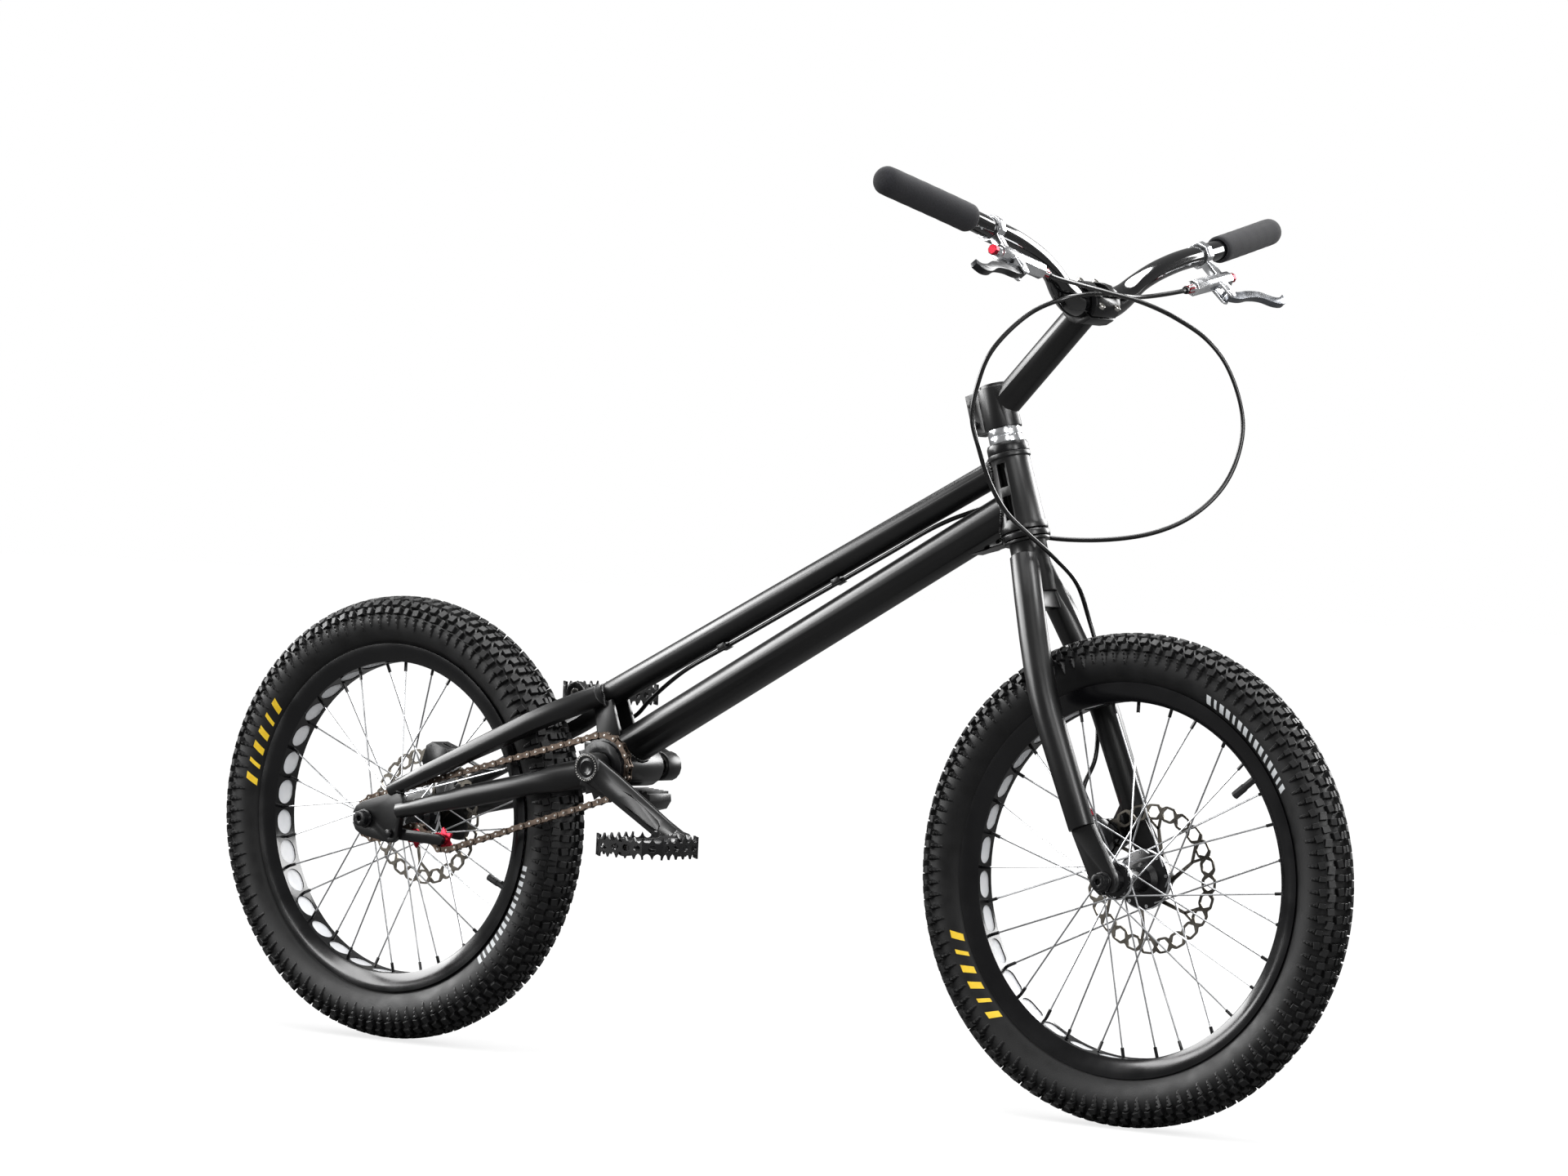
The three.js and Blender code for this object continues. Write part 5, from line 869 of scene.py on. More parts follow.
# %% [markdown]
# ## The rims
# A trials rim is a wide channel whose floor is cut away between the spokes to save weight, and the tape over
# the holes shows through them. The side walls are spun sections. One pitch of floor, with its hole, is laid
# flat as four loops of points and bent to the radius, then repeated between the spokes.

# %% The rims' sizes
RIMS = {
    "front": {"seat": 203.0, "half": 18.0, "floor": 188.5, "floor_half": 12.5, "hole": (14.6, 9.0)},
    "rear": {"seat": 197.0, "half": 23.0, "floor": 182.0, "floor_half": 17.0, "hole": (14.4, 12.6)},
}
RIM_WALL = 2.4
FLOOR_THICK = RIM_WALL * 0.6
SPOKES = 32
print("holes in each rim:", SPOKES)


# %% Bend one pitch of the floor
def floor_pitch(rim):
    """One pitch of the rim's floor with its hole, bent to the floor's radius."""
    pitch_half = math.pi / SPOKES
    wide = rim["floor"] * pitch_half
    tall = rim["floor_half"]
    reach, radius = rim["hole"][0] - rim["hole"][1], rim["hole"][1]
    corners = [(1, 0), (1, 1), (0, 1), (-1, 1), (-1, 0), (-1, -1), (0, -1), (1, -1), (1, 0)]
    ring = []
    for (x0, y0), (x1, y1) in zip(corners, corners[1:]):
        steps = 4 if x0 == x1 else 6
        for k in range(steps):
            x, y = x0 + (x1 - x0) * k / steps, y0 + (y1 - y0) * k / steps
            ring.append((x * wide, y * tall))
    count = len(ring)

    def place(row, column):
        x, y = ring[round(column * count) % count]
        level = round(row * 3)
        if level in (1, 2):
            angle = math.atan2(y / tall, x / wide)
            way = 0 if abs(x) < 1e-6 else math.copysign(1, x)
            x, y = reach * way + radius * math.cos(angle), radius * math.sin(angle)
        height = rim["floor"] + (FLOOR_THICK if level > 1 else 0)
        angle = x / rim["floor"]
        return Vector((height * math.cos(angle), y, height * math.sin(angle))) * MM

    return grid_skin(3, count, place)


# %% The section of a wall, and the tape
TAPE_GAP, TAPE_THICK, TAPE_MARGIN = 0.3, 0.6, 1.6


def rim_wall(rim):
    """The section of one side wall, from its flange down to the floor, with the hook that holds the bead."""
    seat, half, floor, floor_half = rim["seat"], rim["half"], rim["floor"], rim["floor_half"]
    flange, inside = seat + 6, half - RIM_WALL
    return [
        (flange, half), (flange, inside), (seat, inside), (seat - 3, inside),
        (floor + FLOOR_THICK, floor_half - 0.6), (floor, floor_half), (floor + 1.2, floor_half + 0.9),
        (floor + (seat - floor) * 0.62, half - 1.4), (seat, half - 0.1),
    ]


def rim_tape(rim, centre):
    """The tape that lies on the inside of the floor and shows through its holes."""
    inside = rim["floor"] + FLOOR_THICK + TAPE_GAP
    outside = inside + TAPE_THICK
    half = rim["floor_half"] - TAPE_MARGIN
    return spun([(inside, -half), (inside, half), (outside, half), (outside, -half)], centre, WHEEL_STEPS)


print("points in a wall's section:", len(rim_wall(RIMS["front"])))


# %% Spin the walls and repeat the floor
def make_rim(name, rim, centre):
    """Two walls, the pierced floor between them, and the tape."""
    wheel = name + "_wheel"
    wall = rim_wall(rim)
    walls = [spun(wall, centre, WHEEL_STEPS), spun([(r, -y) for r, y in wall], centre, WHEEL_STEPS)]
    floor_piece = copies(floor_pitch(rim), [
        Matrix.Translation(centre) @ Matrix.Rotation(-TURN * (k + 0.5) / SPOKES, 4, "Y")
        for k in range(SPOKES)
    ])
    piece = tidied(joined(walls + [floor_piece]))
    finished(piece, name + "_rim_channel", wheel, rim_black, "black_anodised", [name + "_rim"], 40)
    finished(rim_tape(rim, centre), name + "_rim_tape", wheel, tape_nylon, "tyre_rubber", [], 30)
    print(name, "rim faces:", len(piece.data.polygons))


for name, rim in RIMS.items():
    make_rim(name, rim, TYRES[name]["centre"])

# %% [markdown]
# ## Spokes, nipples and hubs
# Each flange carries sixteen spokes, laced so that each crosses others on its way to the rim. A spoke is a
# wire with an elbow and a head at the flange and a black nipple at the rim, so it is drawn as a curve with
# a round bevel, which is the quickest way to make wire. The hub's shell is one section spun about the axle.

# %% Wire from a curve
def wires(lines, radius, resolution=1):
    """Round wires of one radius, in metres, along lists of points."""
    data = bpy.data.curves.new("wire", "CURVE")
    data.dimensions = "3D"
    data.bevel_depth = radius
    data.bevel_resolution = resolution
    data.use_fill_caps = True
    for line in lines:
        spline = data.splines.new("POLY")
        spline.points.add(len(line) - 1)
        for point, place in zip(spline.points, line):
            point.co = (*place, 1)
    piece = bpy.data.objects.new("wire", data)
    bpy.context.scene.collection.objects.link(piece)
    only(piece)
    bpy.ops.object.convert(target="MESH")
    return bpy.context.object


# %% Plate from a filled curve
def flat_plate(outlines, thickness):
    """A flat plate in the XZ plane, its middle at y 0, from closed outlines in metres.

    Outlines inside another one are holes.
    """
    data = bpy.data.curves.new("plate", "CURVE")
    data.dimensions = "2D"
    data.fill_mode = "BOTH"
    data.extrude = thickness / 2
    for outline in outlines:
        spline = data.splines.new("POLY")
        spline.points.add(len(outline) - 1)
        spline.use_cyclic_u = True
        for point, (x, z) in zip(spline.points, outline):
            point.co = (x, z, 0, 1)
    piece = bpy.data.objects.new("plate", data)
    bpy.context.scene.collection.objects.link(piece)
    only(piece)
    bpy.ops.object.convert(target="MESH")
    piece = bpy.context.object
    return tidied(moved(piece, Matrix.Rotation(math.pi / 2, 4, "X")), 0.001 * MM)


# %% The hubs' sizes
# A flange is given by its place across the hub, its radius and the radius of its circle of spoke holes. The
# span is the distance between the dropouts, and the rotor's is its place across the hub.
HUBS = {
    "front": {
        "right": (-33, 20, 16.5), "left": (22, 32, 28.5), "body": 14, "span": 100, "rotor": 36,
    },
    "rear": {
        "right": (-26, 26, 22.5), "left": (30, 32, 28.5), "body": 16, "span": 116, "rotor": 44,
    },
}
print("hubs between the dropouts:", [hub["span"] for hub in HUBS.values()], "mm")

# %% Lace both wheels
FLANGE_SPOKES = SPOKES // 2
SPOKE_LEAD = 3 * TURN / FLANGE_SPOKES
SPOKE_RADIUS = 0.95
HEAD_RADIUS = 1.9
HEAD_PROUD, ELBOW_PROUD = 2.6, 1.9
NIPPLE_LENGTH = 11
RIM_STAGGER, RIM_SINK = 4, 0.4
# How far along the spoke its elbow ends, and how far through the flange its head reaches.
ELBOW_SHARE, HEAD_SHARE = 0.02, 0.28


def on_wheel(centre, radius, y, angle):
    """A place on a wheel, from a radius and a distance across in millimetres."""
    return centre + Vector((radius * math.cos(angle), y, radius * math.sin(angle))) * MM


def lace(name, side):
    """The spokes, heads and nipples of one flange, every other one from the other face of it."""
    centre = TYRES[name]["centre"]
    wheel = name + "_wheel"
    flange_y, _, hole_circle = HUBS[name][side]
    sign = 1 if side == "left" else -1
    floor = RIMS[name]["floor"]
    lines, ends, heads = [], [], []
    for i in range(FLANGE_SPOKES):
        face = 1 if i % 2 else -1
        phase = (i + (0.5 if sign > 0 else 0)) * TURN / FLANGE_SPOKES
        hub_angle = phase + face * SPOKE_LEAD
        head = on_wheel(centre, hole_circle, flange_y - face * HEAD_PROUD, hub_angle)
        elbow = on_wheel(centre, hole_circle, flange_y + face * ELBOW_PROUD, hub_angle)
        rim_end = on_wheel(centre, floor - RIM_SINK, sign * RIM_STAGGER, phase)
        lines.append([head, elbow, elbow.lerp(rim_end, ELBOW_SHARE), rim_end])
        ends.append([rim_end, rim_end + (elbow - rim_end).normalized() * NIPPLE_LENGTH * MM])
        heads.append([head, head.lerp(elbow, HEAD_SHARE)])
    spokes = joined([wires(lines, SPOKE_RADIUS * MM), wires(heads, HEAD_RADIUS * MM)])
    stands_for = [f"{name}_spokes_{side}"]
    finished(spokes, f"{name}_wires_{side}", wheel, drawn_wire, "stainless", stands_for, 50)
    nipples = wires(ends, HEAD_RADIUS * MM)
    finished(nipples, f"{name}_nipples_{side}", wheel, anodised, "black_anodised", [], 50)
    return len(lines)


for name in HUBS:
    for side in ("right", "left"):
        print(name, side, "spokes:", lace(name, side))

# %% Turn the hubs
FLANGE_HALF = 1.75
HUB_STEPS = 64


def ring_edge(name, tag, centre, y, radius):
    """A bright turned edge round a flange."""
    inside, outside = radius - 0.9, radius + 0.35
    edge = spun([
        (inside, y - FLANGE_HALF - 0.15), (outside, y - FLANGE_HALF * 0.6), (outside, y + FLANGE_HALF * 0.6),
        (inside, y + FLANGE_HALF + 0.15),
    ], centre, HUB_STEPS)
    finished(edge, f"{name}_flange_edge_{tag}", name + "_wheel", polished, "polished_alloy", [], 40)


def make_hub(name, hub):
    """A hub shell with two flanges, the rotor's seat and its two bright edges."""
    centre = TYRES[name]["centre"]
    (right_y, right_r, _), (left_y, left_r, _) = hub["right"], hub["left"]
    end = hub["span"] / 2 - 0.3
    body = hub["body"]
    rotor = hub["rotor"]
    piece = spun([
        (6.4, -end), (10.8, -end), (12, -end + 1.2), (12, right_y - 4), (right_r - 1, right_y - FLANGE_HALF),
        (right_r, right_y - 1.2), (right_r, right_y + 1.2), (right_r - 1, right_y + FLANGE_HALF),
        (body + 4, right_y + 2.6), (body, right_y + 6), (body - 1.4, 0), (body, left_y - 9),
        (body + 5, left_y - 3.6), (left_r - 1, left_y - FLANGE_HALF), (left_r, left_y - 1.2),
        (left_r, left_y + 1.2), (left_r - 1, left_y + FLANGE_HALF), (27, left_y + 2.4), (24, rotor - 1.4),
        (17.2, rotor - 1.2), (17.2, rotor + 2), (12, rotor + 2.6), (12, end - 1), (11, end), (6.4, end),
    ], centre, HUB_STEPS)
    finished(piece, name + "_hub_shell", name + "_wheel", anodised, "black_anodised", [name + "_hub"], 30)
    ring_edge(name, "right", centre, right_y, right_r)
    ring_edge(name, "left", centre, left_y, left_r)
    print(name, "hub faces:", len(piece.data.polygons))


for name, hub in HUBS.items():
    make_hub(name, hub)

# %% [markdown]
# ## Brake rotors
# The rotors are laser cut from steel sheet into a ring of hexagonal cells on thin arms. A filled curve does
# exactly what the laser does: an outer outline with a hole for each cell, given the sheet's thickness.

# %% Outlines for the rotors
CELLS = 24
ROTOR_SHEET = 1.9
ROTOR_BOLTS = 6
# Shares of a cell's angle with radii for the ring's two edges, and the corners of a cell about its middle.
OUTER_EDGE = [(-0.5, 76.6), (-0.27, 79.9), (0.27, 79.9)]
INNER_EDGE = [(-0.5, 66.6), (-0.27, 63.2), (0.27, 63.2)]
CELL_MIDDLE = 71.6
CELL_CORNERS = [(-0.405, 0), (-0.2, 6.0), (0.2, 6.0), (0.405, 0), (0.2, -6.0), (-0.2, -6.0)]
# The carrier's edges, the radii where an arm starts, forks and ends, and its widths there.
CARRIER_OUT, CARRIER_IN = 26, 17.8
ARM_START, ARM_FORK, ARM_END = 25, 55, 67.5
START_WIDE, FORK_WIDE, END_WIDE = 4.6, 3.0, 2.6
# How far round, in cells, an arm leans at its fork and at its two ends.
FORK_LEAN, END_LEANS = 1.55, (1.5, 2.5)
FORK_OVERLAP = 0.6
BOLT_CIRCLE = 22
ROTOR_BOLT = [(0, 0.9), (2.6, 0.9), (3.0, 1.4), (3.0, 2.4), (2.4, 3.0), (1.4, 3.0), (1.4, 2.0), (0, 2.0)]


def polar(radius, angle):
    """A flat place in metres from a radius in millimetres."""
    return (radius * math.cos(angle) * MM, radius * math.sin(angle) * MM)


def circle(radius, count):
    """A round outline."""
    return [polar(radius, TURN * k / count) for k in range(count)]


def rounded(corners, share=0.15, steps=2):
    """An outline whose corners are each cut by a short curve."""
    made = []
    for i, corner in enumerate(corners):
        before, after = corners[i - 1], corners[(i + 1) % len(corners)]
        start = [c + (b - c) * share for c, b in zip(corner, before)]
        end = [c + (a - c) * share for c, a in zip(corner, after)]
        for k in range(steps + 1):
            t = k / steps
            made.append(tuple(
                s * (1 - t) ** 2 + 2 * c * t * (1 - t) + e * t ** 2 for s, c, e in zip(start, corner, end)
            ))
    return made


def rotor_arm(start, end, wide, narrow):
    """A tapering arm from start to end, wide and narrow in millimetres."""
    (x0, z0), (x1, z1) = start, end
    length = math.hypot(x1 - x0, z1 - z0)
    across_x, across_z = -(z1 - z0) / length * MM / 2, (x1 - x0) / length * MM / 2
    return flat_plate([[
        (x0 + across_x * wide, z0 + across_z * wide), (x0 - across_x * wide, z0 - across_z * wide),
        (x1 - across_x * narrow, z1 - across_z * narrow), (x1 + across_x * narrow, z1 + across_z * narrow),
    ]], (ROTOR_SHEET - 0.15) * MM)


print("rotor:", 2 * max(radius for _, radius in OUTER_EDGE), "mm across, with", CELLS, "cells")

# %% Cut the rotors
def rotor_ring():
    """The ring of cells that the pads grip."""
    step = TURN / CELLS
    outside, inside, holes = [], [], []
    for i in range(CELLS):
        middle = i * step
        outside += [polar(radius, middle + share * step) for share, radius in OUTER_EDGE]
        inside += [polar(radius, middle + share * step) for share, radius in INNER_EDGE]
        cell = [polar(CELL_MIDDLE + rise, middle + share * step) for share, rise in CELL_CORNERS]
        holes.append(rounded(cell))
    return flat_plate([rounded(outside, 0.2), rounded(inside, 0.2)] + holes, ROTOR_SHEET * MM)


def make_rotor(name, y):
    """A ring of cells on six forked arms, with its carrier and bolts."""
    centre = TYRES[name]["centre"] + Vector((0, y * MM, 0))
    wheel = name + "_wheel"
    step = TURN / CELLS
    carrier = [circle(CARRIER_OUT, 48), circle(CARRIER_IN, 32)]
    pieces = [rotor_ring(), flat_plate(carrier, (ROTOR_SHEET - 0.1) * MM)]
    for k in range(ROTOR_BOLTS):
        root = k * TURN / ROTOR_BOLTS
        fork = root + FORK_LEAN * step
        pieces.append(rotor_arm(polar(ARM_START, root), polar(ARM_FORK, fork), START_WIDE, FORK_WIDE))
        for lean in END_LEANS:
            end = polar(ARM_END, root + lean * step)
            pieces.append(rotor_arm(polar(ARM_FORK - FORK_OVERLAP, fork), end, FORK_WIDE, END_WIDE))
    piece = moved(joined(pieces), Matrix.Translation(centre))
    steel = brushed(name + "_brushed_steel", centre, "57534d", "6b6760")
    finished(piece, name + "_rotor_cut", wheel, steel, "rotor_steel", [name + "_rotor"], 25)
    bolts = []
    for k in range(ROTOR_BOLTS):
        x, z = polar(BOLT_CIRCLE, (k + 0.5) * TURN / ROTOR_BOLTS)
        bolts.append(spun(ROTOR_BOLT, centre + Vector((x, 0, z)), 12))
    finished(joined(bolts), name + "_rotor_bolts", wheel, plated, "stainless", [], 35)
    print(name, "rotor faces:", len(piece.data.polygons))


for name in ("front", "rear"):
    make_rotor(name, HUBS[name]["rotor"])
for name in ("front", "rear"):
    eased(name + "_valve", valve_rubber, "valve_rubber", 0.5, 50)

# %% [markdown]
# ## The chain
# A chain alternates outer plates, which hold the pins, with inner plates, which hold the rollers. It runs
# over the rear sprocket and the freewheel and back under two small jockey wheels. The loop is worked out as
# arcs and straight runs, and a link is laid on it at every pitch of half an inch.

# %% Places in the plane of the chain
PITCH = 12.7
LINKS = 70
CHAIN_Y = -47.0


def pitch_radius(teeth):
    """The radius at which a sprocket carries the chain's pins."""
    return PITCH / (2 * math.sin(math.pi / teeth))


def flat_place(point):
    """A point's place in the plane of the chain, in millimetres, as one complex number."""
    return complex(point.x, point.z) / MM


def turned_by(angle):
    """The unit number that points along an angle."""
    return complex(math.cos(angle), math.sin(angle))


def heading_of(gap):
    """The angle of a gap between two places."""
    return math.atan2(gap.imag, gap.real)


print("the freewheel's pins lie at radius", round(pitch_radius(18), 2), "mm")


# %% Arcs and straight runs
def arc(centre, radius, way, first):
    """A function that gives the place at a distance along an arc."""
    return lambda distance: centre + radius * turned_by(first - way * distance / radius)


def straight(start, end):
    """A function that gives the place at a distance along a straight run."""
    length = abs(end - start)
    return lambda distance: start + (end - start) * distance / length


def loop_runs(wheels):
    """The arcs and straights of a loop round wheels, each a length and a function of distance."""
    leaving = []
    for i, (a, radius_a, way_a) in enumerate(wheels):
        b, radius_b, way_b = wheels[(i + 1) % len(wheels)]
        gap = b - a
        heading = heading_of(gap) + math.asin((way_b * radius_b - way_a * radius_a) / abs(gap))
        right_hand = turned_by(heading - math.pi / 2)
        leaving.append((a - way_a * radius_a * right_hand, b - way_b * radius_b * right_hand, heading))
    runs = []
    for i, (centre, radius, way) in enumerate(wheels):
        _, touch, heading_in = leaving[i - 1]
        start, end, heading_out = leaving[i]
        swing = ((heading_in - heading_out) * way) % TURN
        runs.append((swing * radius, arc(centre, radius, way, heading_of(touch - centre))))
        runs.append((abs(end - start), straight(start, end)))
    return runs


# %% Work out the loop
# Each wheel has its middle, the radius of its pins and the way that the chain turns round it.
CHAIN_WHEELS = [
    (flat_place(REAR_AXLE), pitch_radius(12), 1),
    (flat_place(BRACKET), pitch_radius(18), 1),
    (flat_place(pivot("jockey_forward")), pitch_radius(6), 1),
    (flat_place(pivot("jockey_back")), pitch_radius(6), -1),
]
chain_runs = loop_runs(CHAIN_WHEELS)
chain_length = sum(length for length, _ in chain_runs)


def on_chain(distance):
    """The place at a distance along the loop."""
    left = distance % chain_length
    for length, place in chain_runs:
        if left <= length:
            return place(left)
        left -= length
    return chain_runs[0][1](0)


print("chain:", len(chain_runs), "runs, the first pin at", on_chain(0))

# %% Find the place of every pin
def next_pin(last):
    """The distance at which the next pin lies one straight pitch from the last, found by halving."""
    low, high = last + 0.6 * PITCH, last + 1.4 * PITCH
    for _ in range(40):
        middle = (low + high) / 2
        if abs(on_chain(middle) - on_chain(last)) < PITCH:
            low = middle
        else:
            high = middle
    return low


pin_distances = [0.0]
while len(pin_distances) < LINKS:
    pin_distances.append(next_pin(pin_distances[-1]))
pins = [on_chain(distance) for distance in pin_distances]
print("chain loop:", round(chain_length, 1), "mm for", LINKS, "links of", PITCH)

# %% Model one outer and one inner link
LINK_HALF, LINK_WAIST, LINK_SHEET = 3.95, 2.7, 1.0
OUTER_Y, INNER_Y = 3.3, 2.2
ROUND_POINTS, ROUND_SWEEP = 7, 250
RIVET_RADIUS, RIVET_HALF = 1.45, 4.25
ROLLER_RADIUS, ROLLER_HALF = 3.6, 1.6


def link_plate(y):
    """A side plate with round ends and a narrow waist, from pin to pin along X, in millimetres."""
    outline = []
    for end, first_angle, waist in ((0, 55, -LINK_WAIST), (PITCH, -125, LINK_WAIST)):
        for k in range(ROUND_POINTS):
            angle = math.radians(first_angle + k * ROUND_SWEEP / (ROUND_POINTS - 1))
            outline.append(((end + LINK_HALF * math.cos(angle)) * MM, LINK_HALF * math.sin(angle) * MM))
        outline.append((PITCH / 2 * MM, waist * MM))
    return moved(flat_plate([outline], LINK_SHEET * MM), Matrix.Translation((0, y * MM, 0)))


def barrel(radius, half, x=0.0, steps=10):
    """A short cylinder along Y with eased ends, in millimetres."""
    ease = min(0.3, half / 3)
    return spun([
        (0, -half), (radius - ease, -half), (radius, -half + ease), (radius, half - ease),
        (radius - ease, half), (0, half),
    ], Vector((x, 0, 0)) * MM, steps)


outer_link = joined([link_plate(-OUTER_Y), link_plate(OUTER_Y)])
inner_link = joined([link_plate(-INNER_Y), link_plate(INNER_Y)])
rivets = joined([barrel(RIVET_RADIUS, RIVET_HALF, x, 8) for x in (0, PITCH)])
rollers = joined([barrel(ROLLER_RADIUS, ROLLER_HALF, x, 12) for x in (0, PITCH)])
print("link plates:", len(outer_link.data.polygons) + len(inner_link.data.polygons), "faces")


# %% Lay the links round the loop
def link_places(first):
    """A matrix for every other link, starting at the first."""
    places = []
    for i in range(first, LINKS, 2):
        here, after = pins[i], pins[(i + 1) % LINKS]
        shift = Matrix.Translation(Vector((here.real, CHAIN_Y, here.imag)) * MM)
        places.append(shift @ Matrix.Rotation(-heading_of(after - here), 4, "Y"))
    return places


plates = joined([copies(outer_link, link_places(0)), copies(inner_link, link_places(1))])
chain_body = body_of("chain")
finished(plates, "chain_plates", chain_body, oiled_steel, "chain_bronze", ["chain"], 35)
finished(copies(rivets, link_places(0)), "chain_rivets", chain_body, plated, "stainless", [], 35)
finished(copies(rollers, link_places(1)), "chain_rollers", chain_body, oiled_steel, "chain_bronze", [], 35)
print("chain faces:", len(plates.data.polygons))

# %% [markdown]
# ## Sprockets, cranks and pedals
# The sprockets and cranks are right as solids, so they are eased. The crank's end has a ring of splines that
# catches the light. The pedals are cages of sheet metal with rows of hooked teeth, cut out of flat plates
# with holes and set round an eight-sided plan, which is how such a cage is folded.

# %% Ease the drive's metal
DRIVE = [
    ("freewheel_sprocket", anodised, "polished_alloy", 0.25),
    ("rear_sprocket", plated, "polished_alloy", 0.25),
    ("jockey_wheel_forward", red_anodised, "red_anodised", 0.3),
    ("jockey_wheel_back", red_anodised, "red_anodised", 0.3),
    ("crank_arm_right", powder_coat, "satin_black_paint", 1.1),
    ("crank_arm_left", powder_coat, "satin_black_paint", 1.1),
    ("pedal_axle_right", plated, "stainless", 0.3), ("pedal_axle_left", plated, "stainless", 0.3),
    ("crank_spindle", plated, "stainless", 0.3), ("tensioner_arm", anodised, "black_anodised", 0.4),
]
for node, material, slot, width in DRIVE:
    eased(node, material, slot, width)
print("eased solids of the drive:", len(DRIVE))

# %% The splined ring and the cap on each crank's end
SPLINES = 30
SPLINE_CIRCLE = 14.2
SPLINE_Y = 77.8
SPLINE_RADIUS, SPLINE_HALF = 0.75, 0.7
CAP_SECTION = [(0, 72), (9.0, 72), (10.8, 74), (10.8, 76.4), (8.2, 77.2), (6.4, 76), (4.2, 75.2), (0, 75)]


def spline_ring(side):
    """A ring of small round splines."""
    made = []
    for k in range(SPLINES):
        angle = TURN * k / SPLINES
        place = Vector((SPLINE_CIRCLE * math.cos(angle), side * SPLINE_Y, SPLINE_CIRCLE * math.sin(angle)))
        made.append(moved(barrel(SPLINE_RADIUS, SPLINE_HALF, 0, 6), Matrix.Translation(BRACKET + place * MM)))
    return joined(made)


for tag, side in (("right", -1), ("left", 1)):
    finished(spline_ring(side), "crank_splines_" + tag, "crankset", plated, "stainless", [], 40)
    cap = spun(CAP_SECTION, BRACKET, 24)
    if side < 0:
        moved(cap, Matrix.Scale(-1, 4, (0, 1, 0)))
    finished(cap, "crank_cap_" + tag, "crankset", anodised, "black_anodised", [], 35)
    print(tag, "crank cap faces:", len(cap.data.polygons))

# %% Cut one side of a pedal cage
CAGE_HALF, CAGE_INNER, CAGE_WIDE, CAGE_CORNER, CAGE_SHEET = 46.0, 95.0, 96.0, 16.0, 2.6
TOOTH_TIP, TOOTH_DEPTH, TOOTH_POINTS = 12, 6.4, 6
HOLE_LONG, HOLE_TALL, HOLE_POINTS = 4.6, 3.7, 14


def oval(middle, long, tall, count):
    """A hole's outline, drawn the other way round from the plate's."""
    angles = [-TURN * i / count for i in range(count)]
    return [((middle + long * math.cos(angle)) * MM, tall * math.sin(angle) * MM) for angle in angles]


def toothed_side(length, teeth, holes):
    """A strip of cage with hooked teeth along both edges and a row of holes, in metres."""
    outline = []
    points = teeth * TOOTH_POINTS
    for edge in (1, -1):
        for k in range(points + 1):
            share = k / points
            scallop = abs(math.sin(math.pi * share * teeth)) ** 0.6
            across = edge * (TOOTH_TIP - TOOTH_DEPTH * scallop)
            outline.append(((share - 0.5) * length * edge * MM, across * MM))
    outlines = [outline]
    for k in range(holes):
        outlines.append(oval(((k + 0.5) / holes - 0.5) * length, HOLE_LONG, HOLE_TALL, HOLE_POINTS))
    return flat_plate(outlines, CAGE_SHEET * MM)


print("cage:", 2 * CAGE_HALF, "mm long and", CAGE_WIDE, "mm wide")

# %% Fold the pedal cages
WEB_Y, WEB_SHEET = 18.0, 4.6
WEB_OUTLINE = [(9, -4.6), (44.2, -4.4), (44.2, 4.4), (9, 4.6)]
WEB_HOLE = (26, 11, 2.4, 12)


def set_down(piece, x, y, degrees=0):
    """Turns a piece about the vertical and puts it at x and y, in millimetres."""
    turn_to = Matrix.Rotation(math.radians(degrees), 4, "Z")
    return moved(piece, Matrix.Translation(Vector((x, y, 0)) * MM) @ turn_to)


def cage_sides():
    """The eight strips, set round an eight-sided plan."""
    front_long, end_long = CAGE_WIDE - 2 * CAGE_CORNER, 2 * CAGE_HALF - 2 * CAGE_CORNER
    corner_long = CAGE_CORNER * math.sqrt(2) + 0.6
    corner_x, corner_y = CAGE_HALF - CAGE_CORNER / 2 - 1, CAGE_WIDE / 2 - CAGE_CORNER / 2 - 1
    pieces = []
    for way in (1, -1):
        pieces.append(set_down(toothed_side(front_long, 5, 4), way * (CAGE_HALF - CAGE_SHEET / 2), 0, 90))
        pieces.append(set_down(toothed_side(end_long, 5, 4), 0, way * (CAGE_WIDE / 2 - CAGE_SHEET / 2)))
        for turn_by in (1, -1):
            corner = toothed_side(corner_long, 2, 1)
            pieces.append(set_down(corner, way * corner_x, way * turn_by * corner_y, -turn_by * 45))
    return pieces


def pedal_cage(name, side):
    """The eight strips of a cage, its sleeve and its two webs."""
    half = CAGE_WIDE / 2 - CAGE_SHEET
    pieces = cage_sides()
    pieces.append(spun([
        (6.6, -half), (9.2, -half), (10.2, -half + 2), (10.2, -half + 14), (8.6, -half + 20),
        (8.6, half - 24), (10.2, half - 18), (10.2, half - 2), (9.2, half), (6.6, half),
    ], Vector(), 24))
    for offset in (-WEB_Y, WEB_Y):
        for way in (-1, 1):
            web = [(x * MM, z * MM) for x, z in WEB_OUTLINE]
            outlines = [[(way * x, z) for x, z in line] for line in (web, oval(*WEB_HOLE))]
            pieces.append(set_down(flat_plate(outlines, WEB_SHEET * MM), 0, offset))
    middle = Vector((0, side * (CAGE_INNER + CAGE_WIDE / 2), 0))
    cage = moved(joined(pieces), Matrix.Translation(pivot("pedal_" + name) + middle * MM))
    body = "pedal_" + name
    return finished(cage, "pedal_cage_" + name, body, anodised, "satin_black_paint", [body], 35)


for tag, side in (("right", -1), ("left", 1)):
    print(tag, "cage faces:", len(pedal_cage(tag, side).data.polygons))

# %% [markdown]
# ## The skid plate
# A trials bike lands on its bottom bracket, so a ribbed plate of black nylon hangs there. The ribs could be
# separate strips, but its side view is the same all the way across, so one outline with five ribs is cut as
# thick plate and rounded.

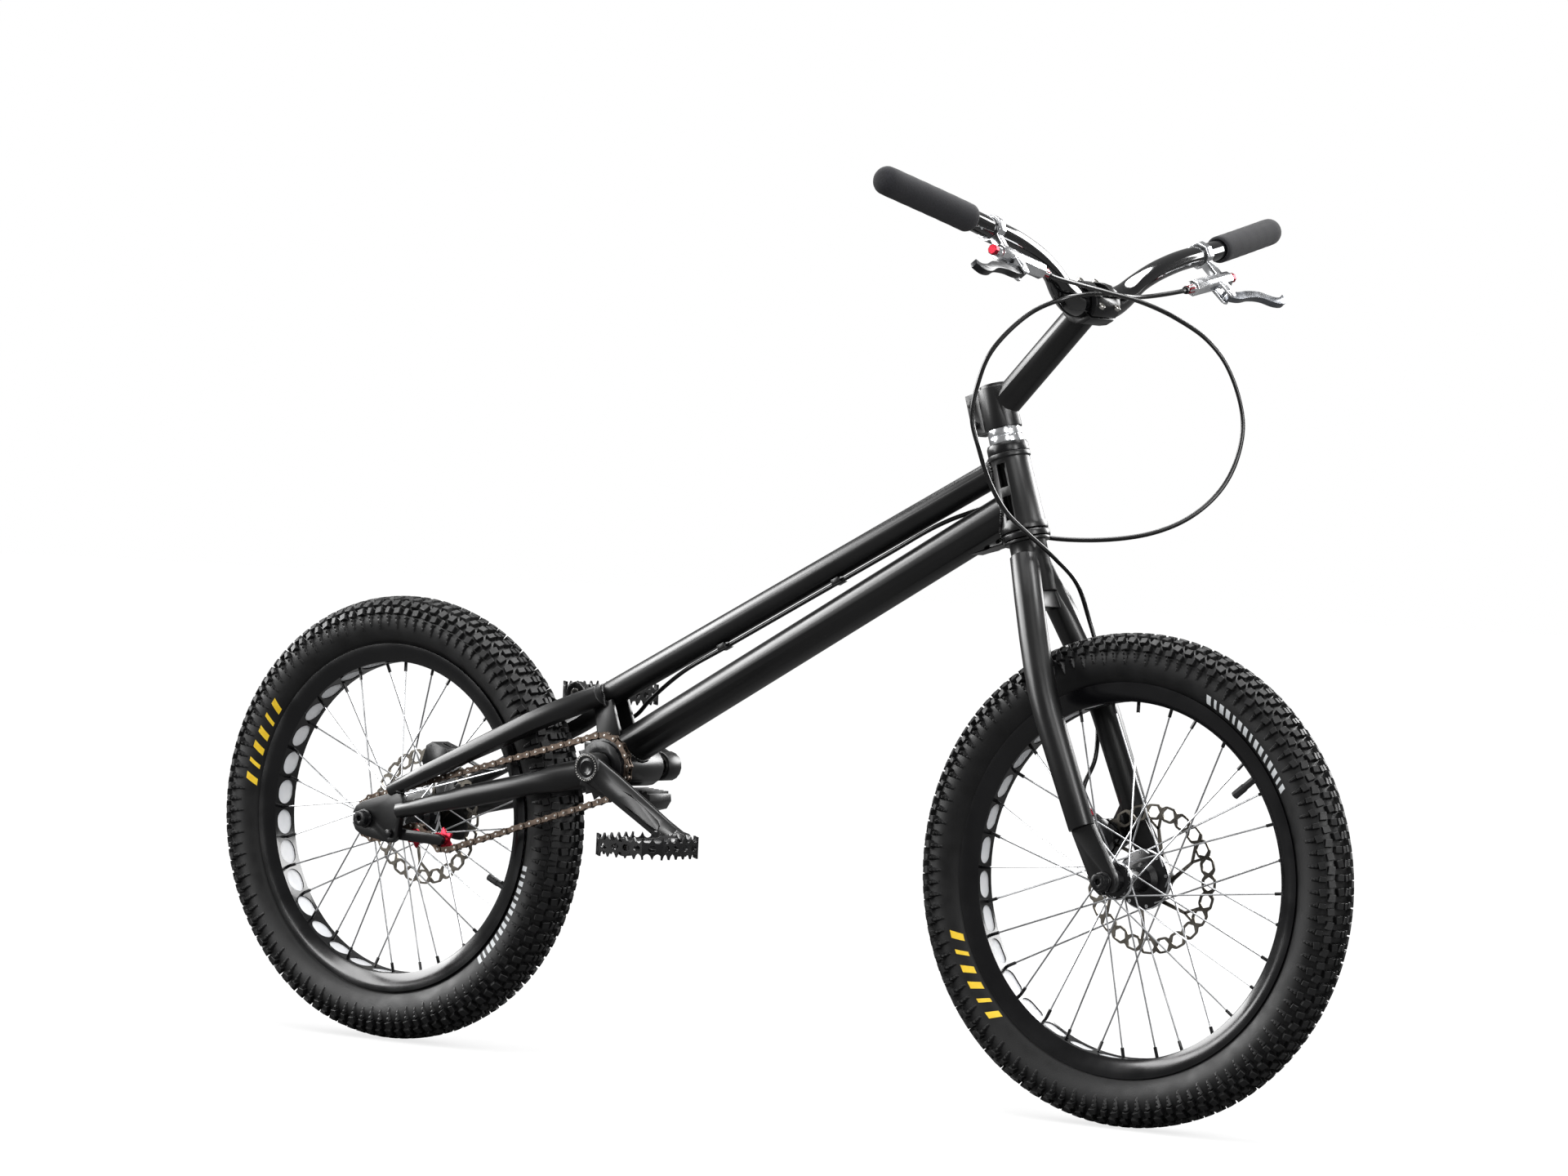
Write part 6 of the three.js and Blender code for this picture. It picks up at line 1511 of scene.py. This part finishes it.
# %% Cut the skid plate
RIBS = 5
RIB_PITCH, RIB_WIDE, RIB_DEEP, RIB_FALL = 7, 3.5, 3.0, 0.6
RIB_START, RIB_TOP = 12, -22.5
SKID_WIDE, SKID_EASE = 40, 0.8
skid = [(2, -24), (10, -23)]
for k in range(RIBS):
    x, top = RIB_START + RIB_PITCH * k, RIB_TOP - RIB_FALL * k
    skid += [(x, top), (x + RIB_WIDE, top), (x + RIB_WIDE, top - RIB_DEEP)]
skid += [(47, -28), (48, -36), (42, -45), (30, -48), (14, -45), (2, -36)]
skid_piece = flat_plate([[(x * MM, z * MM) for x, z in skid]], SKID_WIDE * MM)
modified(skid_piece, "BEVEL", width=SKID_EASE * MM, segments=2, limit_method="ANGLE", angle_limit=SHARP_ANGLE)
moved(skid_piece, Matrix.Translation(BRACKET))
finished(skid_piece, "skid_plate", "frame", hose_skin, "satin_black_paint", [], 35)
print("skid plate faces:", len(skid_piece.data.polygons))

# %% [markdown]
# ## The handlebar and its grips
# The bar is one tube, thick where the stem holds it and thinner towards the hands. It could be a curve with
# a bevel, but a skin of rings laid along the line of its solid also gives the grips: each ring has its own
# radius. The grips are sleeves of closed-cell foam, slightly fat, with a domed end.

# %% The bar's middle line
STEM_ANGLE = math.radians(29.4)
STEM_LENGTH = 160.0
STEM_START = 145.0


def on_steering(forward, side, up):
    """A place given along the steering axis from the fork crown's seat, in millimetres."""
    return CROWN_SEAT + (STEER_FORWARD * forward + STEER_UP * up + Vector((0, side, 0))) * MM


STEM_REACH = STEM_LENGTH * math.cos(STEM_ANGLE)
STEM_RISE = STEM_LENGTH * math.sin(STEM_ANGLE)
BAR_CENTRE = on_steering(STEM_REACH, 0, STEM_START + STEM_RISE)
BAR_HALF, BAR_SWEEP, BAR_RISE = 380.0, 9.5, 104.0
# Places along half of the bar, as shares of its half width, its sweep and its rise.
BAR_BENDS = [
    (0.084, 0, 0), (0.158, 0.21, 0.106), (0.218, 0.53, 0.25), (0.29, 0.74, 0.375), (0.382, 0.84, 0.49),
    (0.608, 0.63, 0.673), (1.013, -1, 1),
]


def bar_bend(side, share):
    """One place of the bends, on one side."""
    reach, forward, up = share
    return BAR_CENTRE + Vector((forward * BAR_SWEEP, side * reach * BAR_HALF, up * BAR_RISE)) * MM


bar_points = [bar_bend(-1, share) for share in reversed(BAR_BENDS)] + [BAR_CENTRE]
bar_points += [bar_bend(1, share) for share in BAR_BENDS]
bar_line = line_through(bar_points, 280, power=1.0)
print("bar line:", round(length_of(bar_line), 3), "m")


# %% A skin round the bar
def on_bar(side):
    """The place and the direction of the bar at a distance to the left, in millimetres."""
    wanted = side * MM
    pairs = list(zip(bar_line, bar_line[1:]))
    for a, b in pairs:
        if b.y >= wanted or (a, b) == pairs[-1]:
            share = (wanted - a.y) / (b.y - a.y)
            return a + (b - a) * share, (b - a).normalized()


def sleeve(profile, sides=32, mirror=False):
    """A skin round the bar, from (distance to the side, radius) pairs in millimetres."""
    way = -1 if mirror else 1
    stations = [(*on_bar(way * y), radius) for y, radius in profile]

    def place(row, column):
        at, along, radius = stations[round(row * (len(stations) - 1))]
        across = Vector((1, 0, 0)) - along * along.x
        across.normalize()
        over = along.cross(across)
        angle = TURN * column
        return at + (across * math.cos(angle) + over * math.sin(angle)) * radius * MM

    return tidied(grid_skin(len(stations) - 1, sides, place), 0.005 * MM)


print("bar 300 mm to the left:", [round(value, 3) for value in on_bar(300)[0]])

# %% Draw the bar
BAR_FAT, BAR_THIN = 15.9, 11.1
TAPER_START, TAPER_END = 30, 92
BAR_TIP, BAR_TIP_RADIUS = 379.5, 9.0
BAR_REACH, BAR_STEP = 379, 4


def bar_radius(y):
    """The bar's radius at a distance to the side: fat in the stem, then a smooth taper."""
    share = min(max((abs(y) - TAPER_START) / (TAPER_END - TAPER_START), 0), 1)
    share = share * share * (3 - 2 * share)
    return BAR_FAT + (BAR_THIN - BAR_FAT) * share


bar_profile = [(y, bar_radius(y)) for y in range(-BAR_REACH, BAR_REACH + 1, BAR_STEP)]
bar_piece = sleeve([(-BAR_TIP, BAR_TIP_RADIUS)] + bar_profile + [(BAR_TIP, BAR_TIP_RADIUS)])
finished(bar_piece, "bar_tube", "steering", gloss_paint, "gloss_black_bar", ["handlebar"], 60)
print("bar faces:", len(bar_piece.data.polygons))

# %% Draw the grips
GRIP_START, GRIP_END, GRIP_DOME = 245.0, 386.0, 12
GRIP_RADIUS, GRIP_WAVE = 15.0, 0.12
GRIP_RINGS, GRIP_RING_STEP = 17, 7.1
DOME_RINGS = 8

grip_profile = [
    (GRIP_START + 1.5, 11.3), (GRIP_START, 12.4), (GRIP_START + 0.4, 14.2), (GRIP_START + 2.4, GRIP_RADIUS),
]
for k in range(GRIP_RINGS):
    radius = GRIP_RADIUS + GRIP_WAVE * math.sin(2.1 * k)
    grip_profile.append((GRIP_START + 8 + k * GRIP_RING_STEP, radius))
for k in range(1, DOME_RINGS + 1):
    angle = k / DOME_RINGS * math.pi / 2
    radius = max(GRIP_RADIUS * math.cos(angle) ** 0.8, 0.02)
    grip_profile.append((GRIP_END - GRIP_DOME + GRIP_DOME * math.sin(angle), radius))
for tag, mirror in (("right", True), ("left", False)):
    grip_piece = sleeve(grip_profile, 32, mirror)
    finished(grip_piece, "foam_grip_" + tag, "steering", foam, "foam", ["grip_" + tag], 60)
    print(tag, "grip faces:", len(grip_piece.data.polygons))

# %% [markdown]
# ## Brake levers
# Each lever has a polished master cylinder on a clamp, a red hose nut at its inner end and a red adjuster at
# the outer one. The body is eased from its solid. The blade is a bent strip with rounded edges and a hooked
# tip, cut as an outline and bevelled.

# %% The lever's own place
LEVER_AT = Vector((426.641, 205.0, 935.103)) * MM
LEVER_OUT = Vector((-0.035612, 0.980960, 0.190916))
LEVER_AWAY = Vector((0.646073, 0.168347, -0.744479))
LEVER_OVER = LEVER_OUT.cross(LEVER_AWAY)
lever_turn = Matrix((LEVER_OUT, LEVER_AWAY, LEVER_OVER)).transposed().to_4x4()
lever_place = Matrix.Translation(LEVER_AT) @ lever_turn
MIRROR_Y = Matrix.Scale(-1, 4, (0, 1, 0))
print("left lever at:", [round(value, 3) for value in LEVER_AT])

# %% A lit and a shaded copy of one finish for the blades
# The right blade's copy is darker, which is painted shade, with a fine even grain, here as coarse as it needs
# to show.
shaded_blade = finish("blade_aluminium_painted_shade", "1b1c1e", "2a2b2e", (0.3, 0.42), 12 * MM, Metallic=0.6,
                  bump=0.01 * MM, bump_grain=0.6 * MM)
# The left blade's copy is the same aluminium in a lighter silver grey, as it looks where the light falls.
lit_blade = finish("blade_aluminium_lit", "5a5c60", "76797e", (0.24, 0.36), 12 * MM, Metallic=0.85)
print("blade finishes:", shaded_blade.name, lit_blade.name)


# %% The blade of a lever
PIVOT_IN, PIVOT_AWAY = -10.0, 57.0
BLADE_SHEET, BLADE_EASE = 7.6, 1.3
BLADE_LINE = [(-2, -1, 0), (16, 5, 0), (36, 6.5, 0), (58, 12, 0), (76, 22, 0), (90, 25, 0), (99, 21.5, 0)]
BLADE_HALVES = [5.4, 4.8, 4.4, 4.5, 4.6, 4.4, 3.6]
BLADE_STEPS = 28


def blade_half(share):
    """Half the blade's width at a share of its length."""
    place = share * (len(BLADE_HALVES) - 1)
    i = min(int(place), len(BLADE_HALVES) - 2)
    return BLADE_HALVES[i] + (BLADE_HALVES[i + 1] - BLADE_HALVES[i]) * (place - i)


def blade_shape():
    """The blade's outline, with its hook, cut from plate and rounded."""
    centre = line_through(BLADE_LINE, BLADE_STEPS)
    last = len(centre) - 1
    left_edge, right_edge = [], []
    for i, point in enumerate(centre):
        along = (centre[min(i + 1, last)] - centre[max(i - 1, 0)]).normalized()
        half = blade_half(i / last)
        left_edge.append((point.x - along.y * half, point.y + along.x * half))
        right_edge.append((point.x + along.y * half, point.y - along.x * half))
    outline = [((x + PIVOT_IN) * MM, (y + PIVOT_AWAY) * MM) for x, y in right_edge + left_edge[::-1]]
    piece = flat_plate([outline], BLADE_SHEET * MM)
    modified(piece, "BEVEL", width=BLADE_EASE * MM, segments=2, limit_method="ANGLE", angle_limit=SHARP_ANGLE)
    return moved(piece, Matrix.Rotation(-math.pi / 2, 4, "X"))


blade_length = length_of(line_through(BLADE_LINE, BLADE_STEPS))
print("blade:", round(blade_length, 1), "mm long")


# %% Pieces in a lever's place
def lever_piece(make, name, side, body, material, slot, stands_for=(), degrees=35):
    """Makes a piece in the lever's own directions and puts it on one side."""
    piece = moved(make(), lever_place)
    if side < 0:
        moved(piece, MIRROR_Y)
    return finished(piece, name, body, material, slot, stands_for, degrees)


def along_lever(radius, start, end, sides=6, away=37.0, ease=0.8):
    """A function that makes a nut or knob along the lever's cylinder."""
    section = [
        (0, start), (radius - ease, start), (radius, start + ease), (radius, end - ease),
        (radius - ease, end), (0, end),
    ]
    turn_to = Matrix.Translation((0, away * MM, 0)) @ Matrix.Rotation(-math.pi / 2, 4, "Z")
    return lambda: moved(spun(section, Vector(), sides), turn_to)


# %% Put the levers together
# Each small part has a name, what makes it, its finish and its slot.
for tag, side in (("right", -1), ("left", 1)):
    eased("brake_lever_body_" + tag, polished, "polished_alloy", 0.7)
    # The right blade gets the darker copy of the blade finish, which is painted shade.
    blade_finish = shaded_blade if side < 0 else lit_blade
    lever_piece(blade_shape, "lever_blade_" + tag, side, "lever_" + tag, blade_finish, "black_anodised",
                ["brake_lever_blade_" + tag])
    small_parts = [
        ("hose_nut_", along_lever(5.2, -74.5, -62.3), red_anodised, "red_anodised"),
        ("hose_sleeve_", along_lever(4.2, -78.5, -74.0, 16), anodised, "black_anodised"),
        ("adjuster_", along_lever(5.7, 20.5, 26.4, 8), red_anodised, "red_anodised"),
    ]
    for start, make, material, slot in small_parts:
        lever_piece(make, start + tag, side, "steering", material, slot)
    print(tag, "lever parts:", 2 + len(small_parts))

# %% [markdown]
# ## Hoses
# Both brake hoses are moulded nylon, 5 mm thick, and stiff enough to stand in a wide loop. The rear one runs
# in a big circle in front of the bike, goes beside the head tube and is clipped under the top tube. Its loop
# starts on the steering and ends on the frame, so it is hung on neither. The points are listed.

# %% The hoses' routes, as the source has them
HOSE_RADIUS = 2.5
HOSE_LEAD = 12.0
HOSE_GAP = 0.3
# These two are given along the steering axis, from the fork crown's seat.
REAR_LOOP = [
    (175, -30, 225), (179, 40, 215), (188, 85, 198), (198, 125, 172), (204, 145, 140), (201, 158, 86),
    (188, 152, 46), (169, 135, 14), (140, 110, -9), (103, 85, -18), (49, 55, -12),
]
FRONT_ROUTE = [
    (163, 70, 228), (167, -32, 224), (152, -75, 220), (121, -95, 212), (80, -118, 182), (57, -122, 152),
    (40, -120, 120), (33, -108, 87), (22, -84, 56), (17, -56, 25), (22, -32, 1), (28, 0, -26), (25, 40, -54),
    (16, 64, -89), (14, 70, -129), (-2, 73, -188), (-10, 60, -239), (-26, 50, -268),
]
# This one is given from the rear axle.
BESIDE_TYRE = [
    (341, 23, 156), (314, 31, 136), (280, 36, 125), (246, 42, 110), (200, 47, 92), (150, 49, 69),
    (115, 42, 62), (86, 43, 61),
]
# The rear hose goes back beside the head tube by these places, then along the top tube by these shares.
BESIDE_HEAD = [(-47, 23, 50), (-79, 8, 49)]
ALONG_TUBE = [0.19, 0.3, 0.42, 0.7, 0.8]
MEETING = on_steering(-11, 30, 16)
MEETING_LEAD = (on_steering(-25, 31, 33) - MEETING).normalized()
TOP_TUBE_FRONT = on_steering(0, 0, 84.6)
TOP_TUBE_REAR = REAR_AXLE + Vector((289, 0, 153)) * MM
TOP_TUBE_DOWN = (TOP_TUBE_REAR - TOP_TUBE_FRONT).normalized()
TOP_TUBE_UNDER = Vector((-TOP_TUBE_DOWN.z, 0, TOP_TUBE_DOWN.x))
TOP_TUBE_RADIUS, CLIP_TALL = 15, 5.5
UNDER_TUBE = TOP_TUBE_RADIUS + CLIP_TALL / 2 + HOSE_RADIUS / 2
print("the rear hose meets the frame at:", [round(value, 3) for value in MEETING])

# %% The hoses' ends
# The ports are given in the directions of the lever and of each caliper.
LEVER_PORT = (-74.3, 37)
FRONT_PORT, REAR_PORT = (90, 6, -8), (84, 2, -18)
PORT_REACH = 9.3
FRONT_CALIPER_TURN, REAR_CALIPER_TURN = math.radians(130), math.radians(72)
FRONT_DROPOUT = (42.3, -383)


def under_top_tube(share):
    """A place under the top tube, at a share of its length from the front."""
    return TOP_TUBE_FRONT.lerp(TOP_TUBE_REAR, share) + TOP_TUBE_UNDER * UNDER_TUBE * MM


def from_lever(side):
    """The first two points of a hose, straight out of its lever."""
    made = []
    along, away = LEVER_PORT
    for reach in (0, HOSE_LEAD):
        point = lever_place @ (Vector((along - reach, away, 0)) * MM)
        made.append(Vector((point.x, side * point.y, point.z)))
    return made


def to_front_caliper():
    """The last two points of the front hose, in the caliper's own directions and then in its place."""
    made = []
    forward, up = FRONT_DROPOUT
    x, y, z = FRONT_PORT
    for reach in (PORT_REACH + HOSE_LEAD, PORT_REACH):
        place = Matrix.Rotation(-FRONT_CALIPER_TURN, 4, "Y") @ Vector((x + reach, y, z))
        made.append(on_steering(forward + place.x, HUBS["front"]["rotor"] + place.y, up + place.z))
    return made


def to_rear_caliper():
    """The last two points of the rear hose."""
    made = []
    x, y, z = REAR_PORT
    for reach in (PORT_REACH + HOSE_LEAD, PORT_REACH):
        place = Matrix.Rotation(-REAR_CALIPER_TURN, 4, "Y") @ Vector((x, y, z - reach))
        made.append(REAR_AXLE + Vector((place.x, HUBS["rear"]["rotor"] + place.y, place.z)) * MM)
    return made


print("the front hose leaves its lever at:", [round(value, 3) for value in from_lever(1)[0]])

# %% Draw the hoses
def hose(name, body, points, steps, stands_for):
    """A hose through its points, as a mesh tube that keeps its own line; it rides one body, or none if given
    two.
    """
    path = line_through(points, steps)
    piece = wires([path], HOSE_RADIUS * MM, resolution=3)
    finished(piece, name, body, hose_skin, "hose_black", [stands_for], 60)
    return piece


rear_loop = from_lever(-1) + [on_steering(*p) for p in REAR_LOOP]
rear_loop += [MEETING - MEETING_LEAD * HOSE_LEAD * MM, MEETING]
rear_run = [MEETING + MEETING_LEAD * reach * MM for reach in (HOSE_GAP, HOSE_GAP + HOSE_LEAD)]
rear_run += [on_steering(*p) for p in BESIDE_HEAD]
rear_run += [under_top_tube(share) for share in ALONG_TUBE]
rear_run += [REAR_AXLE + Vector(p) * MM for p in BESIDE_TYRE] + to_rear_caliper()
front_run = from_lever(1) + [on_steering(*p) for p in FRONT_ROUTE] + to_front_caliper()
BEND_END = (120, 60, 16)
bend = ("frame", "steering", tuple(MEETING), tuple(on_steering(*BEND_END)))
hose("rear_hose_tube", bend, rear_loop, 150, "rear_hose_loop")
hose("rear_hose_line", "frame", rear_run, 150, "rear_hose_run")
hose("front_hose_tube", "steering", front_run, 160, "front_hose")

# %% The red fitting at the front caliper
FITTING_RADIUS, FITTING_HALF = 4.4, 5.5


def turned_to(along):
    """The matrix that turns the Y axis to a direction."""
    return Vector((0, 1, 0)).rotation_difference(along).to_matrix().to_4x4()


fitting = barrel(FITTING_RADIUS, FITTING_HALF, 0, 12)
fitting_turn = turned_to((front_run[-2] - front_run[-1]).normalized())
moved(fitting, Matrix.Translation(front_run[-1].lerp(front_run[-2], 0.5)) @ fitting_turn)
finished(fitting, "front_hose_fitting", "steering", red_anodised, "red_anodised", [], 40)
print("fitting at:", [round(value, 3) for value in front_run[-1]])

# %% [markdown]
# ## Weld beads and bolts
# The frame is welded, and a weld is a row of overlapping ripples that runs round the joint. The points of a
# tube's solid that touch its neighbour give the line of the joint, and small discs laid along that line give
# the ripples. A smooth tube along the line would be simpler, but the ripples are what the light shows. The
# stem's bolts have round heads with a socket, spun from one section.


# %% Find the line of a joint
def solid_tree(node):
    """A search tree of a solid's faces."""
    mesh = nodes[node].data
    return BVHTree.FromPolygons([v.co for v in mesh.vertices], [p.vertices for p in mesh.polygons])


def touches(point, trees, reach):
    """Whether a point lies within reach of any of the trees."""
    return any((tree.find_nearest(point, reach)[3] or 1) < reach for tree in trees)


def touching_line(tube, neighbours, reach=1.2, sectors=40):
    """The outer points where a tube's solid meets its neighbours, in order round the tube."""
    trees = [solid_tree(other) for other in neighbours]
    places = [v.co.copy() for v in nodes[tube].data.vertices]
    near = [p for p in places if touches(p, trees, reach * MM)]
    middle = sum(near, Vector()) / len(near)
    axis = (sum(places, Vector()) / len(places) - middle).normalized()
    across = axis.orthogonal().normalized()
    over = axis.cross(across)
    outermost = {}
    for point in near:
        gap = point - middle
        reach_out = gap - axis * gap.dot(axis)
        sector = int(math.atan2(gap.dot(over), gap.dot(across)) / TURN * sectors + sectors) % sectors
        if sector not in outermost or reach_out.length > outermost[sector][0]:
            outermost[sector] = (reach_out.length, point)
    return [outermost[sector][1] for sector in sorted(outermost)]


print("places round the top of the top tube:", len(touching_line("top_tube", ["head_tube"])))

# %% Lay the weld beads
# Every other ripple is a little larger, and each is a bit longer than its share of the line.
BIG_RIPPLE, SMALL_RIPPLE = 1.06, 0.96
RIPPLE_OVERLAP = 0.62


def weld(name, tube, neighbours, radius=2.1, ripple=1.5):
    """A bead of overlapping ripples round the joint of a tube with its neighbours."""
    around = touching_line(tube, neighbours)
    line = line_through(around, 6 * len(around), closed=True)
    count = int(length_of(line) / MM / ripple)
    ripples = []
    for k in range(count):
        i = k * (len(line) - 1) // count
        along = (line[i + 1] - line[i]).normalized()
        wide = radius * (BIG_RIPPLE if k % 2 else SMALL_RIPPLE)
        disc = barrel(wide, ripple * RIPPLE_OVERLAP, 0, 8)
        ripples.append(moved(disc, Matrix.Translation(line[i]) @ turned_to(along)))
    finished(joined(ripples), name, body_of(tube), powder_coat, "satin_black_paint", [], 50)
    return count


WELDS = {
    "top_tube_at_head": ("top_tube", ["head_tube"]),
    "down_tube_at_head": ("down_tube", ["head_tube"]),
    "top_tube_at_seat": ("top_tube", ["seat_tube"]),
    "down_tube_at_bracket": ("down_tube", ["bottom_bracket_shell", "seat_tube"]),
    "seat_tube_at_bracket": ("seat_tube", ["bottom_bracket_shell"]),
    "right_seat_stay_at_front": ("seat_stay_right", ["seat_tube", "top_tube"]),
    "left_seat_stay_at_front": ("seat_stay_left", ["seat_tube", "top_tube"]),
    "right_chain_stay_at_front": ("chain_stay_right", ["bottom_bracket_shell", "seat_tube"]),
    "left_chain_stay_at_front": ("chain_stay_left", ["bottom_bracket_shell", "seat_tube"]),
    "right_stays_at_rear": ("seat_stay_right", ["chain_stay_right"]),
    "left_stays_at_rear": ("seat_stay_left", ["chain_stay_left"]),
}
for name, (tube, neighbours) in WELDS.items():
    print("weld", name, weld("weld_" + name, tube, neighbours), "ripples")

# %% Bolt heads on the stem
STEM_ALONG = STEER_FORWARD * math.cos(STEM_ANGLE) + STEER_UP * math.sin(STEM_ANGLE)
STEM_OVER = STEER_UP * math.cos(STEM_ANGLE) - STEER_FORWARD * math.sin(STEM_ANGLE)
BOLT_RADIUS, BOLT_TALL, SOCKET_RADIUS, SOCKET_DEEP, BOLT_EASE = 4.0, 3.6, 1.7, 2.0, 0.5
BOLT_OUT, BOLT_OVER, BOLT_SIDE = 12, 19.5, 15


def bolt_head(place, along):
    """A socket-headed bolt at a place, its head towards along."""
    floor_at = BOLT_TALL - SOCKET_DEEP
    head = spun([
        (SOCKET_RADIUS, floor_at), (SOCKET_RADIUS, BOLT_TALL), (BOLT_RADIUS - BOLT_EASE, BOLT_TALL),
        (BOLT_RADIUS, BOLT_TALL - BOLT_EASE), (BOLT_RADIUS, 0), (0, 0), (0, floor_at),
    ], Vector(), 18)
    return moved(head, Matrix.Translation(place) @ turned_to(along))


heads = []
for over in (-BOLT_OVER, BOLT_OVER):
    for side in (-BOLT_SIDE, BOLT_SIDE):
        place = BAR_CENTRE + (STEM_ALONG * BOLT_OUT + STEM_OVER * over) * MM + Vector((0, side * MM, 0))
        heads.append(bolt_head(place, STEM_ALONG))
finished(joined(heads), "stem_bolt_heads", "steering", plated, "stainless", [], 35)
print("stem bolts:", len(heads))
